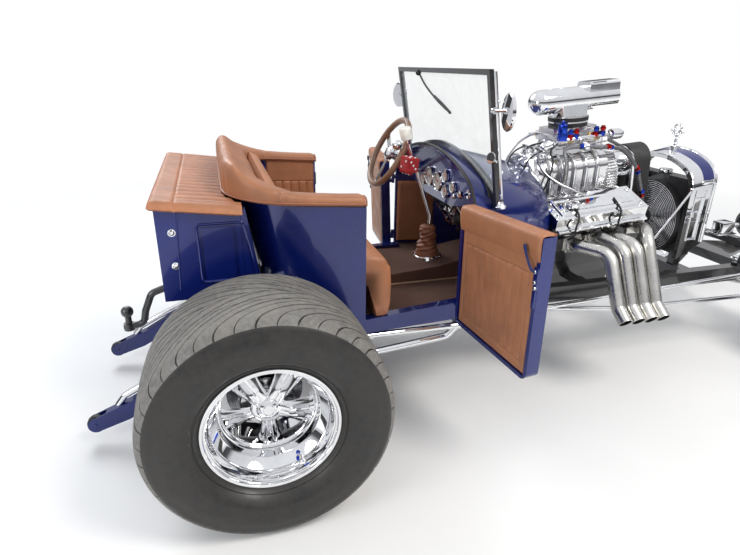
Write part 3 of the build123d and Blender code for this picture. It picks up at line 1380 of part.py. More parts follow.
def door(side):
    """Door frame and skin, recessed for its trim, with hinge straps and the latch."""
    depth = DOOR_T - DOOR_PAD_T
    panel = door_slab(0, 0, DOOR_T)
    across = panel.edges().filter_by(lambda edge: edge.length < DOOR_T + 3)
    panel = fillet(across.sort_by(Axis.Z)[:2], DOOR_CORNER_R)
    panel -= door_slab(DOOR_FLANGE, depth, DOOR_T + 1)
    for z in HINGE_HEIGHTS:
        low = hinge_point(z - HINGE_LENGTH)
        high = hinge_point(z - 1)
        strap = block(HINGE_X - 60, HINGE_X, DOOR_FRONT_OUT - 4, high[1] + 2, z - HINGE_LENGTH + 3, z - 4)
        panel += rod(low, high, HINGE_R) + (strap - door_slab(0, 2, DOOR_T))
        panel -= rod(hinge_point(z - HINGE_LENGTH - 1), high, HINGE_PIN_R + RUNNING)
    latch_x = JAMB_X + DOOR_GAP
    latch_y = DOOR_REAR_OUT - DOOR_T
    latch = block(latch_x + 1, latch_x + 13, latch_y - 8, latch_y + 4, 690, 760)
    return open_door(panel + latch, side)


def door_pad(side):
    """Padded trim panel in the door's recess."""
    depth = DOOR_T - DOOR_PAD_T
    return open_door(door_slab(DOOR_FLANGE + SEAT, depth, DOOR_T - 1), side)


def floor_pan():
    """Floor, gearbox tunnel, riser and the shelf over the axle."""
    toe = TOE_RISE / (COWL_FRONT - TOE_X)
    front = COWL_FRONT - COWL_WALL - SEAT
    low = RAIL_TOP
    sheet = side_plate(
        [
            (RISER_X + SHELF_T, low),
            (TOE_X, low),
            (front, low + (front - TOE_X) * toe),
            (front, FLOOR_TOP + (front - TOE_X) * toe),
            (TOE_X, FLOOR_TOP),
            (RISER_X + SHELF_T, FLOOR_TOP),
        ],
        -600,
        600,
    )
    tub_in = JAMB_HALF - TUB_WALL - 4
    cowl_in = COWL_WALL + 2
    half = [
        (RISER_X, tub_in - 8),
        (JAMB_X - 64, tub_in - 8),
        (JAMB_X, SILL_REAR_OUT - SILL_W - SEAT),
        (COWL_REAR, SILL_FRONT_OUT - SILL_W - SEAT),
        (COWL_REAR + 1, COWL_SECTIONS[0][1] - cowl_in),
        (COWL_MID, COWL_SECTIONS[1][1] - cowl_in),
        (COWL_FRONT, COWL_SECTIONS[2][1] - cowl_in),
    ]
    sheet &= plan_plate(half + [(x, -y) for x, y in reversed(half)], 300, 900)
    hump = tunnel_form(0, x1=front) - tunnel_form(TUNNEL_WALL)
    sheet = sheet - tunnel_form(TUNNEL_WALL) + (hump & block(400, front, -200, 200, low, 800))
    shelf = tub_form(TUB_WALL + SEAT) & block(-200, RISER_X + SHELF_T, -600, 600, SHELF_Z, SHELF_Z + SHELF_T)
    riser = block(RISER_X, RISER_X + SHELF_T, -tub_in + 12, tub_in - 12, low, SHELF_Z + 1)
    return sheet + shelf + riser


def dash():
    """Dash panel under the cowl's rear edge, with gauge bezels and the column's hole."""
    form = cowl_form(COWL_WALL + SEAT)
    right = [(150, 817), (345, 862), (700, 897), (700, 1300)]
    low = right + [(-y, z) for y, z in reversed(right)]
    panel = form & front_plate(low, DASH_X, DASH_X + DASH_T)
    # y, z and radius of each bezel
    gauges = (
        (-20, 900, 44),
        (76, 906, 44),
        (-96, 938, 28),
        (-104, 872, 28),
        (150, 880, 28),
        (-180, 905, 24),
    )
    for y, z, radius in gauges:
        panel += rod((DASH_X - 8, y, z), (DASH_X, y, z), radius)
    column = rod(column_point(0), column_point(COLUMN_END), COLUMN_R + SEAT)
    return panel - column


def windshield():
    """Leaning frame of the windshield with its side posts, and the pane in it."""
    lean = (POST_FOOT_X - POST_TOP_X) / (POST_TOP_Z - POST_FOOT_Z)

    def slab(half, z0, z1, thick):
        """Sheet in the screen's plane between two heights."""
        x0 = POST_FOOT_X - (z0 - POST_FOOT_Z) * lean
        x1 = POST_FOOT_X - (z1 - POST_FOOT_Z) * lean
        t = thick / 2
        return side_plate([(x0 - t, z0), (x0 + t, z0), (x1 + t, z1), (x1 - t, z1)], -half, half)

    # the sill bar follows the cowl's arch; its centre stands this far above the shoulders
    rise = 128
    low = POST_FOOT_Z
    arc_low = 446
    foot = low + SCREEN_BAR
    sill_arc = ThreePointArc((700, -arc_low, foot), (700, 0, foot + rise + 8), (700, arc_low, foot))
    top = POST_TOP_Z - SCREEN_BAR
    window_half = POST_HALF - SCREEN_BAR
    window = Wire([
        sill_arc,
        Line((700, arc_low, foot), (700, window_half, foot)),
        Line((700, window_half, foot), (700, window_half, top)),
        Line((700, window_half, top), (700, -window_half, top)),
        Line((700, -window_half, top), (700, -window_half, foot)),
        Line((700, -window_half, foot), (700, -arc_low, foot)),
    ])
    opening = extrude(make_face(window), amount=400, dir=(1, 0, 0))
    frame_part = slab(POST_HALF, low - 40, POST_TOP_Z, SCREEN_T)
    frame_part -= cowl_form(-SEAT)
    frame_part -= opening
    pane = slab(POST_HALF, low - 40, POST_TOP_Z, GLASS_T) & opening
    return frame_part, pane


def mirrors():
    """Round mirror on an arm from each windshield post."""
    lean = (POST_FOOT_X - POST_TOP_X) / (POST_TOP_Z - POST_FOOT_Z)
    z = 1240.0
    post_x = POST_FOOT_X - (z - POST_FOOT_Z) * lean
    reach = POST_HALF + 74
    arm = rod((post_x, POST_HALF + 4, z), (post_x + 12, reach, z + 6), 6)
    arm += rod((post_x, POST_HALF, z), (post_x, POST_HALF + 8, z), 12)
    disc = turned_x([(-8, 0), (-8, 60), (-4, 64), (4, 60), (16, 20), (16, 0)], 0, 0)
    arm += Pos(post_x + 14, reach + 8, z) * Rot(0, 0, 12) * disc
    return both(arm)


def shifter():
    """Lever with its knob, standing in a ring on the tunnel."""
    base_z = TUNNEL_TOP_Z + 8
    ring = turned_z([(0, base_z - 30), (70, base_z - 30), (66, base_z + 10), (0, base_z + 10)])
    foot = base_z + 9
    top = base_z + 96
    boot = turned_z([(0, foot), (52, foot), (36, base_z + 60), (20, top), (0, top)])
    lever = pipe([(0, 0, base_z + 80), (5, 0, 733), (-125, 0, 1095)], [60], 8)
    lever += Pos(-130, 0, 1110) * Sphere(25)
    return Pos(SHIFTER_X, 0, 0) * (ring + boot + lever) - tunnel_form(-SEAT)


def turned_z(points):
    """Revolve of a (radius, z) outline about the Z axis."""
    return revolve(make_face(Polyline([(r, 0, z) for r, z in points], close=True)), axis=Axis.Z)


def pedals():
    """Pedal bracket under the dash with two hanging pedals."""
    low = 817 - SEAT
    hang = side_plate([(DASH_X, low), (DASH_X + DASH_T, low), (1005, 740), (1005, 712), (970, 712)], 92, 104)
    cross = rod((985, 60, 730), (985, 200, 730), 9)
    group = hang + cross
    for y in (100, 180):
        group += rod((985, y, 730), (1036, y, 650), 7)
        group += Pos(1036, y, 646) * Rot(0, 60, 0) * Cylinder(30, 10)
    return group


def luggage_box():
    """Open-topped box behind the tub, with a framed panel in each side."""
    outline = [
        (BOX_REAR_X, SHELF_Z),
        (BOX_FRONT_X, SHELF_Z),
        (BOX_FRONT_X, BOX_TOP_FRONT),
        (BOX_REAR_X, BOX_TOP_REAR),
    ]
    box = side_plate(outline, -BOX_HALF, BOX_HALF)
    rear = BOX_REAR_X + BOX_WALL
    half = BOX_HALF - BOX_WALL
    box -= block(rear, BOX_FRONT_X - BOX_WALL, -half, half, SHELF_Z + BOX_WALL, 1200)
    panel_in = BOX_HALF - BOX_PANEL_INSET
    panel = block(-163, -42, panel_in, BOX_HALF + 4, 693, 897)
    field = block(-152, -53, panel_in, BOX_HALF + 4, 704, 886)
    groove = panel - field
    box -= groove
    return box - mirrored(groove)


def roll_plan(inset):
    """Seat roll's outline seen from above, drawn in by inset."""
    half = ROLL_OUT - inset
    rear = ROLL_BACK_X + inset * ROLL_BACK_T / ROLL_W
    front = ROLL_FRONT_X + (5 if inset > 0 else 0)
    face = make_face(Polyline([(front, -half), (front, half), (rear, half), (rear, -half)], close=True))
    return fillet(face.vertices().sort_by(Axis.X)[:2], 215 - inset)


def seat_roll():
    """Padded roll along the tub's top edge, tall at the back and low at the doors."""
    top = 1110
    ring = Pos(0, 0, 900) * extrude(roll_plan(0) - roll_plan(ROLL_W), amount=top - 900, dir=(0, 0, 1))
    crest = side_plate(
        [
            (ROLL_FRONT_X, belt_z(ROLL_FRONT_X) + SEAT),
            (ROLL_FRONT_X, 958),
            (230, 972),
            (90, 1006),
            (0, 1044),
            (-30, 1082),
            (ROLL_BACK_X, 1092),
            (ROLL_BACK_X - 10, belt_z(ROLL_BACK_X - 10) + SEAT),
        ],
        -600,
        600,
    )
    return ring & crest


def seat_backrest():
    """Leaning backrest between the tub's walls."""
    low = SHELF_Z + SHELF_T + SEAT
    outline = [(92, low), (60, 930), (60, BACKREST_TOP), (104, BACKREST_TOP), (206, 720), (206, low)]
    back = side_plate(outline, -600, 600)
    within = Pos(0, 0, 500) * extrude(roll_plan(ROLL_W + SEAT), amount=700, dir=(0, 0, 1))
    in_tub = tub_form(TUB_WALL + SEAT) + block(-200, JAMB_X, -600, 600, TUB_HIGH_Z, 1200)
    return back & in_tub & within


def seat_cushion():
    """Bench cushion in front of the riser."""
    rear = RISER_X + SHELF_T + SEAT
    outline = [
        (rear, FLOOR_TOP + SEAT),
        (CUSHION_FRONT - 16, FLOOR_TOP + SEAT),
        (CUSHION_FRONT, 540),
        (CUSHION_FRONT, 680),
        (CUSHION_FRONT - 34, 722),
        (rear, 708),
    ]
    cushion = side_plate(outline, -CUSHION_HALF, CUSHION_HALF)
    front = CUSHION_FRONT + 1
    notch = block(JAMB_X - 70, front, CUSHION_HALF - CUSHION_RELIEF, CUSHION_HALF + 1, FLOOR_TOP - 1, 900)
    sill_in = SILL_REAR_OUT - SILL_W - 10
    notch += block(JAMB_X - 4, front, sill_in, CUSHION_HALF + 1, FLOOR_TOP - 1, FLOOR_TOP + 12)
    return cushion - notch - mirrored(notch)


def box_pad():
    """Padded lid of the box, cut round the seat roll."""
    slope = (BOX_TOP_REAR - BOX_TOP_FRONT) / (BOX_FRONT_X - BOX_REAR_X)
    x0 = BOX_REAR_X - 12
    x1 = BOX_FRONT_X + 6
    low0 = BOX_TOP_REAR + 12 * slope + SEAT
    low1 = BOX_TOP_FRONT - 6 * slope + SEAT
    pad = side_plate([(x0, low0), (x1, low1), (x1, low1 + PAD_T), (x0, low0 + PAD_T)], -PAD_HALF, PAD_HALF)
    roll = Pos(0, 0, 800) * extrude(roll_plan(-1), amount=400, dir=(0, 0, 1))
    return pad - roll


def save(name, shape):
    """Writes one piece, moved to the car's own origin."""
    export_step(Pos(-ORIGIN_X, 0, 0) * shape, "parts/" + name + ".step")


def main():
    """Builds and writes every piece."""
    os.makedirs("parts", exist_ok=True)
    bars, braces = wheelie_bars()
    screen, pane = windshield()
    pieces = {
        "frame": frame(),
        "rear_axle": rear_axle(),
        "radius_rods": Compound([*rear_rods().solids(), *hairpins().solids()]),
        "coilovers": coilovers(),
        "wheelie_bars": bars,
        "wheelie_braces": braces,
        "hitch_bar": hitch_bar(),
        "driveshaft": driveshaft(),
        "gearbox": gearbox(),
        "engine_block": engine_block(),
        "valve_covers": valve_covers(),
        "blower": blower(),
        "drive_belt": drive_belt(),
        "carburettors": carburettors(),
        "scoop": scoop(),
        "radiator": radiator(),
        "radiator_shell": radiator_shell(),
        "fan": fan(),
        "headlamps": headlamps(),
        "front_axle": front_axle(),
        "front_spring": front_spring(),
        "headers": headers(),
        "tie_rod": tie_rod(),
        "pitman_arm": pitman_arm(),
        "drag_link": drag_link(),
        "steering_column": steering_column(),
        "steering_wheel": steering_wheel(),
        "body_tub": body_tub(),
        "floor_pan": floor_pan(),
        "cowl": cowl(),
        "dash": dash(),
        "windshield_frame": screen,
        "windshield_glass": pane,
        "mirrors": mirrors(),
        "shifter": shifter(),
        "pedals": pedals(),
        "luggage_box": luggage_box(),
        "box_pad": box_pad(),
        "seat_roll": seat_roll(),
        "seat_backrest": seat_backrest(),
        "seat_cushion": seat_cushion(),
    }
    sides = (("right", RIGHT), ("left", LEFT))
    for word, side in sides:
        pieces["door_" + word] = door(side)
        pieces["door_pad_" + word] = door_pad(side)
        pieces["rear_wheel_" + word] = on_side(rear_wheel(), side)
        pieces["rear_tyre_" + word] = on_side(rear_tyre(), side)
        pieces["front_wheel_" + word] = on_side(front_wheel(), side)
        pieces["front_tyre_" + word] = on_side(front_tyre(), side)
        pieces["wheelie_wheel_" + word] = on_side(wheelie_wheel(), side)
        pieces["knuckle_" + word] = on_side(knuckle(side == RIGHT), side)
    for name, shape in pieces.items():
        save(name, shape)


if __name__ == "__main__":
    main()
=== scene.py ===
import json
import logging
import math
from dataclasses import dataclass
from enum import Enum
from typing import Callable, Iterable, Sequence

import bmesh
import bpy
from mathutils import Matrix, Vector


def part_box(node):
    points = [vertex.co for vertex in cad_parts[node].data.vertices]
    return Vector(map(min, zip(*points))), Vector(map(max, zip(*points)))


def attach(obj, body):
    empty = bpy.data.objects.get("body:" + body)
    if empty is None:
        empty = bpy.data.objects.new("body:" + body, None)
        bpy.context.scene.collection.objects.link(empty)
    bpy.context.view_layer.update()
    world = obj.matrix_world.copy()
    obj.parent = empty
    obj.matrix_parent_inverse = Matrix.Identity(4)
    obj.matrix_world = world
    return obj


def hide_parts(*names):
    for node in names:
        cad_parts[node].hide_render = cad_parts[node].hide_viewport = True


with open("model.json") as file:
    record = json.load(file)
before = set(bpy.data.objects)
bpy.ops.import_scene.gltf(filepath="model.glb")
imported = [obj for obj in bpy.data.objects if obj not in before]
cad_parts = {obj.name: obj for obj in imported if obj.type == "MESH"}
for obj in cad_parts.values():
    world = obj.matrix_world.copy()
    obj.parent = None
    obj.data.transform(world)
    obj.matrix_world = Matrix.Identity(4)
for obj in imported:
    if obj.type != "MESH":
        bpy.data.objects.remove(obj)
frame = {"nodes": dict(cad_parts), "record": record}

LOG = logging.getLogger("roadster")
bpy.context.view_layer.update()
Point = Sequence[float]
Colour = tuple[float, float, float]


class Side(Enum):
    """The car's right and left, as the sign of y."""

    RIGHT = -1
    LEFT = 1

    @property
    def word(self) -> str:
        """The ending of that side's node and body names."""
        return self.name.lower()


def middle(node: str) -> Vector:
    """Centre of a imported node's box."""
    low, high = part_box(node)
    return (low + high) / 2


AXLE_X = middle("rear_tyre_right").x

# Places that several pieces share, in metres from the rear axle, the middle plane and the ground.
JAMB = 0.402
DOOR_HINGE = (0.836, 0.476, 0.430)
CARPET_EDGE_Z = 0.4635
TUNNEL_HALF = 0.1275
PAD_HALF = 0.505


def car(x: float, y: float, z: float) -> Vector:
    """Place in the row's frame of a point measured from the rear axle, the middle plane and the ground."""
    return Vector((AXLE_X + x, y, z))


class Graph:
    """Node tree of one material while it is being wired."""

    def __init__(self, name: str) -> None:
        """Starts a material with an empty Principled shader.

        Args:
            name: The material's name.
        """
        self.material = bpy.data.materials.new(name)
        self.material.use_nodes = True
        self.tree = self.material.node_tree
        self.shader = self.tree.nodes["Principled BSDF"]
        self.coords = self.tree.nodes.new("ShaderNodeTexCoord").outputs["Object"]

    def add(self, kind: str, links: dict[str, bpy.types.NodeSocket] | None = None,
            **values: object) -> bpy.types.Node:
        """Adds one node.

        Args:
            kind: The node's type.
            links: Sockets to join to its inputs, by input name.
            **values: Properties of the node, or values of its inputs with spaces as underscores.

        Returns:
            The node.
        """
        node = self.tree.nodes.new(kind)
        for key, value in values.items():
            plain = key.replace("_", " ")
            if hasattr(node, key):
                setattr(node, key, value)
            else:
                node.inputs[plain].default_value = value
        for key, socket in (links or {}).items():
            self.tree.links.new(socket, node.inputs[key])
        return node

    def placed(self, scale: Point = (1, 1, 1), turn: Point = (0, 0, 0)) -> bpy.types.NodeSocket:
        """Object coordinates after a scale and a turn."""
        return self.add("ShaderNodeMapping", {"Vector": self.coords}, Scale=scale, Rotation=turn).outputs[0]

    def noise(self, scale: float, detail: float = 4.0, rough: float = 0.55,
              vector: bpy.types.NodeSocket | None = None) -> bpy.types.NodeSocket:
        """Noise value over the object.

        Args:
            scale: Waves a metre.
            detail: Octaves.
            rough: Share that each octave keeps.
            vector: Where it is read, or None for plain object coordinates.

        Returns:
            The noise's value socket.
        """
        node = self.add("ShaderNodeTexNoise", {"Vector": vector or self.coords}, Scale=scale, Detail=detail)
        node.inputs["Roughness"].default_value = rough
        return node.outputs[0]

    def cells(self, scale: float, feature: str = "F1",
              vector: bpy.types.NodeSocket | None = None) -> bpy.types.NodeSocket:
        """Voronoi distance over the object.

        Args:
            scale: Cells a metre.
            feature: F1, or DISTANCE_TO_EDGE for the cells' borders.
            vector: Where it is read, or None for plain object coordinates.

        Returns:
            The distance socket.
        """
        return self.add("ShaderNodeTexVoronoi", {"Vector": vector or self.coords}, feature=feature,
                        Scale=scale).outputs["Distance"]

    def ramp(self, value: bpy.types.NodeSocket, low: float, high: float, dark: Colour,
             light: Colour) -> bpy.types.NodeSocket:
        """Colour that runs from dark to light while a value runs from low to high.

        Args:
            value: The driving socket.
            low: Value at which the colour is still dark.
            high: Value from which it is light.
            dark: First colour.
            light: Last colour.

        Returns:
            The colour socket.
        """
        node = self.add("ShaderNodeValToRGB", {"Fac": value})
        first, last = node.color_ramp.elements
        first.position, first.color = low, (*dark, 1)
        last.position, last.color = high, (*light, 1)
        return node.outputs[0]

    def spread(self, value: bpy.types.NodeSocket, low: float, high: float, to_low: float,
               to_high: float) -> bpy.types.NodeSocket:
        """Value mapped from one range to another.

        Args:
            value: The driving socket.
            low: Start of its range.
            high: End of its range.
            to_low: Result at the start.
            to_high: Result at the end.

        Returns:
            The mapped socket.
        """
        node = self.add("ShaderNodeMapRange", {"Value": value}, From_Min=low, From_Max=high, To_Min=to_low,
                        To_Max=to_high)
        return node.outputs[0]

    def blend(self, share: bpy.types.NodeSocket, first: bpy.types.NodeSocket,
              second: bpy.types.NodeSocket) -> bpy.types.NodeSocket:
        """Mix of two colours by a share."""
        node = self.add("ShaderNodeMix", data_type="RGBA")
        for index, socket in ((0, share), (6, first), (7, second)):
            self.tree.links.new(socket, node.inputs[index])
        return node.outputs[2]

    def relief(self, height: bpy.types.NodeSocket, depth: float, strength: float = 1.0,
               under: bpy.types.NodeSocket | None = None) -> bpy.types.NodeSocket:
        """Bump from a height.

        Args:
            height: Height, from 0 to 1.
            depth: Depth in metres.
            strength: Share of the bump that is used.
            under: Normal of a coarser bump below this one.

        Returns:
            The normal socket.
        """
        links = {"Height": height}
        if under is not None:
            links["Normal"] = under
        return self.add("ShaderNodeBump", links, Distance=depth, Strength=strength).outputs[0]

    def wire(self, **sockets: bpy.types.NodeSocket) -> None:
        """Joins sockets to the shader's inputs, named with underscores."""
        for key, socket in sockets.items():
            self.tree.links.new(socket, self.shader.inputs[key.replace("_", " ")])

    def fix(self, **values: object) -> None:
        """Sets the shader's own values, named with underscores."""
        for key, value in values.items():
            self.shader.inputs[key.replace("_", " ")].default_value = value


MADE: dict[str, bpy.types.Material] = {}


@dataclass(frozen=True)
class Finish:
    """A surface finish, whose material is made once.

    Attributes:
        name: The material's name.
        slot: The record's material slot that it belongs to; not used.
        colour: Main colour.
    """

    name: str
    slot: str
    colour: Colour

    def material(self) -> bpy.types.Material:
        """The finish's material, made at its first use."""
        if self.name not in MADE:
            graph = Graph(self.name)
            self.paint(graph)
            MADE[self.name] = graph.material
        return MADE[self.name]

    def paint(self, graph: Graph) -> None:
        """Wires the finish; each kind of finish has its own."""
        raise NotImplementedError

    def shade(self, share: float) -> Colour:
        """The main colour, darker or lighter by a factor."""
        return tuple(min(1.0, part * share) for part in self.colour)


@dataclass(frozen=True)
class Paint(Finish):
    """Gloss paint under a clear coat, with metal flake and a little dust on what faces up."""

    flake: float = 0.0
    dust: float = 0.15
    gloss: float = 0.22

    def paint(self, graph: Graph) -> None:
        """Wires colour drift, flake and dust."""
        drift = graph.noise(3.0, 3.0)
        colour = graph.ramp(drift, 0.3, 0.75, self.shade(0.7), self.shade(1.35))
        if self.flake > 0:
            sparkle = graph.ramp(graph.cells(1400.0), 0.05, 0.5, self.shade(4.5), self.shade(0.8))
            share = graph.spread(graph.noise(260.0, 2.0), 0.35, 0.75, 0.0, self.flake)
            colour = graph.blend(share, colour, sparkle)
        up = graph.add("ShaderNodeSeparateXYZ",
                       {"Vector": graph.add("ShaderNodeNewGeometry").outputs["Normal"]}).outputs["Z"]
        patch = graph.spread(graph.noise(38.0, 8.0, 0.7), 0.45, 0.72, 0.0, self.dust)
        lying = graph.add("ShaderNodeMath", {"Value": graph.spread(up, 0.2, 1.0, 0.15, 1.0)},
                          operation="MULTIPLY")
        graph.tree.links.new(patch, lying.inputs[1])
        dusty = graph.add("ShaderNodeRGB")
        dusty.outputs[0].default_value = (0.3, 0.26, 0.2, 1)
        graph.wire(Base_Color=graph.blend(lying.outputs[0], colour, dusty.outputs[0]))
        graph.wire(Roughness=graph.spread(lying.outputs[0], 0.0, 0.3, self.gloss, 0.6))
        graph.fix(Metallic=0.35 if self.flake > 0 else 0.0, Coat_Weight=0.7, Coat_Roughness=0.03)


class Grain(Enum):
    """How a metal was worked."""

    PLATED = 0
    POLISHED = 1
    SATIN = 2
    CAST = 3


@dataclass(frozen=True)
class Metal(Finish):
    """Bare or plated metal."""

    rough: float = 0.08
    grain: Grain = Grain.PLATED

    def paint(self, graph: Graph) -> None:
        """Wires smears, and the grain that the metal was left with."""
        smear = graph.noise(9.0, 6.0, 0.65)
        graph.wire(Base_Color=graph.ramp(smear, 0.3, 0.8, self.shade(0.86), self.shade(1.06)))
        graph.wire(Roughness=graph.spread(smear, 0.3, 0.8, self.rough * 0.7, self.rough * 1.9))
        graph.fix(Metallic=1.0)
        if self.grain is Grain.SATIN:
            graph.wire(Normal=graph.relief(graph.noise(420.0, 3.0, 0.6, graph.placed((1, 1, 0.12))), 0.00012,
                                           0.4))
        if self.grain is Grain.POLISHED:
            graph.wire(Normal=graph.relief(graph.noise(140.0, 5.0), 0.0002, 0.25))
        if self.grain is Grain.CAST:
            graph.wire(Normal=graph.relief(graph.noise(700.0, 5.0, 0.7), 0.0004, 0.6))


@dataclass(frozen=True)
class Rubber(Finish):
    """Black rubber with road dust in patches."""

    dust: Colour = (0.16, 0.14, 0.115)
    dirt: float = 0.4
    rough: float = 0.62

    def paint(self, graph: Graph) -> None:
        """Wires dust, fine pores and moulding waviness."""
        patches = graph.noise(14.0, 9.0, 0.68)
        share = graph.spread(patches, 0.42, 0.7, 0.0, self.dirt)
        black = graph.ramp(graph.noise(70.0, 4.0), 0.3, 0.7, self.shade(0.75), self.shade(1.3))
        dust = graph.ramp(graph.noise(220.0, 5.0), 0.3, 0.7, tuple(p * 0.7 for p in self.dust), self.dust)
        graph.wire(Base_Color=graph.blend(share, black, dust))
        graph.wire(Roughness=graph.spread(patches, 0.4, 0.7, self.rough * 0.75, min(1.0, self.rough * 1.35)))
        wavy = graph.relief(graph.noise(18.0, 2.0), 0.0012, 0.35)
        graph.wire(Normal=graph.relief(graph.noise(900.0, 3.0), 0.0002, 0.5, wavy))


@dataclass(frozen=True)
class Leather(Finish):
    """Tanned leather with a pebbled grain, creases and paler worn ridges."""

    rough: float = 0.42

    def paint(self, graph: Graph) -> None:
        """Wires tone, wear, pebble grain and creases."""
        tone = graph.ramp(graph.noise(7.0, 6.0, 0.6), 0.28, 0.75, self.shade(0.72), self.shade(1.16))
        worn = graph.add("ShaderNodeNewGeometry").outputs["Pointiness"]
        pale = graph.ramp(graph.noise(60.0, 4.0), 0.3, 0.7, self.shade(1.25), self.shade(1.6))
        graph.wire(Base_Color=graph.blend(graph.spread(worn, 0.5, 0.56, 0.0, 0.55), tone, pale))
        pebble = graph.cells(520.0, "DISTANCE_TO_EDGE")
        graph.wire(Roughness=graph.spread(graph.noise(33.0, 5.0), 0.3, 0.7, self.rough * 0.82,
                                          self.rough * 1.3))
        crease = graph.relief(graph.noise(26.0, 7.0, 0.66, graph.placed((1, 1, 0.45))), 0.0022, 0.35)
        graph.wire(Normal=graph.relief(graph.spread(pebble, 0.0, 0.12, 0.0, 1.0), 0.00025, 0.55, crease))
        graph.fix(Coat_Weight=0.12, Coat_Roughness=0.3)


@dataclass(frozen=True)
class Cloth(Finish):
    """Tufted fibre, as carpet or plush."""

    tuft: float = 620.0
    depth: float = 0.0025

    def paint(self, graph: Graph) -> None:
        """Wires tufts, with painted light on their tips and painted shade in the gaps between them, tone
        patches and sheen.
        """
        tufts = graph.cells(self.tuft)
        tone = graph.ramp(graph.noise(16.0, 6.0, 0.7), 0.3, 0.7, self.shade(0.65), self.shade(1.25))
        # Painted light and shade: each tuft's tip is lighter and the gaps between tufts are darker.
        tip = graph.ramp(tufts, 0.1, 0.6, self.shade(1.5), self.shade(0.35))
        graph.wire(Base_Color=graph.blend(graph.spread(graph.noise(240.0, 3.0), 0.3, 0.7, 0.35, 0.75), tone,
                                          tip))
        coarse = graph.relief(graph.noise(90.0, 5.0, 0.7), self.depth, 0.5)
        graph.wire(Normal=graph.relief(graph.spread(tufts, 0.0, 0.6, 1.0, 0.0), self.depth, 0.8, coarse))
        graph.fix(Roughness=0.95, Sheen_Weight=0.08, Sheen_Roughness=0.5)


@dataclass(frozen=True)
class Glazing(Finish):
    """Clear pane or lens with faint smears."""

    clear: float = 0.14

    def paint(self, graph: Graph) -> None:
        """Wires tint, smears and see-through."""
        smear = graph.noise(12.0, 7.0, 0.7)
        graph.wire(Base_Color=graph.ramp(smear, 0.3, 0.7, self.shade(0.9), self.colour))
        graph.wire(Alpha=graph.spread(smear, 0.45, 0.8, self.clear, self.clear + 0.1))
        graph.fix(Roughness=0.03, IOR=1.5)
        graph.material.surface_render_method = "BLENDED"


@dataclass(frozen=True)
class Moulding(Finish):
    """Plastic or rubber trim with a fine moulded grain."""

    rough: float = 0.45

    def paint(self, graph: Graph) -> None:
        """Wires tone and grain."""
        graph.wire(Base_Color=graph.ramp(graph.noise(30.0, 5.0), 0.3, 0.7, self.shade(0.8), self.shade(1.25)))
        graph.wire(Roughness=graph.spread(graph.noise(60.0, 4.0), 0.3, 0.7, self.rough * 0.8,
                                          self.rough * 1.25))
        graph.wire(Normal=graph.relief(graph.noise(800.0, 3.0), 0.00015, 0.4))


@dataclass(frozen=True)
class Braid(Finish):
    """Woven steel sleeve of a hose."""

    def paint(self, graph: Graph) -> None:
        """Wires two crossed rows of strands."""
        one = graph.add("ShaderNodeTexWave", {"Vector": graph.placed((1, 1, 1), (0.6, 0.5, 0.8))},
                        Scale=160.0).outputs["Fac"]
        two = graph.add("ShaderNodeTexWave", {"Vector": graph.placed((1, 1, 1), (-0.6, -0.5, -0.8))},
                        Scale=160.0).outputs["Fac"]
        woven = graph.add("ShaderNodeMath", {"Value": one}, operation="MULTIPLY")
        graph.tree.links.new(two, woven.inputs[1])
        graph.wire(Base_Color=graph.ramp(woven.outputs[0], 0.1, 0.6, self.shade(0.2), self.colour))
        graph.wire(Normal=graph.relief(woven.outputs[0], 0.0008, 0.8))
        graph.fix(Metallic=0.9, Roughness=0.35)


BLUE = Paint("body_blue", "body_paint", (0.004, 0.012, 0.125), flake=0.35, dust=0.03, gloss=0.2)
BLACK_PAINT = Paint("frame_black", "frame_paint", (0.012, 0.012, 0.015), dust=0.3, gloss=0.3)
CHROME = Metal("bright_chrome", "chrome", (0.86, 0.865, 0.88), rough=0.035)
ALLOY = Metal("polished_alloy", "polished_case", (0.8, 0.8, 0.81), rough=0.17, grain=Grain.POLISHED)
STEEL = Metal("plated_steel", "steel_links", (0.6, 0.6, 0.62), rough=0.2, grain=Grain.SATIN)
PIPE_STEEL = Metal("header_steel", "header_steel", (0.66, 0.65, 0.62), rough=0.24, grain=Grain.SATIN)
IRON = Paint("engine_black", "engine_iron", (0.016, 0.016, 0.018), dust=0.25, gloss=0.4)
GOLD = Metal("yellow_zinc", "polished_case", (0.72, 0.52, 0.2), rough=0.3, grain=Grain.CAST)
RED_FITTING = Metal("red_anodised", "steel_links", (0.5, 0.02, 0.02), rough=0.2)
BLUE_FITTING = Metal("blue_anodised", "steel_links", (0.03, 0.08, 0.55), rough=0.2)
SIDEWALL = Rubber("tyre_side", "tyre_rubber", (0.017, 0.016, 0.0155), dust=(0.06, 0.05, 0.04), dirt=0.45,
                  rough=0.5)
TREAD = Rubber("tyre_tread", "tyre_rubber", (0.15, 0.145, 0.137), dust=(0.27, 0.255, 0.232), dirt=0.75,
               rough=0.75)
# Near-black for the soot inside the header pipes and for the painted shade deeper in their bores.
SOOT_AND_SHADE = Moulding("pipe_soot_and_shade", "header_steel", (0.006, 0.006, 0.006), rough=0.9)
HIDE = Leather("tan_hide", "tan_leather", (0.36, 0.145, 0.066), rough=0.5)
DARK_HIDE = Leather("seam_hide", "tan_leather", (0.24, 0.085, 0.042))
RIM_HIDE = Leather("rim_hide", "tan_leather", (0.2, 0.105, 0.06), rough=0.3)
CARPET = Cloth("brown_carpet", "carpet", (0.15, 0.062, 0.035))
PLUSH = Cloth("red_plush", "carpet", (0.62, 0.012, 0.02), tuft=900.0, depth=0.004)
PANE = Glazing("clear_pane", "screen_glass", (0.82, 0.9, 0.9))
BLACK_TRIM = Moulding("black_trim", "black_plastic", (0.010, 0.010, 0.011), rough=0.55)
BELT_BLACK = Moulding("belt_black", "belt_rubber", (0.016, 0.016, 0.016), rough=0.6)
BLUE_STRAP = Moulding("blue_strap", "black_plastic", (0.012, 0.022, 0.11), rough=0.6)
WHITE_TRIM = Moulding("white_marks", "black_plastic", (0.75, 0.76, 0.74), rough=0.5)
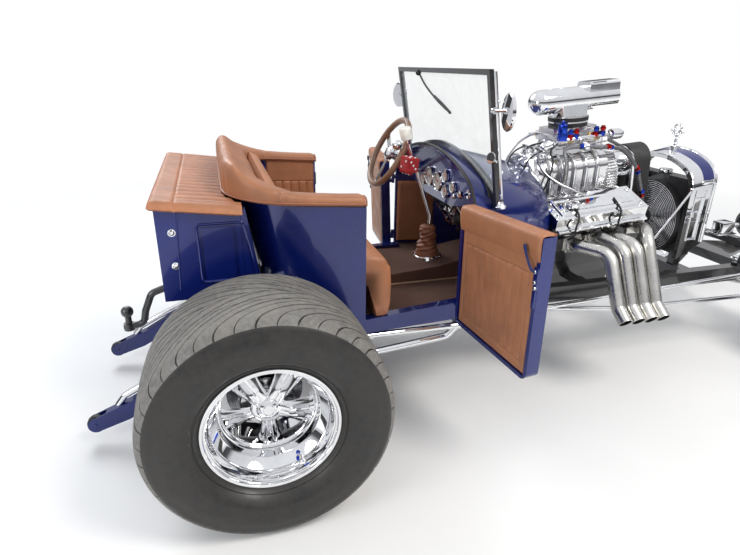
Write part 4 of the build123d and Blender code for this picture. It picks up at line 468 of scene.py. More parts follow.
IVORY = Moulding("ivory_knob", "black_plastic", (0.78, 0.76, 0.7), rough=0.18)
DIAL = Moulding("dial_silver", "black_plastic", (0.42, 0.42, 0.39), rough=0.35)
RED_MARK = Moulding("red_needle", "black_plastic", (0.6, 0.03, 0.02), rough=0.4)
BINDING = Moulding("carpet_binding", "carpet", (0.42, 0.27, 0.17), rough=0.7)
MIRROR = Metal("mirror_silver", "mirror_face", (0.9, 0.9, 0.92), rough=0.01)
HOSE_BRAID = Braid("hose_braid", "steel_links", (0.5, 0.5, 0.52))


def aimed(start: Vector, end: Vector) -> Matrix:
    """Matrix whose Z axis runs from one point toward another, with its origin at the first."""
    line = end - start
    turn = line.to_track_quat("Z", "Y").to_matrix().to_4x4()
    return Matrix.Translation(start) @ turn


def facing(centre: Vector, normal: Point, up: Point = (0, 0, 1)) -> Matrix:
    """Matrix with Z along a normal and Y as near as it can be to a given direction.

    Args:
        centre: Its origin.
        normal: Direction of its Z axis.
        up: Direction that its Y axis keeps to.

    Returns:
        The placing matrix.
    """
    z_axis = Vector(normal).normalized()
    x_axis = Vector(up).cross(z_axis).normalized()
    y_axis = z_axis.cross(x_axis)
    turn = Matrix((x_axis, y_axis, z_axis)).transposed().to_4x4()
    return Matrix.Translation(centre) @ turn


def smoothed(points: Iterable[Point], parts: int = 6) -> list[Vector]:
    """Points along a smooth line through the given ones.

    Args:
        points: Corner points, in order.
        parts: Steps between neighbours.

    Returns:
        The finer row of points.
    """
    knots = [Vector(point) for point in points]
    if len(knots) < 3:
        return knots
    ends = [2 * knots[0] - knots[1], *knots, 2 * knots[-1] - knots[-2]]
    line = []
    for before, first, second, after in zip(ends, ends[1:], ends[2:], ends[3:]):
        for step in range(parts):
            t = step / parts
            bend = 2 * first + (second - before) * t + (2 * before - 5 * first + 4 * second - after) * t * t
            line.append((bend + (3 * first - before - 3 * second + after) * t ** 3) / 2)
    return [*line, knots[-1]]


class Piece:
    """One new piece while its mesh is shaped."""

    def __init__(self, name: str, finish: Finish, body: str = "chassis") -> None:
        """Starts an empty piece.

        Args:
            name: The object's name.
            finish: Its finish.
            body: The body that it rides on.
        """
        self.name = name
        self.finish = finish
        self.body = body
        self.mesh = bmesh.new()

    def rod(self, start: Vector, end: Vector, radius: float, tip: float | None = None, sides: int = 24,
            edge: float = 0.0) -> "Piece":
        """Adds a round or tapered rod.

        Args:
            start: Centre of its first face.
            end: Centre of its last face.
            radius: Radius at the start.
            tip: Radius at the end, or None for the same.
            sides: Facets around.
            edge: Width of the bevel on its rims, or 0 for none.

        Returns:
            This piece.
        """
        place = aimed((start + end) / 2, end)
        made = bmesh.ops.create_cone(self.mesh, cap_ends=True, segments=sides, radius1=radius,
                                     radius2=radius if tip is None else tip, depth=(end - start).length,
                                     matrix=place)
        if edge > 0:
            near = {e for v in made["verts"] for e in v.link_edges}
            rims = {e for e in near if any(len(f.verts) == sides for f in e.link_faces)}
            bmesh.ops.bevel(self.mesh, geom=list(rims), offset=edge, segments=2, affect="EDGES", profile=0.5,
                            material=-1)
        return self

    def hexagon(self, start: Vector, end: Vector, radius: float) -> "Piece":
        """Adds a six-sided bar, as a bolt's head or a nut."""
        return self.rod(start, end, radius, sides=6, edge=radius * 0.08)

    def box(self, low: Point, high: Point, edge: float = 0.002, place: Matrix | None = None,
            segments: int = 2) -> "Piece":
        """Adds a box with bevelled edges.

        Args:
            low: Lowest corner.
            high: Highest corner.
            edge: Width of its bevels.
            place: Where its own axes lie, or None for the row's.
            segments: Steps across a bevel.

        Returns:
            This piece.
        """
        low, high = Vector(low), Vector(high)
        fit = Matrix.Translation((low + high) / 2) @ Matrix.Diagonal((*(high - low), 1))
        made = bmesh.ops.create_cube(self.mesh, size=1, matrix=(place or Matrix()) @ fit)
        edges = {e for v in made["verts"] for e in v.link_edges}
        if edge > 0:
            bmesh.ops.bevel(self.mesh, geom=list(edges), offset=edge, segments=segments, affect="EDGES",
                            profile=0.5, material=-1)
        return self

    def lathe(self, profile: Iterable[tuple[float, float]], place: Matrix, sides: int = 64,
              arc: float = math.tau) -> "Piece":
        """Adds a turned form.

        Args:
            profile: Radius and height of each point of its line.
            place: Origin and Z axis of the turning.
            sides: Steps around.
            arc: Angle that is turned, in radians.

        Returns:
            This piece.
        """
        points = [self.mesh.verts.new(place @ Vector((radius, 0, height))) for radius, height in profile]
        edges = [self.mesh.edges.new(pair) for pair in zip(points, points[1:])]
        whole = arc >= math.tau - 1e-6
        bmesh.ops.spin(self.mesh, geom=[*points, *edges], cent=place.translation, axis=place.to_3x3().col[2],
                       angle=arc, steps=sides, use_merge=whole, use_duplicate=False)
        return self

    def ring(self, centre: Vector, axis: Point, radius: float, thick: float, sides: int = 64,
             around: int = 10) -> "Piece":
        """Adds a round ring of round section."""
        turns = [(radius + thick * math.cos(a),
                  thick * math.sin(a)) for a in (math.tau * k / around for k in range(around + 1))]
        return self.lathe(turns, facing(centre, axis, (0.31, 0.2, 0.93)), sides)

    def tube(self, path: Iterable[Point], radius: float, sides: int = 10, parts: int = 5) -> "Piece":
        """Adds a round bar bent smoothly through points.

        Args:
            path: The points.
            radius: Its radius.
            sides: Facets around.
            parts: Steps between points.

        Returns:
            This piece.
        """
        line = smoothed(path, parts)
        start = aimed(line[0], line[1])
        rim = bmesh.ops.create_circle(self.mesh, cap_ends=False, segments=sides, radius=radius,
                                      matrix=start)["verts"]
        ring = list({e for v in rim for e in v.link_edges})
        first = ring
        turn = start.to_3x3()
        for here, there, after in zip(line, line[1:], [*line[2:], 2 * line[-1] - line[-2]]):
            swing = turn.col[2].rotation_difference((after - here).normalized()).to_matrix()
            grown = bmesh.ops.extrude_edge_only(self.mesh, edges=ring)["geom"]
            verts = [g for g in grown if isinstance(g, bmesh.types.BMVert)]
            inner = set(verts)
            ring = [g for g in grown if isinstance(g,
                                                   bmesh.types.BMEdge) and all(v in inner for v in g.verts)]
            move = Matrix.Translation(there) @ swing.to_4x4() @ Matrix.Translation(-here)
            bmesh.ops.transform(self.mesh, matrix=move, verts=verts)
            turn = swing @ turn
        bmesh.ops.contextual_create(self.mesh, geom=first)
        bmesh.ops.contextual_create(self.mesh, geom=ring)
        return self

    def plate(self, outline: Iterable[tuple[float, float]], place: Matrix, thick: float, edge: float = 0.0,
              segments: int = 2) -> "Piece":
        """Adds a flat plate cut to an outline.

        Args:
            outline: Its corner points, in the placing matrix's XY.
            place: The plane that it is drawn in; it grows along Z.
            thick: Its thickness.
            edge: Width of the bevel on its front rim, or 0 for none.
            segments: Steps across that bevel.

        Returns:
            This piece.
        """
        verts = [self.mesh.verts.new(place @ Vector((x, y, 0))) for x, y in outline]
        face = self.mesh.faces.new(verts)
        grown = bmesh.ops.extrude_face_region(self.mesh, geom=[face])["geom"]
        top = [g for g in grown if isinstance(g, bmesh.types.BMVert)]
        bmesh.ops.translate(self.mesh, vec=place.to_3x3() @ Vector((0, 0, thick)), verts=top)
        if edge > 0:
            keep = set(top)
            rim = [g for g in grown if isinstance(g, bmesh.types.BMEdge) and all(v in keep for v in g.verts)]
            bmesh.ops.bevel(self.mesh, geom=rim, offset=edge, segments=segments, affect="EDGES", profile=0.5,
                            material=-1)
        return self

    def ball(self, centre: Vector, radius: float, sides: int = 24, stretch: Point = (1, 1, 1)) -> "Piece":
        """Adds a ball or an ellipsoid."""
        place = Matrix.Translation(centre) @ Matrix.Diagonal((*stretch, 1))
        bmesh.ops.create_uvsphere(self.mesh, u_segments=sides, v_segments=sides // 2 + 2, radius=radius,
                                  matrix=place)
        return self

    def pillow(self, shape: Callable[[float, float], Vector], across: int, along: int) -> "Piece":
        """Adds a sheet whose grid of points is laid out by a function.

        Args:
            shape: Gives the place of a point from two shares between 0 and 1.
            across: Grid steps in the first share.
            along: Grid steps in the second share.

        Returns:
            This piece.
        """
        made = bmesh.ops.create_grid(self.mesh, x_segments=across, y_segments=along, size=0.5)["verts"]
        for vert in made:
            vert.co = shape(min(1.0, max(0.0, vert.co.x + 0.5)), min(1.0, max(0.0, vert.co.y + 0.5)))
        return self

    def patch(self, shape: Callable[[float, float], Vector], across: int, along: int,
              depth: float) -> "Piece":
        """Adds a slab whose top face is laid out by a function.

        Args:
            shape: Gives the place of a point of its top from two shares.
            across: Grid steps in the first share.
            along: Grid steps in the second share.
            depth: Its thickness.

        Returns:
            This piece.
        """
        made = bmesh.ops.create_grid(self.mesh, x_segments=across, y_segments=along, size=0.5)["verts"]
        for vert in made:
            vert.co = shape(min(1.0, max(0.0, vert.co.x + 0.5)), min(1.0, max(0.0, vert.co.y + 0.5)))
        faces = list({f for v in made for f in v.link_faces})
        bmesh.ops.recalc_face_normals(self.mesh, faces=faces)
        bmesh.ops.solidify(self.mesh, geom=faces, thickness=depth)
        return self

    def done(self, *replaced: str, crease: float = 35.0, rounds: int = 0,
             merge: float = 1e-5) -> bpy.types.Object:
        """Makes the piece's object, with its finish and body.

        Args:
            *replaced: CAD nodes that it stands for.
            crease: Angle in degrees above which an edge looks sharp.
            rounds: Levels of subdivision.
            merge: Distance under which points become one, in metres.

        Returns:
            The object.
        """
        bmesh.ops.remove_doubles(self.mesh, verts=self.mesh.verts, dist=merge)
        bmesh.ops.recalc_face_normals(self.mesh, faces=self.mesh.faces)
        data = bpy.data.meshes.new(self.name)
        self.mesh.to_mesh(data)
        self.mesh.free()
        data.shade_smooth()
        data.set_sharp_from_angle(angle=math.radians(crease))
        return settled(bpy.data.objects.new(self.name, data), self.finish, self.body, replaced, rounds)


def settled(thing: bpy.types.Object, finish: Finish, body: str, replaced: Iterable[str] = (),
            rounds: int = 0) -> bpy.types.Object:
    """Puts a new object in the scene, on its body and with its finish.

    Args:
        thing: The object.
        finish: Its finish.
        body: The body that it rides on.
        replaced: CAD nodes that it stands for.
        rounds: Levels of subdivision.

    Returns:
        The same object.
    """
    bpy.context.scene.collection.objects.link(thing)
    thing.data.materials.append(finish.material())
    if rounds:
        surface = thing.modifiers.new("Rounding", "SUBSURF")
        surface.levels = surface.render_levels = rounds
    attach(thing, body)
    if replaced:
        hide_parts(*replaced)
    LOG.info("%s: %d faces", thing.name, len(thing.data.polygons) if thing.type == "MESH" else 0)
    return thing


def dressed(finish: Finish, *nodes: str) -> None:
    """Gives CAD nodes a finish."""
    for node in nodes:
        for held in frame["nodes"][node].material_slots:
            held.material = finish.material()


def ridge(distance: float, width: float) -> float:
    """Height from 0 to 1 of a rounded ridge, at a distance from its line."""
    return math.exp(-(distance / width) ** 2)


def eased(value: float, start: float, end: float) -> float:
    """Smooth step of a value between two limits."""
    share = min(1.0, max(0.0, (value - start) / (end - start)))
    return share * share * (3 - 2 * share)


@dataclass
class Tyre:
    """One tyre: its carcass, and the lands between the tread's grooves.

    Attributes:
        node: CAD node that it stands for.
        body: Body that it rides on.
        radius: Outer radius.
        half: Half of its width over the side walls.
        crown: Half of the tread's flat width.
        shoulder: Radius of its rounded shoulder.
        bead: Half of the width at the rim.
        rim: Radius of the rim's flange.
        pitches: Grooves around each half of the tread.
        sweep: Distance round the tread that a groove runs on its way to the middle.
        depth: Depth of the grooves.
        gap: Width of the grooves.
    """

    node: str
    body: str
    radius: float
    half: float
    crown: float
    shoulder: float
    bead: float
    rim: float
    pitches: int
    sweep: float
    depth: float = 0.0065
    gap: float = 0.0065
    drop: float = 0.005

    def build(self) -> None:
        """Makes carcass and tread."""
        self.centre = middle(self.node)
        self.carcass()
        self.tread()

    def place(self, around: float, across: float, lift: float) -> Vector:
        """Point on the tread.

        Args:
            around: Distance round the tread from its top, forward.
            across: Distance from the middle, along the surface.
            lift: Height over the tread's face.

        Returns:
            The point.
        """
        side = 1 if across >= 0 else -1
        run = abs(across)
        low = self.drop * min(1.0, run / self.crown) ** 2
        turn = max(0.0, run - self.crown) / self.shoulder
        out = min(run, self.crown) + (self.shoulder + lift) * math.sin(turn)
        reach = self.radius - low - self.shoulder + (self.shoulder + lift) * math.cos(turn)
        angle = around / self.radius
        return self.centre + Vector((reach * math.sin(angle), side * out, reach * math.cos(angle)))

    def carcass(self) -> None:
        """Turns the body of the tyre, as deep as the grooves under its tread."""
        line = []
        for step in range(9):
            line.append((self.radius - self.depth - self.drop * (step / 8) ** 2, self.crown * step / 8))
        for step in range(1, 11):
            turn = math.radians(9 * step)
            lift = self.depth * (eased(turn, 0.5, 1.05) - 1)
            reach = self.shoulder + lift
            line.append((self.radius - self.drop - self.shoulder + reach * math.cos(turn),
                         self.crown + reach * math.sin(turn)))
        foot_r, foot_y = line[-1]
        for share, out in ((0.12, 0.75), (0.25, 1.0), (0.4, 0.97), (0.55, 0.8), (0.68, 0.55)):
            line.append((foot_r + (self.rim - foot_r) * share, foot_y + (self.half - foot_y) * out))
        line.append((self.rim + 0.018, self.bead + 0.016))
        line.append((self.rim + 0.014, self.bead + 0.017))
        line.append((self.rim + 0.010, self.bead + 0.012))
        line.append((self.rim + 0.001, self.bead + 0.002))
        line.append((self.rim - 0.012, self.bead - 0.002))
        whole = [(r, -y) for r, y in reversed(line)] + line[1:]
        Piece(self.node + "_carcass", SIDEWALL, self.body).lathe(whole, facing(self.centre, (0, 1, 0)),
            112).done(self.node, crease=50)

    def groove(self, across: float) -> float:
        """Distance round the tread that a groove has run at a distance from the middle."""
        end = self.crown + self.shoulder
        return self.sweep * (1 - min(1.0, across / end)) ** 1.8

    def width(self, across: float) -> float:
        """Width of a groove measured round the tread, wider where it runs nearly that way."""
        end = self.crown + self.shoulder
        slope = self.sweep * 1.8 / end * (1 - min(1.0, across / end)) ** 0.8
        return self.gap * math.sqrt(1 + slope * slope) * (1.0 if across < end * 0.6 else 0.85)

    def tread(self) -> None:
        """Raises the lands: one in the middle third of each pitch, two from there to the shoulder."""
        pitch = math.tau * self.radius / self.pitches
        end = self.crown + self.shoulder * 1.02
        part = self.crown * 0.42
        lands = Piece(self.node + "_tread", TREAD, self.body)
        bands = ((0.002, part - 0.0015, 0.0, 1.0), (part + 0.0015, end, 0.0, 0.5),
                 (part + 0.0015, end, 0.5, 1.0))
        for side in Side:
            for turn in range(self.pitches):
                for low, high, first, last in bands:
                    def land(s: float, t: float, lift: float = 0.0) -> Vector:
                        across = low + (high - low) * t
                        wide = self.width(across)
                        left = wide / 2 if first == 0 else wide * 0.3
                        right = wide / 2 if last == 1 else wide * 0.3
                        start = pitch * first + left
                        stop = pitch * last - right
                        around = pitch * (turn + side.value * 0.25) + self.groove(across)
                        around = around + start + (stop - start) * s
                        return self.place(around, side.value * across, lift)
                    steps = 6 if first == 0 and last == 1 else 4
                    self.land(lands.mesh, land, steps, 14 if last - first < 1 else 8)
        lands.done(crease=40)

    def land(self, mesh: bmesh.types.BMesh, shape: Callable[..., Vector], across: int, along: int) -> None:
        """Adds one land with walls down to the groove's floor.

        Args:
            mesh: The mesh that it is added to.
            shape: Gives a point of its top from two shares and a lift.
            across: Grid steps round the tread.
            along: Grid steps toward the shoulder.
        """
        verts = bmesh.ops.create_grid(mesh, x_segments=across, y_segments=along, size=0.5)["verts"]
        spots = [(vert, vert.co.x + 0.5, vert.co.y + 0.5) for vert in verts]
        for vert, s, t in spots:
            vert.co = shape(s, t)
        faces = list({f for v in verts for f in v.link_faces})
        rim = [e for e in {e for f in faces for e in f.edges} if len(e.link_faces) == 1]
        grown = bmesh.ops.extrude_edge_only(mesh, edges=rim)["geom"]
        low = [g for g in grown if isinstance(g, bmesh.types.BMVert)]
        for vert in low:
            out = vert.co - self.centre
            axle = Vector((0, out.y, 0))
            arm = (out - axle).normalized()
            lean = max(0.0, abs(out.y) - self.crown) / self.shoulder
            lean = min(1.0, lean)
            across_part = Vector((0, math.copysign(lean, out.y), 0))
            vert.co -= (arm * math.sqrt(1 - lean * lean) + across_part) * (self.depth + 0.001)


@dataclass
class RoadWheel:
    """One cast wheel: rolled rim with its stepped bowl, flared spokes, hub cap and nuts.

    Attributes:
        node: CAD node that it stands for.
        side: Side of the car.
        body: Body that it rides on.
        centre: Centre of the tyre's middle plane.
        half: Half of the width between the rim's flanges.
        flange: Radius of the flange.
        seat: Radius inside the bead seat.
        well: Radius inside the drop well.
        well_out: Outer end of the drop well.
        well_in: Inner end of the drop well.
        face: Distance of the spokes' face from the middle plane.
        disc: Radius and inner and outer place of the brake disc, or None.
    """

    node: str
    side: Side
    body: str
    centre: Vector
    half: float
    flange: float
    seat: float
    well: float
    well_out: float
    well_in: float
    face: float
    disc: tuple[float, float, float] | None = None

    def build(self) -> None:
        """Makes rim, spokes, cap, nuts and disc."""
        self.plane = facing(self.centre, (0, self.side.value, 0))
        self.rim()
        self.spokes()
        self.cap()
        self.stem()
        self.inside()

    def rim(self) -> None:
        """Turns the rim."""
        lip = self.half + 0.008
        step = self.well_out + (self.seat - self.well)
        front = [
            (self.flange, self.half), (self.flange, lip - 0.003), (self.flange - 0.002, lip),
            (self.flange - 0.006, lip + 0.0005),
            (self.flange - 0.010, lip - 0.001), (self.flange - 0.0125, lip - 0.005),
            (self.flange - 0.0135, lip - 0.010),
            (self.seat + 0.004, lip - 0.016), (self.seat + 0.002, lip - 0.024), (self.seat, lip - 0.04),
            (self.seat - 0.001, step + 0.008),
            (self.seat - 0.003, step + 0.002), (self.seat - 0.006, step - 0.001),
            (self.well + 0.004, self.well_out + 0.002),
            (self.well + 0.001, self.well_out), (self.well, self.well_out - 0.004),
            (self.well, self.face + 0.012),
            (self.well - 0.002, self.face + 0.008), (self.well - 0.006, self.face + 0.006),
            (self.well - 0.008, self.face + 0.002),
            (self.well - 0.0065, self.face - 0.002), (self.well - 0.010, self.face - 0.004),
            (self.well - 0.013, self.face - 0.008),
            (self.well - 0.012, self.face - 0.014), (self.well, self.face - 0.016),
        ]
        back = [
            (self.well, self.well_in), (self.seat, self.well_in - (self.seat - self.well)),
            (self.seat, -self.half),
            (self.flange - 0.006, -lip), (self.flange, -lip + 0.002), (self.flange, -self.half),
            (self.seat + 0.006, -self.half), (self.seat + 0.006, self.well_in - 0.03),
            (self.well + 0.006, self.well_in),
            (self.well + 0.006, self.well_out - 0.004), (self.seat + 0.006, step + 0.004),
            (self.seat + 0.006, self.half),
            (self.flange, self.half),
        ]
        Piece(self.node + "_rim", CHROME, self.body).lathe([*front, *back], self.plane, 96).done(self.node,
            crease=28)

    def spokes(self) -> None:
        """Lays out the five flared spokes, each with two ribs and a groove between them."""
        tip = self.well - 0.006
        star = Piece(self.node + "_spokes", CHROME, self.body)
        for turn in range(5):
            spin = Matrix.Rotation(math.radians(72 * turn + 180), 4, "Z")

            def face(s: float, t: float) -> Vector:
                along = 0.030 + (tip - 0.030) * t
                wide = 0.021 + 0.029 * t ** 1.7 + 0.016 * max(0.0, t - 0.86) / 0.14
                across = (2 * s - 1) * wide
                ribs = 0.006 * ridge(abs(2 * s - 1) - 0.3, 0.16) * eased(t, 0.15, 0.4)
                groove = -0.004 * ridge(2 * s - 1, 0.13)
                fall = -0.016 * eased(t, 0.1, 1.0) - 0.010 * abs(2 * s - 1) ** 3
                return self.plane @ (spin @ Vector((across, along, self.face - 0.004 + fall + ribs + groove)))

            star.patch(face, 18, 14, 0.012)
        star.lathe([(0.0, self.face + 0.002), (0.046, self.face + 0.002), (0.052, self.face - 0.001),
                    (0.056, self.face - 0.008),
                    (0.056, self.face - 0.0183), (0.0, self.face - 0.0183)], self.plane, 48)
        star.done(crease=50)

    def cap(self) -> None:
        """Turns the chamfered cap with its bare middle, and sets the nuts between the spokes."""
        top = self.face + 0.0175
        line = [
            (0.0, top - 0.0015), (0.016, top - 0.0015), (0.0185, top - 0.003), (0.0195, top - 0.0008),
            (0.0225, top - 0.0004),
            (0.0275, top - 0.003), (0.036, top - 0.010), (0.0378, top - 0.013), (0.0378, self.face),
            (0.0, self.face),
        ]
        Piece(self.node + "_cap", CHROME, self.body).lathe(line, self.plane, 64).done(crease=30)
        nuts = Piece(self.node + "_nuts", STEEL, self.body)
        for turn in range(5):
            angle = math.radians(72 * turn + 36 + 90)
            foot = self.plane @ Vector((0.066 * math.cos(angle), 0.066 * math.sin(angle), self.face - 0.034))
            top_point = self.plane @ Vector((0.066 * math.cos(angle), 0.066 * math.sin(angle),
                                             self.face - 0.012))
            nuts.hexagon(foot, top_point, 0.0105)
            nuts.rod(foot.lerp(top_point, 0.9), top_point + (top_point - foot) * 0.25, 0.0055, sides=12)
        nuts.lathe([(0.0, self.face - 0.032), (0.082, self.face - 0.032), (0.086, self.face - 0.038),
                    (0.0, self.face - 0.038)],
                   self.plane, 48)
        nuts.done()

    def stem(self) -> None:
        """Sets the valve stem with its blue cap in the bowl."""
        angle = math.radians(-62 if self.side is Side.RIGHT else 62)
        out = Vector((math.cos(angle), math.sin(angle), 0))
        low = self.plane @ (out * (self.seat - 0.012) + Vector((0, 0, self.well_out + 0.006)))
        high = self.plane @ (out * (self.seat - 0.028) + Vector((0, 0,
            min(self.half - 0.01, self.well_out + 0.05))))
        Piece(self.node + "_stem", STEEL, self.body).rod(low, high, 0.0035, sides=12).done()
        cap = Piece(self.node + "_stem_cap", BLUE_FITTING, self.body)
        cap.hexagon(high.lerp(low, 0.1), high + (high - low) * 0.22, 0.0058)
        cap.hexagon(low.lerp(high, 0.08), low.lerp(high, 0.24), 0.0075)
        cap.done()

    def inside(self) -> None:
        """Turns what the wheel carries behind its spokes: hub and disc."""
        if self.disc is None:
            return
        reach, inner, outer = self.disc
        line = [
            (0.018, inner - 0.03), (0.018, inner), (reach, inner), (reach, outer), (0.085, outer),
            (0.078, outer + 0.004),
            (0.058, outer + 0.006), (0.056, self.face - 0.024), (0.0, self.face - 0.024),
        ]
        drum = Piece(self.node + "_disc", STEEL, self.body).lathe(line, self.plane, 64)
        drum.done(crease=30)


class Wheels:
    """The four road wheels with their tyres."""

    def build(self) -> None:
        """Makes them."""
        for side in Side:
            rear = f"{side.word}_rear_wheel"
            front = f"{side.word}_front_wheel"
            Tyre(f"rear_tyre_{side.word}", rear, 0.384, 0.195, 0.142, 0.046, 0.146, 0.2085, 20, 0.42).build()
            Tyre(f"front_tyre_{side.word}", front, 0.335, 0.082, 0.048, 0.024, 0.059, 0.207, 30, 0.11,
                 depth=0.005, gap=0.004, drop=0.003).build()
            rear_middle = middle(f"rear_tyre_{side.word}")
            front_middle = middle(f"front_tyre_{side.word}")
            RoadWheel(f"rear_wheel_{side.word}", side, rear, rear_middle, 0.146, 0.2085, 0.1845, 0.157, 0.072,
                      -0.08, 0.034,
                      (0.124, -0.076, -0.064)).build()
            RoadWheel(f"front_wheel_{side.word}", side, front, front_middle, 0.059, 0.207, 0.1845, 0.162,
                      0.022, -0.022, 0.010).build()
            dressed(BLACK_TRIM, f"wheelie_wheel_{side.word}")


def bead(name: str, body: str, path: Iterable[Point], radius: float = 0.0035,
         finish: Finish = DARK_HIDE) -> None:
    """Lays a round sewn bead along a seam.

    Args:
        name: The piece's name.
        body: Body that it rides on.
        path: Its points.
        radius: Its radius.
        finish: Its finish.
    """
    Piece(name, finish, body).tube(path, radius, sides=8, parts=3).done()


def belt(x: float) -> float:
    """Height of the tub's top edge at a place along the car, from the rear axle."""
    return 0.926 + 0.027 * (JAMB - x) / 0.418


@dataclass
class SeatRoll:
    """Padded roll round the tub's top edge, high at the back and low at the doors.

    Attributes:
        front: Where its ends stand, from the rear axle.
        out: Half of its width over all.
        width: Its width beside the seat.
        rear: Its rear face.
        depth: Its width at the back.
        corner: Radius of its outer rear corners.
    """

    front: float = JAMB
    out: float = 0.505
    width: float = 0.075
    rear: float = -0.075
    depth: float = 0.130
    corner: float = 0.215
    crest: tuple[tuple[float, float], ...] = (
        (-0.075, 1.090), (-0.045, 1.086), (-0.03, 1.078), (0.0, 1.047), (0.045, 1.022), (0.09, 1.004),
        (0.16, 0.984),
        (0.23, 0.976), (0.32, 0.969), (0.402, 0.965),
    )

    def edge(self, share: float, inner: bool) -> Vector:
        """Point of the roll's outer or inner line from its left end (0) round to its right end (1)."""
        left = share <= 0.5
        run = share * 2 if left else (1 - share) * 2
        inset = self.width if inner else 0.0
        half = self.out - inset
        rear = self.rear + (self.depth if inner else 0.0)
        radius = self.corner - inset
        bend = rear + radius
        if run < 0.3:
            x, y = self.front + (bend - self.front) * run / 0.3, half
        elif run < 0.68:
            turn = math.radians(90) * (run - 0.3) / 0.38
            x, y = bend - radius * math.sin(turn), half - radius + radius * math.cos(turn)
        else:
            x, y = rear, (half - radius) * (1 - (run - 0.68) / 0.32)
        return Vector((x, y if left else -y, 0))

    def height(self, x: float) -> float:
        """Height of the crest at a place along the car."""
        for (x0, z0), (x1, z1) in zip(self.crest, self.crest[1:]):
            if x <= x1:
                return z0 + (z1 - z0) * max(0.0, (x - x0) / (x1 - x0))
        return self.crest[-1][1]

    def skin(self, share: float, around: float) -> Vector:
        """Point of the roll's skin from a share along it and a share round its section."""
        outer, inner = self.edge(share, False), self.edge(share, True)
        turn = math.tau * around
        cos, sin = math.cos(turn), math.sin(turn)
        flat = 0.35 if sin < 0 else 0.62
        across = 0.5 + 0.5 * math.copysign(abs(cos) ** flat, cos)
        spot = outer.lerp(inner, across)
        low = belt(spot.x) + 0.0015
        high = self.height(spot.x)
        tall = eased(high - low, 0.03, 0.12)
        upper = abs(sin) ** (0.8 - 0.25 * tall)
        middle_z = low + (high - low) * 0.35
        if sin >= 0:
            z = middle_z + (high - middle_z) * upper
        else:
            z = middle_z - (middle_z - low) * abs(sin) ** 0.3
        ends = min(share, 1 - share)
        draw = 0.006 * (1 - eased(ends, 0.0, 0.012))
        wrinkle = 0.0016 * math.sin(share * 190 + 5 * math.sin(share * 37))
        wrinkle = wrinkle * math.sin(turn * 2 + share * 25) * eased(ends, 0.1, 0.2)
        seam = 0.004 * ridge(abs(share - 0.5) - 0.325, 0.0035) + 0.004 * ridge(share - 0.5, 0.003)
        inward = (outer.lerp(inner, 0.5) - spot).normalized() if (outer - inner).length > 0 else Vector()
        spot += inward * (draw + (seam + wrinkle if sin > -0.3 else 0.0))
        if sin > 0:
            z -= draw + seam + abs(wrinkle)
        return car(spot.x, spot.y, z)

    def build(self) -> None:
        """Makes the roll, its end caps and its beads."""
        roll = Piece("seat_roll_leather", HIDE).pillow(self.skin, 260, 40)
        bmesh.ops.remove_doubles(roll.mesh, verts=roll.mesh.verts, dist=0.0003)
        open_edges = [e for e in roll.mesh.edges if len(e.link_faces) == 1]
        bmesh.ops.holes_fill(roll.mesh, edges=open_edges)
        cover = roll.done("seat_roll", crease=60, rounds=1)
        for name, inner in (("roll_bead_outer", False), ("roll_bead_inner", True)):
            line = []
            for step in range(61):
                spot = self.edge(step / 60, inner)
                line.append(car(spot.x, spot.y * (1.0 if inner else 1.002), belt(spot.x) + 0.012))
            bead(name, "chassis", line, 0.0042)
        for side in Side:
            share = 0.0 if side is Side.LEFT else 1.0
            ring = [self.skin(share, step / 24) for step in range(25)]
            centre = sum(ring, Vector()) / len(ring)
            bead(f"roll_end_bead_{side.word}", "chassis",
                 [centre.lerp(p, 0.93) + Vector((0.001, 0, 0)) for p in ring], 0.003)


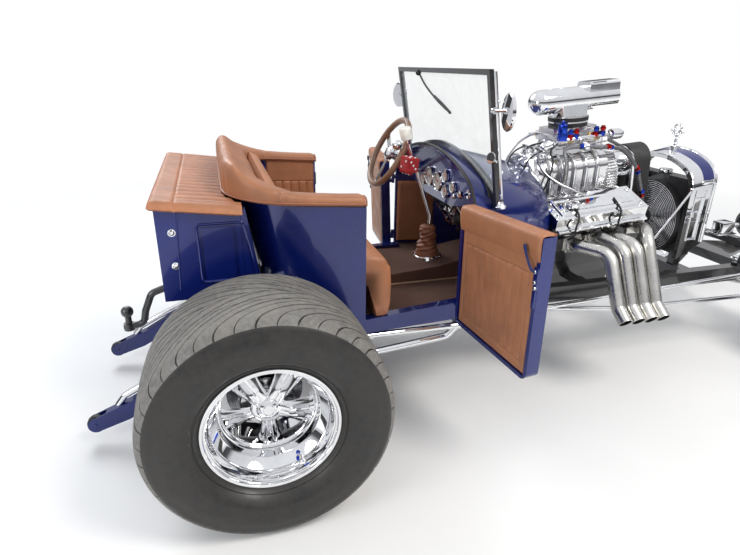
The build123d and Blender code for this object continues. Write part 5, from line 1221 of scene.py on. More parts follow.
@dataclass
class BoxPad:
    """Padded lid of the luggage box: a plain rear band, then ridges that run forward.

    Attributes:
        rear: Its rear edge, from the rear axle.
        front: Its front edge beside the seat roll.
        half: Half of its width.
        band: Depth of the plain band.
        ridges: Ridges across its width.
        thick: Its thickness.
    """

    rear: float = -0.302
    front: float = -0.019
    half: float = PAD_HALF
    band: float = 0.075
    ridges: int = 17
    thick: float = 0.025

    def limit(self, y: float) -> float:
        """Front edge of the pad at a place across, clear of the seat roll."""
        over = abs(y) - 0.29
        roll = -0.075 if over <= 0 else 0.14 - math.sqrt(max(0.0, 0.215 ** 2 - over ** 2))
        return min(self.front, roll - 0.002)

    def skin(self, s: float, t: float) -> Vector:
        """Point of the pad's top from its shares across and along."""
        y = (2 * s - 1) * self.half
        x = self.rear + (self.limit(y) - self.rear) * t
        low = 0.955 + (x + 0.29) * (0.922 - 0.955) / 0.265 + 0.0015
        rim = min(self.half - abs(y), x - self.rear, 0.03)
        puff = math.sqrt(1 - (1 - min(1.0, max(0.0, rim) / 0.018)) ** 2)
        inside = eased(x - self.rear, self.band - 0.004, self.band + 0.012) * eased(self.half - abs(y), 0.028,
            0.04)
        wave = abs(math.sin(math.pi * self.ridges * (0.5 + y / (2 * (self.half - 0.028))))) ** 0.55
        groove = 0.0125 * (1 - wave) * inside
        seam = 0.006 * ridge(x - self.rear - self.band, 0.004)
        side_seam = 0.005 * ridge(self.half - abs(y) - 0.03, 0.004) * eased(x - self.rear, 0.05,
            0.075)
        z = low + 0.004 + (self.thick - 0.003) * puff - groove - seam - side_seam
        return car(x, y, z)

    def build(self) -> None:
        """Makes the pad and its edge bead."""
        pad = Piece("box_pad_leather", HIDE).patch(self.skin, 300, 60, 0.006)
        cover = pad.done("box_pad", crease=70)
        low = lambda x: 0.955 + (x + 0.29) * (0.922 - 0.955) / 0.265 + 0.006
        line = [car(x, y, low(x)) for x, y in (
            (-0.03, PAD_HALF), (-0.1, PAD_HALF), (-0.2, PAD_HALF), (-0.285, PAD_HALF), (-0.3, 0.498),
            (-0.302, 0.47),
            (-0.302, 0.25),
            (-0.302, 0.0), (-0.302, -0.25), (-0.302, -0.47), (-0.3, -0.498), (-0.285, -PAD_HALF),
            (-0.2, -PAD_HALF),
            (-0.1, -PAD_HALF),
            (-0.03, -PAD_HALF))]
        bead("box_pad_bead", "chassis", line, 0.0045)


@dataclass
class Bench:
    """Seat cushion and pleated backrest.

    Attributes:
        pleats: Channels of the backrest.
        half: Half of the cushion's width.
        relief: Distance by which the cushion stands back from the doors.
    """

    pleats: int = 15
    half: float = 0.449
    relief: float = 0.015

    def back(self, s: float, t: float) -> Vector:
        """Point of the backrest's face from its shares across and up."""
        z = 0.66 + 0.338 * t
        lean = 0.204 - (max(0.0, z - 0.72) / 0.28) * 0.098
        reach = 0.385 + 0.035 * (1 - t)
        y = (2 * s - 1) * reach
        wave = abs(math.sin(math.pi * self.pleats * s)) ** 0.6
        top = eased(t, 0.86, 0.9)
        groove = 0.011 * (1 - wave) * (1 - top) + 0.007 * ridge(t - 0.88, 0.012)
        rounding = 0.03 * eased(t, 0.93, 1.0) ** 2 + 0.02 * eased(abs(2 * s - 1), 0.93, 1.0) ** 2
        return car(lean - groove - rounding - 0.002, y, z)

    def cushion(self, s: float, t: float) -> Vector:
        """Point of the cushion's closed skin: t runs up its front, back over its top and round below."""
        y = (2 * s - 1) * self.half
        line = [(0.500, 0.464), (0.518, 0.470), (0.5265, 0.52), (0.528, 0.60), (0.522, 0.668), (0.498, 0.704),
                (0.45, 0.717),
                (0.38, 0.716), (0.31, 0.710), (0.256, 0.704), (0.256, 0.645), (0.33, 0.642), (0.42, 0.640),
                (0.452, 0.60),
                (0.456, 0.50), (0.460, 0.464), (0.500, 0.464)]
        spot = t * (len(line) - 1)
        index = min(int(spot), len(line) - 2)
        share = spot - index
        x0, z0 = line[index]
        x1, z1 = line[index + 1]
        x, z = x0 + (x1 - x0) * share, z0 + (z1 - z0) * share
        end = eased(abs(2 * s - 1), 0.945, 1.0) ** 2
        x += (0.490 - x) * 0.34 * end if x > 0.44 else 0.0
        z -= 0.022 * end * eased(z, 0.66, 0.7)
        seam = ridge(z - 0.676, 0.004) * eased(x, 0.5, 0.515) * 0.005
        if 0.33 < x:
            y -= math.copysign(self.relief * eased(abs(y), 0.40, self.half) * eased(x, 0.33, 0.345), y)
        return car(x - seam, y, z)

    def build(self) -> None:
        """Makes both pads."""
        back = Piece("backrest_leather", HIDE).patch(self.back, 240, 40, 0.03).done("seat_backrest",
            crease=70)
        seat = Piece("cushion_leather", HIDE).pillow(self.cushion, 90, 96)
        bmesh.ops.remove_doubles(seat.mesh, verts=seat.mesh.verts, dist=0.0003)
        bmesh.ops.holes_fill(seat.mesh, edges=[e for e in seat.mesh.edges if len(e.link_faces) == 1])
        cover = seat.done("seat_cushion", crease=60, rounds=1)
        line = [self.cushion(0.055 + 0.89 * k / 16, 0.2636) for k in range(17)]
        bead("cushion_bead", "chassis", line, 0.0035)


@dataclass
class DoorTrim:
    """Leather pad of one door, with its pleats, top roll and latch strap.

    Attributes:
        side: Side of the car.
        pleats: Pleats along it.
        rear: Its edge at the latch, from the rear axle with the door shut.
        front: Its edge at the hinges.
        band: Depth of the plain band under its top.
        opened: Angle that the door stands open, in degrees.
    """

    side: Side
    pleats: int = 9
    band: float = 0.118
    rear: float = 0.4245
    front: float = 0.8185
    opened: float = 95.0

    def spot(self, x: float, z: float, lift: float) -> Vector:
        """Point on the opened door from its place on the closed one.

        Args:
            x: Distance from the rear axle.
            z: Height.
            lift: Distance over the pad's face, inward.

        Returns:
            The point.
        """
        y = 0.451 - (x - JAMB) * 0.030 / 0.439 - lift
        hinge = Vector(DOOR_HINGE)
        pin = Vector((0, 0.035, 1)).normalized()
        turned = Matrix.Rotation(math.radians(-self.opened), 3, pin) @ (Vector((x, y, z)) - hinge) + hinge
        return car(turned.x, turned.y * self.side.value, turned.z)

    def top(self, x: float) -> float:
        """Height of the pad's top edge."""
        return 0.918 - (x - 0.408) * 0.021 / 0.43

    def low(self, x: float) -> float:
        """Height of the pad's bottom edge."""
        return 0.4265 + (x - 0.408) * 0.02 / 0.43

    def skin(self, s: float, t: float) -> Vector:
        """Point of the pad's face from its shares along and up."""
        x = self.rear + (self.front - self.rear) * s
        low, high = self.low(x), self.top(x)
        z = low + (high - low) * t
        rim = min(x - self.rear, self.front - x, z - low, high - z)
        puff = 0.013 * (1 - (1 - min(1.0, rim / 0.012)) ** 2.2)
        field = eased(x - self.rear, 0.024, 0.03) * eased(self.front - x, 0.024, 0.03) 
        field *= eased(z - low, 0.04, 0.046)
        field *= eased(high - z, self.band - 0.003, self.band + 0.003)
        span = (x - self.rear - 0.027) / (self.front - self.rear - 0.054)
        wave = abs(math.sin(math.pi * self.pleats * min(1.0, max(0.0, span)))) ** 0.32
        seams = 0.0045 * (ridge(x - self.rear - 0.027, 0.0026) + ridge(self.front - x - 0.027, 0.0026))
        seams += 0.0045 * (ridge(z - low - 0.043, 0.003) + ridge(high - z - self.band, 0.003))
        pull = 0.0012 * math.sin(z * 41 + 7 * math.sin(x * 23)) * field
        return self.spot(x, z, puff - 0.0125 - 0.0062 * (1 - wave) * field - seams * (rim > 0.02) + pull)

    def build(self) -> None:
        """Makes pad, bead and strap."""
        body = f"{self.side.word}_door"
        pad = Piece(f"door_leather_{self.side.word}", HIDE, body).patch(self.skin, 180, 110, 0.004)
        cover = pad.done(f"door_pad_{self.side.word}", crease=70)
        rim = [(self.rear, self.low(self.rear)), (self.front, self.low(self.front)),
               (self.front, self.top(self.front)),
               (self.rear, self.top(self.rear))]
        line = []
        for (x0, z0), (x1, z1) in zip(rim, [*rim[1:], rim[0]]):
            line += [self.spot(x0 + (x1 - x0) * k / 6, z0 + (z1 - z0) * k / 6, -0.013) for k in range(6)]
        bead(f"door_bead_{self.side.word}", body, [*line, line[0]], 0.0034)
        self.top_roll(body)
        self.latch(body)

    def top_roll(self, body: str) -> None:
        """Folds the leather over the door's top edge."""
        section = [(0.0012, -0.072), (0.0065, -0.052), (0.0105, -0.024), (0.0100, 0.002), (0.0045, 0.0150),
                   (-0.006, 0.0195), (-0.025, 0.0195),
                   (-0.042, 0.0168), (-0.0492, 0.0118), (-0.0506, 0.0088)]
        fine = smoothed([(lift, rise, 0) for lift, rise in section], 4)

        def shape(s: float, t: float) -> Vector:
            x = 0.4095 + 0.4245 * s
            spot = fine[min(int(t * (len(fine) - 1) + 0.5), len(fine) - 1)]
            end = 1 - (1 - min(1.0, min(x - 0.4095, 0.834 - x) / 0.010)) ** 2.2
            wrinkle = 0.0008 * math.sin(x * 210 + 4 * math.sin(x * 60)) * (spot.y > -0.02)
            rise = spot.y - (1 - end) * 0.0075 * (spot.y > 0.0)
            return self.spot(x, self.top(x) + rise + wrinkle,
                             spot.x * (0.35 + 0.65 * end) if spot.x > 0 else spot.x)

        roll = Piece(f"door_roll_{self.side.word}", HIDE, body).pillow(shape, 80, len(fine) - 1)
        roll.done(crease=70)
        line = [self.spot(0.4095 + 0.4245 * k / 12, self.top(0.4095 + 0.4245 * k / 12) + 0.0145,
                          -0.047) for k in range(13)]
        bead(f"door_roll_bead_{self.side.word}", body, line, 0.0028)

    def latch(self, body: str) -> None:
        """Sets the latch lever, its plate and the blue pull strap on the free edge."""
        plate = Piece(f"door_latch_{self.side.word}", BLUE, body)
        for x, z, wide, tall in ((0.4172, 0.800, 0.0100, 0.030), (0.4157, 0.770, 0.0085, 0.018)):
            corners = [self.spot(x + dx, z + dz, 0.0004) for dx,
                       dz in ((-wide, -tall), (wide, -tall), (wide, tall), (-wide, tall))]
            out = (self.spot(x, z, 0.008) - self.spot(x, z, 0.0)).normalized()
            up = (corners[3] - corners[0]).normalized()
            place = facing(sum(corners, Vector()) / 4, out, up)
            plate.box((-wide, -tall, 0.0), (wide, tall, 0.007), 0.0022, place)
        plate.done()
        catch = Piece(f"door_catch_{self.side.word}", CHROME, body)
        for x, z in ((0.4165, 0.780), (0.413, 0.762), (0.4185, 0.815)):
            catch.rod(self.spot(x, z, 0.006), self.spot(x, z, 0.0125), 0.0062, sides=18, edge=0.0012)
        catch.hexagon(self.spot(0.415, 0.715, 0.0), self.spot(0.415, 0.715, 0.004), 0.0045)
        catch.done()
        strap = Piece(f"door_strap_{self.side.word}", BLUE_STRAP, body)
        for rise in (0.0, 0.0045):
            strap.tube([self.spot(0.421, 0.812 + rise, 0.010), self.spot(0.432, 0.824 + rise, 0.0165),
                        self.spot(0.450, 0.846 + rise, 0.0155),
                        self.spot(0.462, 0.870 + rise, 0.0170), self.spot(0.468, 0.884 + rise, 0.0185),
                        self.spot(0.460, 0.887 + rise, 0.0215),
                        self.spot(0.452, 0.868 + rise, 0.021)], 0.0034, sides=8, parts=5)
        strap.done()


@dataclass
class SideLining:
    """Padded lining of one wall beside the seat: a plain band over upright pleats.

    Attributes:
        side: Side of the car.
        rear: Its rear edge, from the rear axle.
        front: Its front edge.
        low: Height of its lower edge.
        wall: Inner face of the tub's wall.
        pleats: Pleats along it.
    """

    side: Side
    rear: float = 0.150
    front: float = 0.396
    low: float = 0.722
    wall: float = 0.4585
    pleats: int = 6

    def skin(self, s: float, t: float) -> Vector:
        """Point of its face from its shares along and up."""
        x = self.rear + (self.front - self.rear) * s
        high = belt(x) + 0.004
        z = self.low + (high - self.low) * t
        rim = min(self.front - x, x - self.rear, z - self.low)
        puff = 0.016 * (1 - (1 - min(1.0, max(0.0, rim) / 0.016)) ** 2.2)
        field = 1 - eased(t, 0.50, 0.53)
        wave = abs(math.sin(math.pi * self.pleats * s)) ** 0.4
        seam = 0.004 * ridge(t - 0.52, 0.012)
        return car(x, self.side.value * (self.wall - puff + 0.006 * (1 - wave) * field + seam), z)

    def build(self) -> None:
        """Makes it."""
        lining = Piece(f"side_lining_{self.side.word}", HIDE).patch(self.skin, 90, 50, 0.003).done(crease=70)


class Upholstery:
    """All leather of the cabin."""

    def build(self) -> None:
        """Makes it."""
        SeatRoll().build()
        BoxPad().build()
        Bench().build()
        for side in Side:
            DoorTrim(side).build()
            SideLining(side).build()


ENGINE_PIVOT = (1.540, 0.700)
ENGINE_TILT = math.radians(5.0)


def engine(x: float, y: float, z: float) -> Vector:
    """Place of a point of the engine, drawn level and then tilted nose-up with it."""
    across, up = x - ENGINE_PIVOT[0], z - ENGINE_PIVOT[1]
    cos, sin = math.cos(ENGINE_TILT), math.sin(ENGINE_TILT)
    return car(ENGINE_PIVOT[0] + across * cos - up * sin, y, ENGINE_PIVOT[1] + across * sin + up * cos)


def arc_through(first: Vector, second: Vector, third: Vector, parts: int) -> list[Vector]:
    """Points of the circle's arc from the first point through the second to the third."""
    one, two = second - first, third - first
    normal = one.cross(two)
    across = normal.cross(one) * two.length_squared + two.cross(normal) * one.length_squared
    centre = first + across / (2 * normal.length_squared)
    start = first - centre
    axis = normal.normalized()
    side = axis.cross(start)
    end = third - centre
    turn = math.atan2(end.dot(side), end.dot(start)) % math.tau
    turns = [turn * k / parts for k in range(parts + 1)]
    return [centre + start * math.cos(angle) + side * math.sin(angle) for angle in turns]


@dataclass
class Blower:
    """Details of the supercharger: ribs, finned nose, rear cover, bolts and idler.

    Attributes:
        rear: Rear end of the rotor case.
        front: Front end of the rotor case.
        half: Half of its width.
        low: Height of its foot.
        high: Height of its top.
        ribs: Ribs round the case.
        fins: Fins on each side of the nose plate.
    """

    rear: float = 1.345
    front: float = 1.715
    half: float = 0.125
    low: float = 0.830
    high: float = 1.012
    ribs: int = 5
    fins: int = 13

    def section(self) -> list[tuple[float, float]]:
        """Points (y, z) round the case from its right foot over the top to its left foot."""
        crown = self.high - self.half * 0.55
        lobe, flat = self.half * 0.8, self.half * 0.4
        bend = arc_through(Vector((0, -self.half, crown)), Vector((0, -lobe, self.high - 0.018)),
                           Vector((0, -flat, self.high)), 5)
        right = [(-self.half + 0.010, self.low + 0.012), (-self.half + 0.005, (self.low + crown) / 2)]
        right += [(point.y, point.z) for point in bend]
        return [*right, *((-y, z) for y, z in reversed(right))]

    def build(self) -> None:
        """Makes the blower's details."""
        ribs = Piece("blower_ribs", ALLOY)
        step = (self.front - self.rear - 0.12) / (self.ribs - 1)
        for index in range(self.ribs):
            x = self.rear + 0.06 + step * index
            ribs.tube([engine(x, y * 1.05, z + 0.004) for y, z in self.section()], 0.0085, sides=12, parts=3)
        ribs.done()
        self.nose()
        self.cover()
        self.idler()

    def nose(self) -> None:
        """Cuts the nose plate's fins and sets its bolts and the snout's collar."""
        fins = Piece("blower_nose_fins", ALLOY)
        for side in Side:
            for index in range(self.fins):
                z = self.low + 0.012 + 0.0125 * index
                reach = 0.128 if z < self.low + 0.09 else 0.128 - (z - self.low - 0.09) * 0.6
                low = engine(1.719, side.value * (reach - 0.012), z)
                fins.tube([low, engine(1.719, side.value * (reach + 0.006), z + 0.0),
                           engine(1.768, side.value * (reach + 0.006), z),
                           engine(1.768, side.value * (reach - 0.012), z)], 0.0028, sides=6, parts=2)
        fins.done()
        bolts = Piece("blower_nose_bolts", CHROME)
        for y, z in ((0.105, 0.85), (0.112, 0.9), (0.09, 0.97), (0.045, 1.0), (0.0, 0.845)):
            for sign in ((-1, 1) if y else (1,)):
                bolts.hexagon(engine(1.773, sign * y, z), engine(1.779, sign * y, z), 0.0075)
                bolts.rod(engine(1.779, sign * y, z), engine(1.7815, sign * y, z), 0.0045, sides=12)
        bolts.done()
        collar = Piece("blower_snout", CHROME)
        along = aimed(engine(1.773, 0, 0.925), engine(1.9, 0, 0.925))
        collar.lathe([(0, 0.001), (0.078, 0.001), (0.079, 0.008), (0.07, 0.016), (0.056, 0.022),
                      (0.0505, 0.04), (0.0505, 0.1),
                      (0.056, 0.108), (0.056, 0.12), (0, 0.12)], along, 48)
        for k in range(6):
            turn = math.tau * k / 6 + 0.3
            spot = (0.068 * math.cos(turn), 0.068 * math.sin(turn))
            collar.hexagon(along @ Vector((*spot, 0.012)), along @ Vector((*spot, 0.021)), 0.006)
        collar.done()

    def cover(self) -> None:
        """Makes the rear bearing cover with its caps, ribs and bolts."""
        cover = Piece("blower_rear_cover", ALLOY)
        face = 1.321
        for y in (-0.052, 0.052):
            back = aimed(engine(face, y, 0.93), engine(face - 0.1, y, 0.93))
            cover.lathe([(0, 0.0005), (0.042, 0.0005), (0.042, 0.006), (0.036, 0.012), (0.031, 0.02),
                         (0.02, 0.024), (0, 0.025)], back, 40)
            for k in range(5):
                turn = math.tau * k / 5
                spot = (0.036 * math.cos(turn), 0.036 * math.sin(turn))
                cover.hexagon(back @ Vector((*spot, 0.005)), back @ Vector((*spot, 0.014)), 0.0045)
        for y in (-0.1, -0.052, 0.0, 0.052, 0.1):
            cover.tube([engine(face, y, 0.845), engine(face - 0.003, y, 0.87),
                        engine(face - 0.002, y * 0.95, 0.985)], 0.0045, sides=8)
        cover.done()
        bolts = Piece("blower_rear_bolts", CHROME)
        for y, z in ((0.108, 0.85), (0.118, 0.91), (0.085, 0.985), (0.04, 1.005), (0.0, 0.845)):
            for sign in ((-1, 1) if y else (1,)):
                bolts.hexagon(engine(face, sign * y, z), engine(face - 0.007, sign * y, z), 0.0075)
        for side in Side:
            for k in range(6):
                x = self.rear + 0.03 + 0.06 * k
                bolts.hexagon(engine(x, side.value * 0.121, 0.826), engine(x, side.value * 0.121, 0.838),
                              0.0072)
                bolts.rod(engine(x, side.value * 0.121, 0.838), engine(x, side.value * 0.121, 0.843), 0.004,
                          sides=10)
        bolts.done()

    def idler(self) -> None:
        """Hangs the belt's idler arms and the cross shaft between them behind the belt."""
        arms = Piece("idler_arms", CHROME)
        for y in (-0.095, 0.095):
            arms.tube([engine(1.775, y * 0.75, 1.0), engine(1.83, y * 0.9, 0.995), engine(1.875, y, 0.96),
                       engine(1.885, y, 0.87),
                       engine(1.885, y, 0.785)], 0.0105, sides=12, parts=6)
            arms.ball(engine(1.885, y, 0.785), 0.015, 16)
        arms.rod(engine(1.885, -0.095, 0.79), engine(1.885, 0.095, 0.79), 0.008)
        arms.done()


@dataclass
class Fuel:
    """Carburettor details, fuel log, linkage, hoses and their fittings.

    Attributes:
        carbs: Places of the two carburettors.
        base: Height of their bases.
        bowl: Half of the width over their float bowls.
    """

    carbs: tuple[float, float] = (1.500, 1.635)
    base: float = 1.038
    bowl: float = 0.102

    def build(self) -> None:
        """Makes them."""
        self.bowls()
        self.linkage()
        self.hoses()
        self.seal()

    def bowls(self) -> None:
        """Dresses the float bowls with covers, screws, sight plugs and levers."""
        covers = Piece("float_bowls", GOLD)
        screws = Piece("bowl_screws", CHROME)
        for x in self.carbs:
            for side in Side:
                y = side.value * self.bowl
                out = side.value
                place = facing(engine(x, y, self.base + 0.048), (0, out, 0))
                covers.plate([(-0.03, -0.017), (0.03, -0.017), (0.034, -0.01), (0.034, 0.012), (0.028, 0.018),
                              (-0.028, 0.018),
                              (-0.034, 0.012), (-0.034, -0.01)], place, 0.009, edge=0.003)
                for across in (-0.025, 0.025):
                    for up in (-0.012, 0.012):
                        spot = place @ Vector((across, up, 0.008))
                        screws.hexagon(spot, spot + Vector((0, out * 0.006, 0)), 0.0042)
                spot = place @ Vector((0.006, 0.0, 0.008))
                screws.rod(spot, spot + Vector((0, out * 0.012, 0)), 0.0065, sides=16, edge=0.001)
                spot = place @ Vector((-0.014, -0.006, 0.008))
                screws.rod(spot, spot + Vector((0, out * 0.008, 0)), 0.009, sides=16, edge=0.0015)
        covers.done()
        screws.done()
        body = Piece("throttle_bodies", ALLOY)
        for x in self.carbs:
            for y in (-0.036, 0.036):
                up = aimed(engine(x, y, self.base + 0.02), engine(x, y, self.base + 0.2))
                body.lathe([(0.0325, 0.0), (0.038, 0.002), (0.038, 0.008), (0.034, 0.012), (0.034, 0.05),
                            (0.0375, 0.053),
                            (0.0375, 0.06), (0.033, 0.064)], up, 32)
            for y in (-0.066, 0.066):
                for dx in (-0.036, 0.036):
                    body.hexagon(engine(x + dx, y, self.base + 0.022), engine(x + dx, y, self.base + 0.031),
                                 0.006)
        body.done(crease=40)

    def linkage(self) -> None:
        """Lays the throttle shafts, arms, return springs and the fuel logs along both sides."""
        links = Piece("throttle_linkage", CHROME)
        near = -0.088
        links.rod(engine(1.42, near, 1.052), engine(1.72, near, 1.052), 0.0042, sides=12)
        for x in (1.455, 1.545, 1.59, 1.68):
            links.ball(engine(x, near, 1.052), 0.0075, 14)
            links.rod(engine(x, near + 0.03, 1.075), engine(x, near, 1.05), 0.0045, sides=10)
        links.rod(engine(1.5, -0.095, 1.046), engine(1.5, 0.095, 1.046), 0.005, sides=12)
        links.rod(engine(1.635, -0.095, 1.046), engine(1.635, 0.095, 1.046), 0.005, sides=12)
        for side in Side:
            y = side.value * 0.121
            links.rod(engine(1.44, y, 1.088), engine(1.70, y, 1.088), 0.0085, sides=16, edge=0.001)
            for x in (*self.carbs, self.carbs[0] - 0.022, self.carbs[1] + 0.022):
                links.rod(engine(x, y - side.value * 0.012, 1.088), engine(x, y - side.value * 0.002, 1.088),
                          0.0065, sides=12)
        links.done()
        cans = Piece("fuel_filters", CHROME)
        for spot, way, size in (((1.705, -0.121, 1.088), (1.78, -0.121, 1.083), 0.024),
                                ((1.415, -0.105, 1.075), (1.36, -0.105, 1.06), 0.021),
                                ((1.565, -0.118, 1.052), (1.565, -0.17, 1.052), 0.021)):
            start, end = engine(*spot), engine(*way)
            long = (end - start).length
            cans.lathe([(0, 0), (size * 0.45, 0), (size * 0.5, 0.004), (size, 0.008), (size, long * 0.6),
                        (size * 0.94, long * 0.75),
                        (size * 0.62, long * 0.93), (size * 0.3, long), (0, long)], aimed(start, end), 32)
        cans.done()
        block = Piece("fuel_regulator", BLUE_FITTING)
        block.rod(engine(1.46, -0.118, 1.118), engine(1.46, -0.118, 1.158), 0.021, sides=24, edge=0.003)
        block.rod(engine(1.46, -0.118, 1.158), engine(1.46, -0.118, 1.172), 0.009, sides=12, edge=0.001)
        block.box((-0.019, -0.014, -0.02), (0.019, 0.014, 0.02), 0.003,
                  Matrix.Translation(engine(1.46, -0.118, 1.104)))
        block.done()
        springs = Piece("return_springs", STEEL)
        for x in (1.43, 1.702):
            turns, points = 9, []
            for k in range(turns * 8 + 1):
                angle = math.tau * k / 8
                points.append(engine(x + 0.005 * math.cos(angle), -0.078 + 0.005 * math.sin(angle),
                                     1.03 + 0.05 * k / (turns * 8)))
            springs.tube(points, 0.0011, sides=5, parts=1)
        springs.done()

    def fittings(self, name: str, spots: Iterable[tuple[Vector, Vector, bool]]) -> None:
        """Sets red and blue hose ends, each from a place and the direction of its hose.

        Args:
            name: Start of the pieces' names.
            spots: Place, direction and whether the red end leads.
        """
        red, blue = Piece(f"{name}_red", RED_FITTING), Piece(f"{name}_blue", BLUE_FITTING)
        for place, way, red_first in spots:
            way = way.normalized()
            first, second = (red, blue) if red_first else (blue, red)
            first.hexagon(place - way * 0.021, place - way * 0.004, 0.0135)
            first.rod(place - way * 0.028, place - way * 0.02, 0.0105, sides=16, edge=0.001)
            second.hexagon(place + way * 0.0, place + way * 0.014, 0.0125)
            second.rod(place - way * 0.004, place + way * 0.02, 0.0085, sides=16)
        red.done()
        blue.done()

    def hoses(self) -> None:
        """Lays the braided fuel hose, the breather hose, the rear pipe and the black cables."""
        over = [(1.457, -0.152, 0.876), (1.468, -0.152, 0.92), (1.474, -0.146, 0.982), (1.470, -0.132, 1.03),
                (1.49, -0.122, 1.05),
                (1.564, -0.148, 1.052), (1.634, -0.148, 1.04), (1.704, -0.142, 1.033), (1.777, -0.13, 1.011),
                (1.857, -0.112, 0.952),
                (1.905, -0.106, 0.892), (1.93, -0.104, 0.83), (1.95, -0.104, 0.77), (1.956, -0.106, 0.70),
                (1.935, -0.11, 0.63),
                (1.91, -0.11, 0.585)]
        main = Piece("fuel_hose", HOSE_BRAID).tube([engine(*p) for p in over], 0.0095, sides=14, parts=6)
        main.done()
        second = [(1.70, -0.128, 1.065), (1.77, -0.118, 1.03), (1.845, -0.104, 0.985), (1.875, -0.1, 0.93)]
        Piece("fuel_hose_upper", HOSE_BRAID).tube([engine(*p) for p in second], 0.008, sides=12,
                                                  parts=6).done()
        ends = []
        for index, red_first in ((5, False), (7, True), (10, True), (12, False)):
            here, after = engine(*over[index]), engine(*over[index + 1])
            ends.append((here, after - here, red_first))
        self.fittings("hose_ends", ends)
        small = [(engine(x + shift, -0.121, 1.112), Vector((0, 0, 1)), lead) for x, shift, lead in (
            (self.carbs[0], 0.0, True), (self.carbs[0], 0.03, False), (self.carbs[1], 0.0, True),
            (self.carbs[1], 0.035, False))]
        self.fittings("log_ends", small)
        breather = [(1.339, -0.115, 1.046), (1.345, -0.125, 0.99), (1.372, -0.15, 0.945),
                    (1.42, -0.185, 0.905), (1.49, -0.21, 0.868),
                    (1.53, -0.222, 0.845)]
        Piece("breather_pipe", STEEL).tube([engine(*p) for p in breather], 0.0062, sides=12, parts=6).done()
        rear = [(1.30, 0.1, 0.9), (1.31, 0.1, 0.985), (1.36, 0.1, 1.05), (1.42, 0.095, 1.085),
                (1.47, 0.09, 1.098)]
        Piece("rear_pipe", STEEL).tube([engine(*p) for p in rear], 0.0055, sides=10, parts=6).done()
        cables = Piece("black_cables", BLACK_TRIM)
        for path, size in (([(1.34, 0.02, 0.86), (1.33, 0.04, 0.94), (1.345, 0.05, 1.0), (1.39, 0.04, 1.045),
                             (1.45, 0.02, 1.06)], 0.0045),
                           ([(1.36, -0.13, 0.85), (1.385, -0.14, 0.92), (1.405, -0.14, 0.99),
                             (1.40, -0.125, 1.045), (1.44, -0.11, 1.07)], 0.004),
                           ([(1.315, -0.06, 0.85), (1.295, -0.07, 0.92), (1.31, -0.08, 1.0),
                             (1.36, -0.09, 1.04), (1.43, -0.095, 1.052)], 0.0038),
                           ([(1.30, 0.07, 0.84), (1.285, 0.06, 0.93), (1.30, 0.04, 1.02), (1.36, 0.02, 1.06)],
                            0.0038)):
            cables.tube([engine(*p) for p in path], size, sides=8, parts=6)
        cables.done()
        bracket = Piece("throttle_bracket", CHROME)
        for y in (-0.07, -0.02, 0.05):
            bracket.box((-0.004, -0.016, -0.026), (0.004, 0.016, 0.026), 0.0018,
                        Matrix.Translation(engine(1.372, y, 1.03)))
            bracket.rod(engine(1.30, y, 1.0), engine(1.42, y * 0.9, 1.045), 0.0045, sides=12)
            bracket.ball(engine(1.42, y * 0.9, 1.045), 0.0085, 14)
            bracket.hexagon(engine(1.378, y, 1.045), engine(1.388, y, 1.048), 0.008)
        bracket.done()

    def seal(self) -> None:
        """Sets the dark seal and the clamp under the scoop."""
        foot = aimed(engine(1.567, 0, 1.128), engine(1.567, 0, 1.3))
        Piece("scoop_seal", BLACK_TRIM).lathe([(0.081, 0.0), (0.086, 0.001), (0.0875, 0.01), (0.086, 0.022),
                                               (0.0905, 0.028), (0.0905, 0.044),
                                              (0.081, 0.0445)], foot, 64).done()
        band = Piece("scoop_clamp", CHROME).lathe([(0.0878, 0.02), (0.0895, 0.0205), (0.0895, 0.0265),
                                                   (0.0878, 0.027)], foot, 64)
        band.done()
        studs = Piece("scoop_screws", CHROME)
        for x in (1.46, 1.52):
            studs.rod(engine(x, 0, 1.299), engine(x, 0, 1.3045), 0.009, 0.006, sides=20, edge=0.001)
        studs.done()


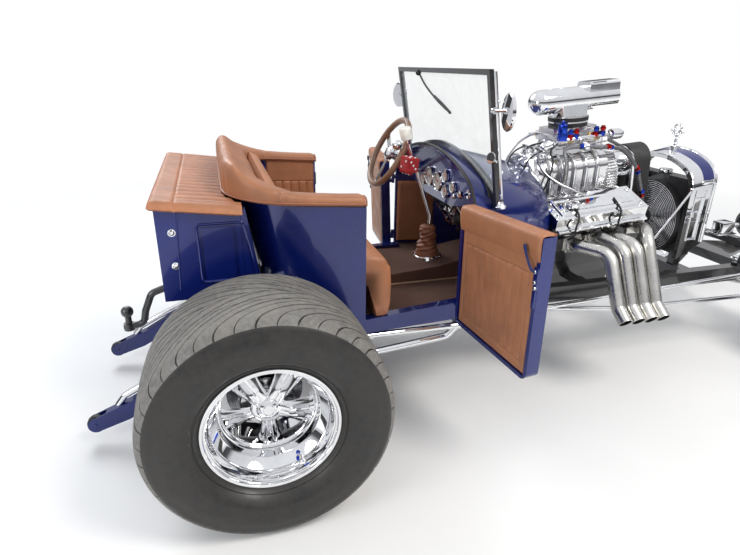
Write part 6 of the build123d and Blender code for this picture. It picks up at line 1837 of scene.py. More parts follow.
@dataclass
class ValveCovers:
    """Raised lids, acorn nuts, breathers and looms of both valve covers.

    Attributes:
        rear: Rear end of the covers.
        front: Front end of the covers.
    """

    rear: float = 1.314
    front: float = 1.780

    def on_top(self, x: float, share: float, lift: float, side: Side) -> Vector:
        """Point over the sloping top, from its place along and its share from outer to inner edge."""
        y, z = 0.334 - 0.148 * share, 0.790 + 0.060 * share
        return engine(x, side.value * (y + lift * 0.375), z + lift * 0.927)

    def build(self) -> None:
        """Makes them for both sides."""
        for side in Side:
            self.lid(side)
            self.breather(side)
            self.looms(side)

    def lid(self, side: Side) -> None:
        """Presses the raised panel with its ribs and sets the nuts."""
        lid = Piece(f"valve_cover_lid_{side.word}", CHROME)

        def shape(s: float, t: float) -> Vector:
            rim = min(s * 0.40, (1 - s) * 0.40, t * 0.12, (1 - t) * 0.12)
            lift = 0.0065 * eased(rim, 0.0, 0.006) - 0.0025 * eased(rim, 0.012,
                0.015) * (1 - eased(abs(t - 0.5), 0.26, 0.3))
            return self.on_top(self.rear + 0.033 + 0.40 * s, 0.1 + 0.8 * t, lift + 0.0004, side)

        lid.pillow(shape, 90, 40)
        lid.done(crease=30)
        ends = Piece(f"valve_cover_trim_{side.word}", CHROME)
        outline = [self.on_top(x, share, 0.0, side) for x,
                   share in ((self.rear, 0), (self.rear, 1), (self.front, 1), (self.front, 0))]
        ends.tube([outline[0], *(outline[0].lerp(outline[3], k / 4) for k in (1, 2, 3)), outline[3]], 0.0035,
                  sides=8, parts=2)
        for x in (self.rear + 0.016, self.front - 0.02):
            for share in (0.18, 0.82):
                spot = self.on_top(x, share, 0.0, side)
                up = self.on_top(x, share, 0.02, side) - spot
                ends.lathe([(0, 0), (0.0105, 0), (0.0105, 0.002), (0.007, 0.003), (0.007, 0.008),
                            (0.005, 0.012), (0, 0.0135)], aimed(spot, spot + up), 20)
        ends.done()

    def breather(self, side: Side) -> None:
        """Turns the breather's cap."""
        foot = engine(1.430, side.value * 0.262, 0.800)
        top = engine(1.430, side.value * 0.272, 0.842)
        cap = Piece(f"breather_{side.word}", CHROME)
        high = (top - foot).length
        cap.lathe([(0.0, high), (0.012, high + 0.001), (0.024, high - 0.0), (0.0325, high - 0.004),
                   (0.0335, high - 0.009), (0.0335, high - 0.017),
                   (0.0312, high - 0.019)], aimed(foot, top), 48)
        cap.done()
        Piece(f"breather_neck_{side.word}", BLACK_TRIM).lathe([(0.0312, 0.012), (0.0316, 0.013),
            (0.0316, high - 0.02), (0.0312, high - 0.019)], aimed(foot, top), 40).done()

    def looms(self, side: Side) -> None:
        """Lays the ignition leads over the cover and down to the plugs."""
        leads = Piece(f"plug_leads_{side.word}", BLACK_TRIM)
        for x, lean in ((1.393, 0.03), (1.611, 0.024)):
            leads.tube([self.on_top(x + lean * 1.6, 0.5, 0.009, side),
                        self.on_top(x + lean, 0.12, 0.010, side),
                        engine(x + lean * 0.6, side.value * 0.347, 0.788),
                        engine(x + 0.004, side.value * 0.352, 0.755), engine(x, side.value * 0.346, 0.712),
                        engine(x - 0.01, side.value * 0.318, 0.688)],
                       0.0045, sides=10, parts=5)
        for x in (1.36, 1.485, 1.575, 1.70):
            leads.rod(engine(x, side.value * 0.29, 0.69), engine(x, side.value * 0.325, 0.706), 0.0085,
                      0.0065, sides=12, edge=0.001)
            leads.tube([engine(x, side.value * 0.322, 0.705), engine(x + 0.01, side.value * 0.348, 0.715),
                        engine(x + 0.04, side.value * 0.35, 0.722)],
                       0.004, sides=8, parts=4)
        leads.done()
        clips = Piece(f"lead_clips_{side.word}", ALLOY)
        for x in (1.40, 1.62):
            clips.box((-0.006, -0.004, -0.006), (0.006, 0.004, 0.006), 0.001,
                      Matrix.Translation(engine(x + 0.015, side.value * 0.352, 0.758)))
        clips.done()


@dataclass
class HeaderMouths:
    """Bores of the header pipes, near-black for soot and painted shade and closed by a disc of painted shade,
    rolled lips of the pipes, and collars at their flanges.

    Attributes:
        radius: Outer radius of a pipe.
        tips: Place along the car of each tip.
        flanges: Place along the car and height of each flange.
    """

    radius: float = 0.0285
    tips: tuple[float, ...] = (1.503, 1.570, 1.635, 1.698)
    flanges: tuple[tuple[float, float], ...] = ((1.430, 0.650), (1.540, 0.678), (1.606, 0.680),
                                                (1.766, 0.706))

    def build(self) -> None:
        """Makes them for both sides."""
        for side in Side:
            soot_and_shade = Piece(f"header_bores_{side.word}", SOOT_AND_SHADE)
            lips = Piece(f"header_lips_{side.word}", PIPE_STEEL)
            for x in self.tips:
                tip = car(x, side.value * 0.618, 0.392)
                inner = car(x, side.value * 0.560, 0.436)
                back = aimed(tip, tip + (inner - tip))
                # Near-black lining for soot and painted shade, closed 53 mm into the bore by a disc of
                # painted shade.
                soot_and_shade.lathe([(self.radius - 0.0028, 0.0006), (self.radius - 0.0031, 0.02),
                            (self.radius - 0.0036, 0.052), (0, 0.053)], back, 40)
                lips.lathe([(self.radius - 0.0029, 0.0012), (self.radius - 0.0012, -0.0010),
                            (self.radius + 0.0012, 0.0), (self.radius + 0.0012, 0.004),
                            (self.radius + 0.0001, 0.0055)], back, 48)
            for x, z in self.flanges:
                start, end = engine(x, side.value * 0.291, z), engine(x, side.value * 0.34, z)
                lips.lathe([(self.radius + 0.0002, 0.0), (self.radius + 0.006, 0.001),
                            (self.radius + 0.004, 0.006), (self.radius + 0.0002, 0.009)], aimed(start, end),
                            40)
                for dx in (-0.037, 0.037):
                    for dz in (-0.024, 0.024):
                        lips.hexagon(engine(x + dx, side.value * 0.290, z + dz),
                                     engine(x + dx, side.value * 0.297, z + dz), 0.0062)
            soot_and_shade.done()
            lips.done()


class Powerplant:
    """All details of the engine."""

    def build(self) -> None:
        """Makes them."""
        Blower().build()
        Fuel().build()
        ValveCovers().build()
        HeaderMouths().build()


def arch_line(x: float, half: float, shoulder: float, crown: float, lift: float = 0.0,
              parts: int = 10) -> list[Vector]:
    """Points over a round-shouldered arch from the right shoulder to the left one.

    Args:
        x: Its place from the rear axle.
        half: Half of its width.
        shoulder: Height of its shoulders.
        crown: Height of its crown.
        lift: Distance that the line stands outside it.
        parts: Steps in each of its three arcs.

    Returns:
        The points, in the row's frame.
    """
    wide, rise = half + lift, crown + lift - shoulder
    knee, turn = Vector((x, wide * 0.76, shoulder + rise * 0.66)), Vector((x, wide * 0.94,
        shoulder + rise * 0.34))
    corner = arc_through(Vector((x, wide, shoulder)), turn, knee, parts)
    top = arc_through(knee, Vector((x, 0, crown + lift)), Vector((x, -knee.y, knee.z)), parts * 2)
    left = [*corner, *top[1:]]
    whole = [*left, *(Vector((p.x, -p.y, p.z)) for p in reversed(corner[:-1]))]
    return [car(*point) for point in reversed(whole)]


@dataclass
class Front:
    """Shell band, filler cap, fan guard, lamp dressing and the ornament's wings.

    Attributes:
        shell_rear: Rear edge of the shell.
        shell_front: Front edge of the shell.
        shell_half: Half of the shell's width.
        fan_radius: Radius of the fan's ring.
        wires: Rings of the fan's guard.
    """

    shell_rear: float = 2.110
    shell_front: float = 2.250
    shell_half: float = 0.236
    fan_radius: float = 0.187
    wires: int = 17

    def build(self) -> None:
        """Makes them."""
        self.band()
        self.guard()
        self.lamps()
        self.ornament()

    def arch(self, x: float, lift: float) -> list[Vector]:
        """The shell's outer line at a place along the car."""
        share = (x - self.shell_rear) / (self.shell_front - self.shell_rear)
        return arch_line(x, self.shell_half, 0.850 + 0.022 * share, 0.985 + 0.023 * share, lift)

    def band(self) -> None:
        """Lays the blue band over the crown, its chrome edges and end clips, and the filler cap."""
        places = [(2.1735, 0.0003), (2.1745, 0.0016), (2.19, 0.0024), (2.21, 0.0026), (2.228, 0.0024),
                  (2.2335, 0.0014), (2.2345, 0.0003)]
        lines = [self.arch(x, lift) for x, lift in places]
        band = Piece("shell_band", BLUE)
        rows = [[band.mesh.verts.new(point) for point in line[2:-2]] for line in lines]
        for one, two in zip(rows, rows[1:]):
            for a, b, c, d in zip(one, one[1:], two[1:], two):
                band.mesh.faces.new((a, b, c, d))
        band.done()
        edges = Piece("shell_edges", CHROME)
        edges.tube(self.arch(2.2475, -0.001), 0.0055, sides=10, parts=1)
        edges.tube(self.arch(2.1125, -0.001), 0.0045, sides=10, parts=1)
        for side in Side:
            y = side.value * (self.shell_half + 0.0005)
            edges.box((-0.036, -0.0035, -0.011), (0.036, 0.0035, 0.011), 0.003,
                      Matrix.Translation(car(2.206, y, 0.876)))
            for x in (2.1415, 2.2005):
                edges.tube([car(x, y, 0.84), car(x + 0.0005, y, 0.7), car(x + 0.001, y, 0.585)], 0.0032,
                           sides=8, parts=2)
            for z in (0.803, 0.588):
                edges.tube([car(2.1415, y, z), car(2.171, y, z + 0.001), car(2.2005, y, z + 0.002)], 0.0032,
                           sides=8, parts=2)
        edges.done()
        cap = Piece("radiator_cap", CHROME)
        foot = aimed(car(2.168, 0, 0.886), car(2.168, 0, 0.95))
        cap.lathe([(0.0305, 0.0), (0.0325, 0.001), (0.0325, 0.011), (0.0305, 0.0145), (0.02, 0.017),
                   (0.0, 0.018)], foot, 40)
        for k in range(2):
            cap.box((-0.0345, -0.006, 0.002), (0.0345, 0.006, 0.0125), 0.0025,
                    foot @ Matrix.Rotation(math.radians(90 * k + 20), 4, "Z"))
        cap.done()
        hose = Piece("radiator_hoses", BLACK_TRIM)
        hose.tube([engine(1.86, 0.06, 0.80), engine(1.9, 0.105, 0.83), car(1.99, 0.12, 0.875),
                   car(2.08, 0.1, 0.868), car(2.135, 0.09, 0.862)], 0.021, sides=16, parts=6)
        hose.done()

    def guard(self) -> None:
        """Bends the fan guard's rings and struts."""
        guard = Piece("fan_guard", STEEL)
        centre = Vector((2.0885, -0.024, 0.664))
        for k in range(self.wires):
            radius = 0.036 + (self.fan_radius - 0.042) * k / (self.wires - 1)
            dome = 0.012 * (1 - (radius / self.fan_radius) ** 2)
            guard.ring(car(centre.x - dome, centre.y, centre.z), (1, 0, 0), radius, 0.0013, sides=56,
                       around=5)
        for k in range(8):
            turn = math.tau * k / 8 + 0.35
            line = []
            for step in range(5):
                radius = 0.03 + (self.fan_radius - 0.032) * step / 4
                dome = 0.012 * (1 - (radius / self.fan_radius) ** 2) - 0.002
                line.append(car(centre.x - dome, centre.y + radius * math.cos(turn),
                                centre.z + radius * math.sin(turn)))
            guard.tube(line, 0.0016, sides=6, parts=2)
        guard.done()
        rim = Piece("fan_rim", CHROME)
        points = [(self.fan_radius + 0.001, 0.0), (self.fan_radius + 0.0012, -0.006),
                  (self.fan_radius - 0.004, -0.008), (self.fan_radius - 0.012, -0.006)]
        rim.lathe(points, facing(car(2.093, centre.y, centre.z), (1, 0, 0), (0, 0.3, 1)), 72,
                  math.radians(80))
        rim.done()
        hub = Piece("fan_motor", BLACK_TRIM)
        back = aimed(car(2.090, centre.y, centre.z), car(2.0, centre.y, centre.z))
        hub.lathe([(0, 0.026), (0.026, 0.025), (0.032, 0.02), (0.033, 0.0), (0, 0.0)], back, 40)
        hub.done()

    def lamps(self) -> None:
        """Dresses the head lamps with rims, and sets the chrome boxes behind them."""
        for side in Side:
            y = side.value * 0.345
            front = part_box("headlamps")[1].x - AXLE_X
            rim = Piece(f"lamp_rim_{side.word}", CHROME)
            ahead = aimed(car(front - 0.012, y, 0.690), car(front + 1, y, 0.690))
            rim.lathe([(0.0885, -0.012), (0.0915, -0.010), (0.0925, 0.0), (0.090, 0.008), (0.083, 0.0115),
                       (0.080, 0.009)], ahead, 72)
            rim.done()
            box = Piece(f"lamp_box_{side.word}", CHROME)
            box.box((-0.036, -0.03, -0.026), (0.036, 0.03, 0.026), 0.004,
                    Matrix.Translation(car(2.232, y, 0.684)))
            box.box((-0.055, -0.036, -0.003), (0.055, 0.036, 0.003), 0.0012,
                    Matrix.Translation(car(2.228, y, 0.654)))
            for x in (2.20, 2.262):
                box.hexagon(car(x, y - side.value * 0.028, 0.655), car(x, y - side.value * 0.028, 0.664),
                            0.006)
            box.rod(car(2.262, y, 0.684), car(2.37, y, 0.688), 0.011, sides=16, edge=0.001)
            box.done()

    def ornament(self) -> None:
        """Shapes the ornament's feathered wings and collars."""
        wings = Piece("ornament_wings", CHROME)
        for side in Side:
            for k in range(4):
                reach, drop = 0.040 - 0.006 * k, 0.006 * k
                wings.tube([car(2.188, side.value * 0.006, 1.086 - drop),
                            car(2.186, side.value * reach * 0.6, 1.090 - drop),
                            car(2.180, side.value * reach, 1.098 - drop)], 0.0026, sides=8, parts=4)
        up = aimed(car(2.188, 0, 1.0), car(2.188, 0, 1.2))
        for z in (0.018, 0.032, 0.058, 0.074):
            wings.lathe([(0.007, z - 0.003), (0.0105, z - 0.002), (0.0115, z), (0.0105, z + 0.002),
                         (0.007, z + 0.003)], up, 24)
        wings.done()


@dataclass
class Bodywork:
    """Panels, beads, bolts and strips of the painted body.

    Attributes:
        box_half: Half of the luggage box's width.
    """

    box_half: float = 0.485

    def build(self) -> None:
        """Makes them for both sides."""
        cheeks = Piece("box_cheeks", BLUE)
        outline = [(-0.024, 0.652), (0.035, 0.652), (-0.010, 0.950), (-0.024, 0.921)]
        for side in Side:
            low, high = sorted((side.value * 0.40, side.value * (self.box_half - 0.0005)))
            place = Matrix((( 1, 0, 0, AXLE_X), (0, 0, -1, high), (0, 1, 0, 0), (0, 0, 0, 1)))
            cheeks.plate(outline, place, high - low)
        cheeks.done()
        for side in Side:
            self.side_panel(side)
        self.strips()
        self.posts()

    def side_panel(self, side: Side) -> None:
        """Presses the bead frame into the box's side and sets its bolts."""
        y = side.value * (self.box_half + 0.0002)
        frame_bead = Piece(f"box_bead_{side.word}", BLUE)
        corners = [(-0.166, 0.898), (-0.020, 0.898), (0.018, 0.700), (-0.163, 0.700)]
        line = []
        for (x0, z0), (x1, z1) in zip(corners, [*corners[1:], corners[0]]):
            line += [car(x0 + (x1 - x0) * k, y, z0 + (z1 - z0) * k) for k in (0.06, 0.35, 0.65, 0.94)]
        frame_bead.tube([*line, line[0]], 0.0045, sides=8, parts=4)
        frame_bead.tube([car(-0.222, y, 0.941), car(-0.229, y, 0.81), car(-0.237, y, 0.678)], 0.0028, sides=8,
                        parts=2)
        frame_bead.done()
        bolts = Piece(f"box_bolts_{side.word}", CHROME)
        for z in (0.877, 0.764):
            out = aimed(car(-0.243, y, z), car(-0.243, y + side.value, z))
            bolts.lathe([(0, 0.0075), (0.005, 0.007), (0.0085, 0.004), (0.0095, 0.001), (0.0125, 0.0008),
                         (0.0125, 0.0), (0, 0.0)], out, 24)
        bolts.done()

    def strips(self) -> None:
        """Lays the strip under the windshield and the trim on the cowl's rear edge."""
        strip = Piece("windshield_strip", BLACK_TRIM)
        strip.tube(arch_line(0.913, 0.4555, 0.850, 1.0488, 0.003)[4:-4], 0.006, sides=10, parts=1)
        strip.tube(arch_line(0.944, 0.4495, 0.850, 1.0432, 0.003)[4:-4], 0.005, sides=10, parts=1)
        strip.done()
        edge = Piece("cowl_edge_trim", BLACK_TRIM)
        edge.tube(arch_line(0.843, 0.4695, 0.850, 1.0617, -0.004)[2:-2], 0.0065, sides=10, parts=1)
        edge.done()
        bead_line = Piece("cowl_bead", BLUE)
        for side in Side:
            bead_line.tube([car(0.86, side.value * 0.4665, 0.846), car(0.955, side.value * 0.4475, 0.846),
                            car(1.1, side.value * 0.3832, 0.798),
                            car(1.27, side.value * 0.3094, 0.748)], 0.005, sides=8, parts=6)
        bead_line.done()
        striker = Piece("door_strikers", BLACK_TRIM)
        pins = Piece("striker_pins", CHROME)
        for side in Side:
            y = side.value * 0.462
            striker.box((-0.001, -0.016, -0.030), (0.0026, 0.016, 0.030), 0.0008,
                        Matrix.Translation(car(JAMB, y, 0.842)))
            for z in (0.828, 0.858):
                pins.rod(car(0.4040, y, z), car(0.4070, y, z), 0.0045, sides=14, edge=0.001)
        striker.done()
        pins.done()

    def posts(self) -> None:
        """Dresses the windshield: polished stanchions, feet and hinge covers, and sets the oval mirror and
        the wiper.
        """
        lean = (0.925 - 0.848) / (1.376 - 0.918)
        polished = Piece("windshield_stanchions", CHROME)
        for side in Side:
            y = side.value * 0.474
            polished.tube([car(0.925 - (z - 0.918) * lean + 0.0135, y, z) for z in (0.925, 1.05, 1.2, 1.368)],
                          0.0068, sides=14, parts=3)
            foot = aimed(car(0.938, y, 0.886), car(0.933, y, 0.93))
            polished.lathe([(0, 0), (0.021, 0.0), (0.0215, 0.006), (0.015, 0.012), (0.0105, 0.03),
                            (0.0095, 0.05), (0, 0.052)], foot, 28)
            for z in (1.02, 1.27):
                x = 0.925 - (z - 0.918) * lean
                polished.ball(car(x + 0.02, y, z), 0.007, 14)
        polished.done()
        oval = Piece("oval_mirror_back", CHROME)
        place = facing(car(0.872, -0.488, 1.078), (-0.9, -0.25, 0.12))
        oval.lathe([(0.0, -0.012), (0.018, -0.010), (0.03, -0.003), (0.0335, 0.001), (0.0335, 0.003),
                    (0.031, 0.0035)],
                   place @ Matrix.Diagonal((0.62, 1.12, 1, 1)), 48)
        oval.rod(car(0.902, -0.474, 1.06), car(0.876, -0.486, 1.076), 0.0045, sides=12)
        oval.done()
        glass = Piece("oval_mirror", MIRROR)
        glass.lathe([(0.0, 0.0034), (0.02, 0.0034), (0.0312, 0.0033)],
                    place @ Matrix.Diagonal((0.62, 1.12, 1, 1)), 48)
        glass.done()
        wiper = Piece("wiper", BLACK_TRIM)
        wiper.tube([car(0.846, 0.20, 1.352), car(0.850, 0.12, 1.30), car(0.858, 0.0, 1.245),
                    car(0.862, -0.10, 1.212)], 0.004, sides=8, parts=4)
        wiper.tube([car(0.851, 0.02, 1.262), car(0.854, -0.06, 1.236), car(0.858, -0.14, 1.205)], 0.0055,
                   sides=8, parts=3)
        wiper.ball(car(0.843, 0.20, 1.354), 0.013, 18)
        wiper.done()


@dataclass
class Gauge:
    """One round gauge of the dash.

    Attributes:
        name: Its name.
        y: Its place across.
        z: Its height.
        radius: Radius of its bezel.
        needle: Angle of its needle in degrees.
    """

    name: str
    y: float
    z: float
    radius: float
    needle: float

    def build(self) -> None:
        """Makes bezel, face, marks and needle."""
        back = aimed(car(0.874, self.y, self.z), car(0.5, self.y, self.z))
        r = self.radius
        rim = Piece(f"{self.name}_bezel", CHROME)
        rim.lathe([(r * 0.82, 0.0005), (r * 0.84, 0.004), (r * 0.92, 0.0068), (r * 1.0, 0.0055),
                   (r * 1.03, 0.001), (r * 1.03, -0.004)], back, 56)
        rim.done()
        face = Piece(f"{self.name}_face", DIAL)
        face.lathe([(0, 0.0012), (r * 0.5, 0.0012), (r * 0.84, 0.0010)], back, 48)
        face.done()
        marks = Piece(f"{self.name}_marks", BLACK_TRIM)
        for k in range(25):
            turn = math.radians(-130 + 260 * k / 24)
            long = 0.16 if k % 4 == 0 else 0.08
            fit = back @ Matrix.Rotation(turn, 4, "Z")
            marks.box((-r * 0.012, r * (0.74 - long), 0.0013), (r * 0.012, r * 0.74, 0.0018), 0.0, fit)
        marks.done()
        needle = Piece(f"{self.name}_needle", RED_MARK)
        fit = back @ Matrix.Rotation(math.radians(self.needle), 4, "Z")
        needle.box((-r * 0.03, -r * 0.12, 0.0022), (r * 0.03, r * 0.62, 0.003), 0.0, fit)
        needle.lathe([(r * 0.12, 0.0015), (r * 0.12, 0.0038), (0, 0.0042)], back, 16)
        needle.done()


class Cabin:
    """Gauges, knobs, shifter dressing, dice, wheel details and carpet binding."""

    def build(self) -> None:
        """Makes them."""
        for name, y, z, radius, needle in (("speed_gauge", -0.020, 0.900, 0.044, 60),
                                           ("rev_gauge", 0.076, 0.906, 0.044, 95),
                                           ("oil_gauge", -0.096, 0.938, 0.028, -20),
                                           ("water_gauge", -0.104, 0.872, 0.028, 30),
                                           ("volt_gauge", 0.150, 0.880, 0.028, 0),
                                           ("fuel_gauge", -0.180, 0.905, 0.024, -45)):
            Gauge(name, y, z, radius, needle).build()
        self.knobs()
        self.shifter()
        self.dice()
        self.wheel()
        self.carpet()
        self.kick_panels()

    def kick_panels(self) -> None:
        """Covers the cowl's inner sides with leather."""
        for side in Side:

            def shape(s: float, t: float) -> Vector:
                x, z = 0.850 + 0.19 * s, 0.478 + 0.33 * t
                rim = min(s * 0.19, (1 - s) * 0.19, t * 0.33, (1 - t) * 0.33)
                puff = 0.010 * math.sqrt(1 - (1 - min(1.0, rim / 0.010)) ** 2)
                return car(x, side.value * (0.4455 - (x - 0.85) * 0.21 - puff), z)

            panel = Piece(f"kick_panel_{side.word}", HIDE).patch(shape, 50, 60, 0.003).done(crease=70)

    def knobs(self) -> None:
        """Turns the dash's knobs and switches."""
        knobs = Piece("dash_knobs", CHROME)
        for y, z, size in ((-0.315, 0.905, 0.017), (-0.262, 0.886, 0.010), (0.235, 0.893, 0.012),
                           (0.285, 0.905, 0.012)):
            back = aimed(car(0.882, y, z), car(0.5, y, z))
            knobs.lathe([(size * 1.1, 0.0), (size * 1.1, 0.002), (size * 0.4, 0.004), (size * 0.38, 0.022),
                         (size * 0.8, 0.026),
                         (size, 0.034), (size * 0.9, 0.042), (size * 0.5, 0.046), (0, 0.047)], back, 32)
        knobs.done()
        under = Piece("under_dash_wires", BLACK_TRIM)
        for k, (y0, y1, drop) in enumerate(((-0.1, 0.1, 0.06), (-0.16, 0.03, 0.085), (0.02, 0.2, 0.07),
                                            (-0.05, 0.16, 0.10), (-0.2, -0.06, 0.05))):
            x = 0.91 + 0.008 * k
            under.tube([car(x, y0, 0.86), car(x - 0.005, y0 * 0.6 + y1 * 0.4, 0.852 - drop),
                        car(x + 0.005, y0 * 0.3 + y1 * 0.7, 0.856 - drop * 0.8),
                        car(x, y1, 0.862)], 0.0042, sides=8, parts=6)
        under.ball(car(0.965, -0.075, 0.735), 0.034, 20, (0.8, 1, 1))
        under.done()
        bracket = Piece("pedal_bracket", ALLOY)
        bracket.box((-0.018, -0.040, -0.052), (0.018, 0.040, 0.052), 0.004,
                    Matrix.Translation(car(0.945, -0.045, 0.805)))
        for z in (0.775, 0.835):
            for y in (-0.072, -0.018):
                bracket.hexagon(car(0.927, y, z), car(0.921, y, z), 0.0065)
        bracket.rod(car(0.94, -0.105, 0.80), car(0.985, -0.155, 0.70), 0.006, sides=14)
        bracket.rod(car(0.962, -0.163, 0.688), car(0.955, -0.163, 0.689), 0.024, sides=32, edge=0.002)
        bracket.done()

    def shifter(self) -> None:
        """Sews the shifter's boot, sets its ring's screws and the white knob."""
        up = aimed(car(0.850, 0, 0.528), car(0.850, 0, 1.0))
        height = 0.150

        def sleeve(s: float, t: float) -> Vector:
            turn = math.tau * s
            radius = 0.0590 - 0.017 * min(1.0, t * 2.0) - 0.008 * t
            if t > 0.93:
                radius *= 1 - 0.62 * ((t - 0.93) / 0.07) ** 1.5
            folds = 0.0034 * math.sin(3 * turn + 9 * t) + 0.0028 * math.sin(24 * t + 2 * turn)
            folds = folds + 0.0018 * math.sin(47 * t - 4 * turn)
            radius += folds * eased(t, 0.05, 0.3) * (1 - eased(t, 0.85, 0.97))
            lean = 0.004 * t
            return up @ Vector((radius * math.cos(turn) + lean, radius * math.sin(turn), 0.018 + height * t))

        boot = Piece("shifter_boot", DARK_HIDE).pillow(sleeve, 64, 72)
        boot.done(crease=80)
        ring = Piece("boot_ring", CHROME)
        for k in range(8):
            turn = math.tau * k / 8
            spot = Vector((0.0635 * math.cos(turn), 0.0635 * math.sin(turn), 0.0175))
            ring.lathe([(0, 0.0025), (0.003, 0.002), (0.0045, 0)], up @ Matrix.Translation(spot), 12)
        ring.lathe([(0.0585, 0.018), (0.0600, 0.0215), (0.0615, 0.018)], up, 48)
        ring.done()
        knob = Piece("shifter_knob", IVORY)
        foot = aimed(car(0.7275, 0, 1.0835), car(0.72, 0, 1.112))
        knob.lathe([(0.010, 0.0), (0.023, 0.0008), (0.0262, 0.004), (0.0272, 0.010), (0.0272, 0.044),
                    (0.0262, 0.050), (0.022, 0.0545), (0, 0.0555)], foot, 48)
        knob.done()
        collar = Piece("knob_collar", CHROME).lathe([(0.0085, -0.022), (0.011, -0.021), (0.0125, -0.002),
                                                     (0.0135, 0.002), (0.0085, 0.002)], foot, 32)
        collar.done()

    def dice(self) -> None:
        """Hangs the two plush dice on taut strings from the knob's collar, one on each side of the lever."""
        pips = {2: ((-1, -1), (1, 1)), 3: ((-1, -1), (0, 0), (1, 1)),
                5: ((-1, -1), (1, 1), (0, 0), (-1, 1), (1, -1))}
        size = 0.031
        top = car(0.7285, 0, 1.078)
        for name, centre, turn in (("die_near", (0.724, -0.047, 0.986), (0.06, 0.12, 0.25)),
                                   ("die_far", (0.752, 0.047, 0.956), (-0.1, 0.3, -0.4))):
            spot = car(*centre)
            place = Matrix.Translation(spot)
            for angle, axis in zip(turn, "XYZ"):
                place = place @ Matrix.Rotation(angle, 4, axis)
            die = Piece(name, PLUSH).box((-size, -size, -size), (size, size, size), 0.006, place, segments=4)
            die.done(rounds=1)
            dots = Piece(f"{name}_dots", WHITE_TRIM)
            for axis, count in ((Vector((1, 0, 0)), 2), (Vector((0, 1, 0)), 3), (Vector((0, 0, 1)), 5)):
                one = Vector((axis.y, axis.z, axis.x))
                two = axis.cross(one)
                for sign in (-1, 1):
                    for a, b in pips[count]:
                        dot = axis * sign * (size - 0.0022) + (one * a + two * b) * size * 0.46
                        dots.ball(place @ dot, 0.0052, 12)
            dots.done()
            string = Piece(f"{name}_string", PLUSH)
            start = top + Vector((0, centre[1] * 0.25, 0))
            string.tube([start, (start + spot) / 2, spot + Vector((0, 0, size * 0.98))], 0.0016, sides=8,
                        parts=2)
            string.done()

    def wheel(self) -> None:
        """Covers the steering wheel's rim with leather, and trims its hub."""
        tilt = math.radians(27.7)
        centre = car(0.723, 0.240, 0.994)
        axis = Vector((-math.cos(tilt), 0, math.sin(tilt)))
        rim = Piece("wheel_rim_leather", RIM_HIDE, "steering_wheel").ring(centre, axis, 0.165, 0.0148,
            sides=96, around=20)
        rim.done()
        face = facing(centre, axis, (0, 1, 0))
        hub = Piece("wheel_hub_cap", CHROME, "steering_wheel")
        hub.lathe([(0.0365, -0.002), (0.037, 0.002), (0.030, 0.008), (0.018, 0.0115), (0, 0.012)], face, 40)
        for k in range(6):
            turn = math.tau * k / 6
            spot = (0.027 * math.cos(turn), 0.027 * math.sin(turn))
            hub.hexagon(face @ Vector((*spot, 0.006)), face @ Vector((*spot, 0.0125)), 0.0042)
        hub.done()

    def carpet(self) -> None:
        """Binds the carpet's edges."""
        binding = Piece("carpet_binding", BINDING)
        for side in Side:
            y = side.value * TUNNEL_HALF
            along = [car(x, y, CARPET_EDGE_Z) for x in (0.545, 0.7, 0.85, 1.05)]
            binding.tube(along, 0.004, sides=8, parts=3)
        for side in Side:
            binding.tube([car(0.55, side.value * 0.395, CARPET_EDGE_Z),
                          car(0.7, side.value * 0.388, CARPET_EDGE_Z),
                          car(0.82, side.value * 0.38, CARPET_EDGE_Z)], 0.004, sides=8, parts=3)
        binding.done()


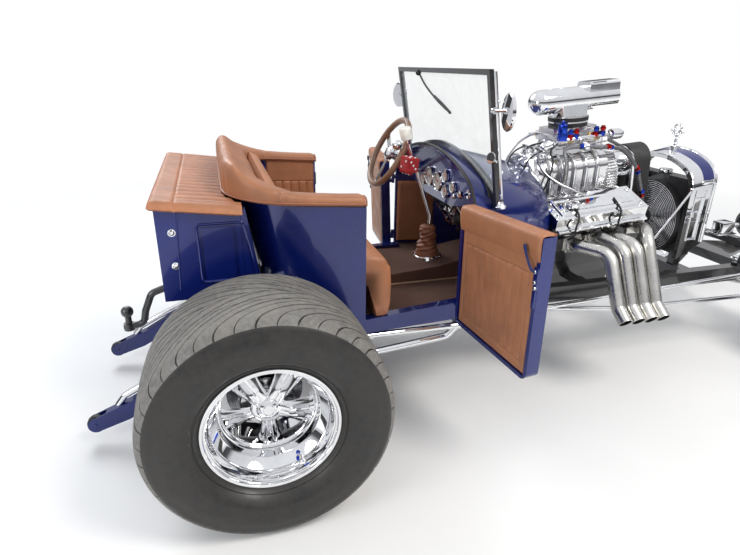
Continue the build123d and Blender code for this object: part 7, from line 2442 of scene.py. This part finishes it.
class Studio:
    """Camera of the photograph, pale floor and soft light."""

    def build(self) -> None:
        """Makes them."""
        self.camera()
        self.floor()
        self.light()

    def camera(self) -> None:
        """Places the camera as the photograph's was."""
        lens = bpy.data.cameras.new("camera")
        lens.sensor_width = 36.0
        lens.lens = 25.764
        lens.clip_start = 0.05
        eye = bpy.data.objects.new("camera", lens)
        bpy.context.scene.collection.objects.link(eye)
        yaw, pitch, roll = 0.29052, 0.38230, 0.013827
        ahead = Vector((math.sin(yaw) * math.cos(pitch), math.cos(yaw) * math.cos(pitch), -math.sin(pitch)))
        right = Vector((math.cos(yaw), -math.sin(yaw), 0))
        above = right.cross(ahead)
        turned = Matrix.Rotation(-roll, 3, ahead)
        axes = Matrix((turned @ right, turned @ above, -ahead)).transposed().to_4x4()
        eye.matrix_world = Matrix.Translation((-1.3633, -2.2205, 1.3849)) @ axes
        scene = bpy.context.scene
        scene.camera = eye
        scene.render.resolution_x, scene.render.resolution_y = 740, 555
        scene.view_settings.view_transform = "Standard"

    def floor(self) -> None:
        """Lays the pale floor."""
        graph = Graph("studio_floor")
        graph.wire(Base_Color=graph.ramp(graph.noise(2.0, 4.0), 0.3, 0.7, (0.83, 0.83, 0.83),
                                         (0.86, 0.86, 0.86)))
        graph.fix(Roughness=0.75)
        reach = graph.add("ShaderNodeVectorMath", {"Vector": graph.coords},
                          operation="LENGTH").outputs["Value"]
        far = graph.spread(reach, 2.2, 5.5, 0.0, 1.0)
        seen = graph.add("ShaderNodeMath", {"Value": far}, operation="MULTIPLY")
        graph.tree.links.new(graph.add("ShaderNodeLightPath").outputs["Is Camera Ray"], seen.inputs[1])
        white = graph.add("ShaderNodeEmission", Color=(1, 1, 1, 1), Strength=1.0)
        mixed = graph.add("ShaderNodeMixShader", {"Fac": seen.outputs[0]})
        graph.tree.links.new(graph.shader.outputs[0], mixed.inputs[1])
        graph.tree.links.new(white.outputs[0], mixed.inputs[2])
        graph.tree.links.new(mixed.outputs[0], graph.tree.nodes["Material Output"].inputs["Surface"])
        data = bpy.data.meshes.new("studio_floor")
        shape = bmesh.new()
        bmesh.ops.create_grid(shape, x_segments=8, y_segments=8, size=30,
                              matrix=Matrix.Translation((0, 0, -0.0005)))
        shape.to_mesh(data)
        shape.free()
        data.materials.append(graph.material)
        sheet = bpy.data.objects.new("studio_floor", data)
        bpy.context.scene.collection.objects.link(sheet)

    def light(self) -> None:
        """Sets the sky and the lamps."""
        world = bpy.data.worlds.new("studio")
        bpy.context.scene.world = world
        world.use_nodes = True
        tree = world.node_tree
        tree.nodes.clear()
        path = tree.nodes.new("ShaderNodeLightPath")
        coords = tree.nodes.new("ShaderNodeTexCoord")
        split = tree.nodes.new("ShaderNodeSeparateXYZ")
        tree.links.new(coords.outputs["Generated"], split.inputs[0])
        band = tree.nodes.new("ShaderNodeValToRGB")
        band.color_ramp.elements[0].position = 0.0
        band.color_ramp.elements[0].color = (0.5, 0.5, 0.5, 1)
        band.color_ramp.elements[1].position = 1.0
        band.color_ramp.elements[1].color = (0.95, 0.97, 1.0, 1)
        for place, value in ((0.47, 0.42), (0.5, 0.06), (0.56, 0.1), (0.62, 0.75)):
            stop = band.color_ramp.elements.new(place)
            stop.color = (value, value, value * 1.04, 1)
        half = tree.nodes.new("ShaderNodeMapRange")
        half.inputs["From Min"].default_value = -1.0
        half.inputs["From Max"].default_value = 1.0
        tree.links.new(split.outputs["Z"], half.inputs["Value"])
        tree.links.new(half.outputs[0], band.inputs["Fac"])
        mirrored = tree.nodes.new("ShaderNodeBackground")
        tree.links.new(band.outputs[0], mirrored.inputs["Color"])
        mirrored.inputs["Strength"].default_value = 1.0
        soft = tree.nodes.new("ShaderNodeBackground")
        soft.inputs["Color"].default_value = (0.93, 0.96, 1.0, 1)
        soft.inputs["Strength"].default_value = 0.72
        white = tree.nodes.new("ShaderNodeBackground")
        white.inputs["Color"].default_value = (1, 1, 1, 1)
        shiny = tree.nodes.new("ShaderNodeMath")
        shiny.operation = "MAXIMUM"
        tree.links.new(path.outputs["Is Glossy Ray"], shiny.inputs[0])
        tree.links.new(path.outputs["Is Transmission Ray"], shiny.inputs[1])
        first = tree.nodes.new("ShaderNodeMixShader")
        tree.links.new(shiny.outputs[0], first.inputs[0])
        tree.links.new(soft.outputs[0], first.inputs[1])
        tree.links.new(mirrored.outputs[0], first.inputs[2])
        second = tree.nodes.new("ShaderNodeMixShader")
        tree.links.new(path.outputs["Is Camera Ray"], second.inputs[0])
        tree.links.new(first.outputs[0], second.inputs[1])
        tree.links.new(white.outputs[0], second.inputs[2])
        out = tree.nodes.new("ShaderNodeOutputWorld")
        tree.links.new(second.outputs[0], out.inputs["Surface"])
        self.lamp("key", (1.6, -3.2, 4.6), (-0.4, 0, 0.6), 2.2, 190.0, (1, 0.96, 0.9))
        self.lamp("rim", (-2.4, 3.4, 3.8), (-0.4, 0, 0.7), 2.6, 130.0, (0.95, 0.97, 1))
        self.lamp("side", (-4.4, -2.2, 1.9), (-0.9, 0, 0.6), 1.6, 45.0, (1, 1, 1))

    def lamp(self, name: str, place: Point, aim: Point, size: float, power: float, tint: Colour) -> None:
        """Hangs one soft lamp.

        Args:
            name: Its name.
            place: Where it hangs.
            aim: The point that it faces.
            size: Its width in metres.
            power: Its power in watts.
            tint: Its colour.
        """
        light = bpy.data.lights.new(name, "AREA")
        light.shape = "DISK"
        light.size = size
        light.energy = power
        light.color = tint
        holder = bpy.data.objects.new(name, light)
        bpy.context.scene.collection.objects.link(holder)
        line = Vector(aim) - Vector(place)
        holder.matrix_world = Matrix.Translation(place) @ line.to_track_quat("-Z", "Y").to_matrix().to_4x4()


class Bare:
    """CAD nodes that keep their shape and only get a finish."""

    BY_SLOT = {
        "body_paint": BLUE,
        "frame_paint": BLACK_PAINT,
        "chrome": CHROME,
        "tyre_rubber": SIDEWALL,
        "tan_leather": HIDE,
        "carpet": CARPET,
        "screen_glass": PANE,
        "header_steel": PIPE_STEEL,
        "polished_case": ALLOY,
        "engine_iron": IRON,
        "belt_rubber": BELT_BLACK,
        "steel_links": STEEL,
        "black_plastic": BLACK_TRIM,
        "mirror_face": MIRROR,
    }

    def build(self) -> None:
        """Gives every CAD node the finish of its slot."""
        for part in frame["record"]["subparts"]:
            dressed(self.BY_SLOT[part["material_slot"]], part["node"])
        dressed(CHROME, "steering_wheel")


def main() -> None:
    """Builds the studio and every sub-assembly, in order."""
    logging.basicConfig(level=logging.INFO, format="%(message)s")
    Studio().build()
    Bare().build()
    Wheels().build()
    Upholstery().build()
    Powerplant().build()
    Front().build()
    Bodywork().build()
    Cabin().build()
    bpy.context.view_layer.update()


if __name__ == "__main__":
    main()
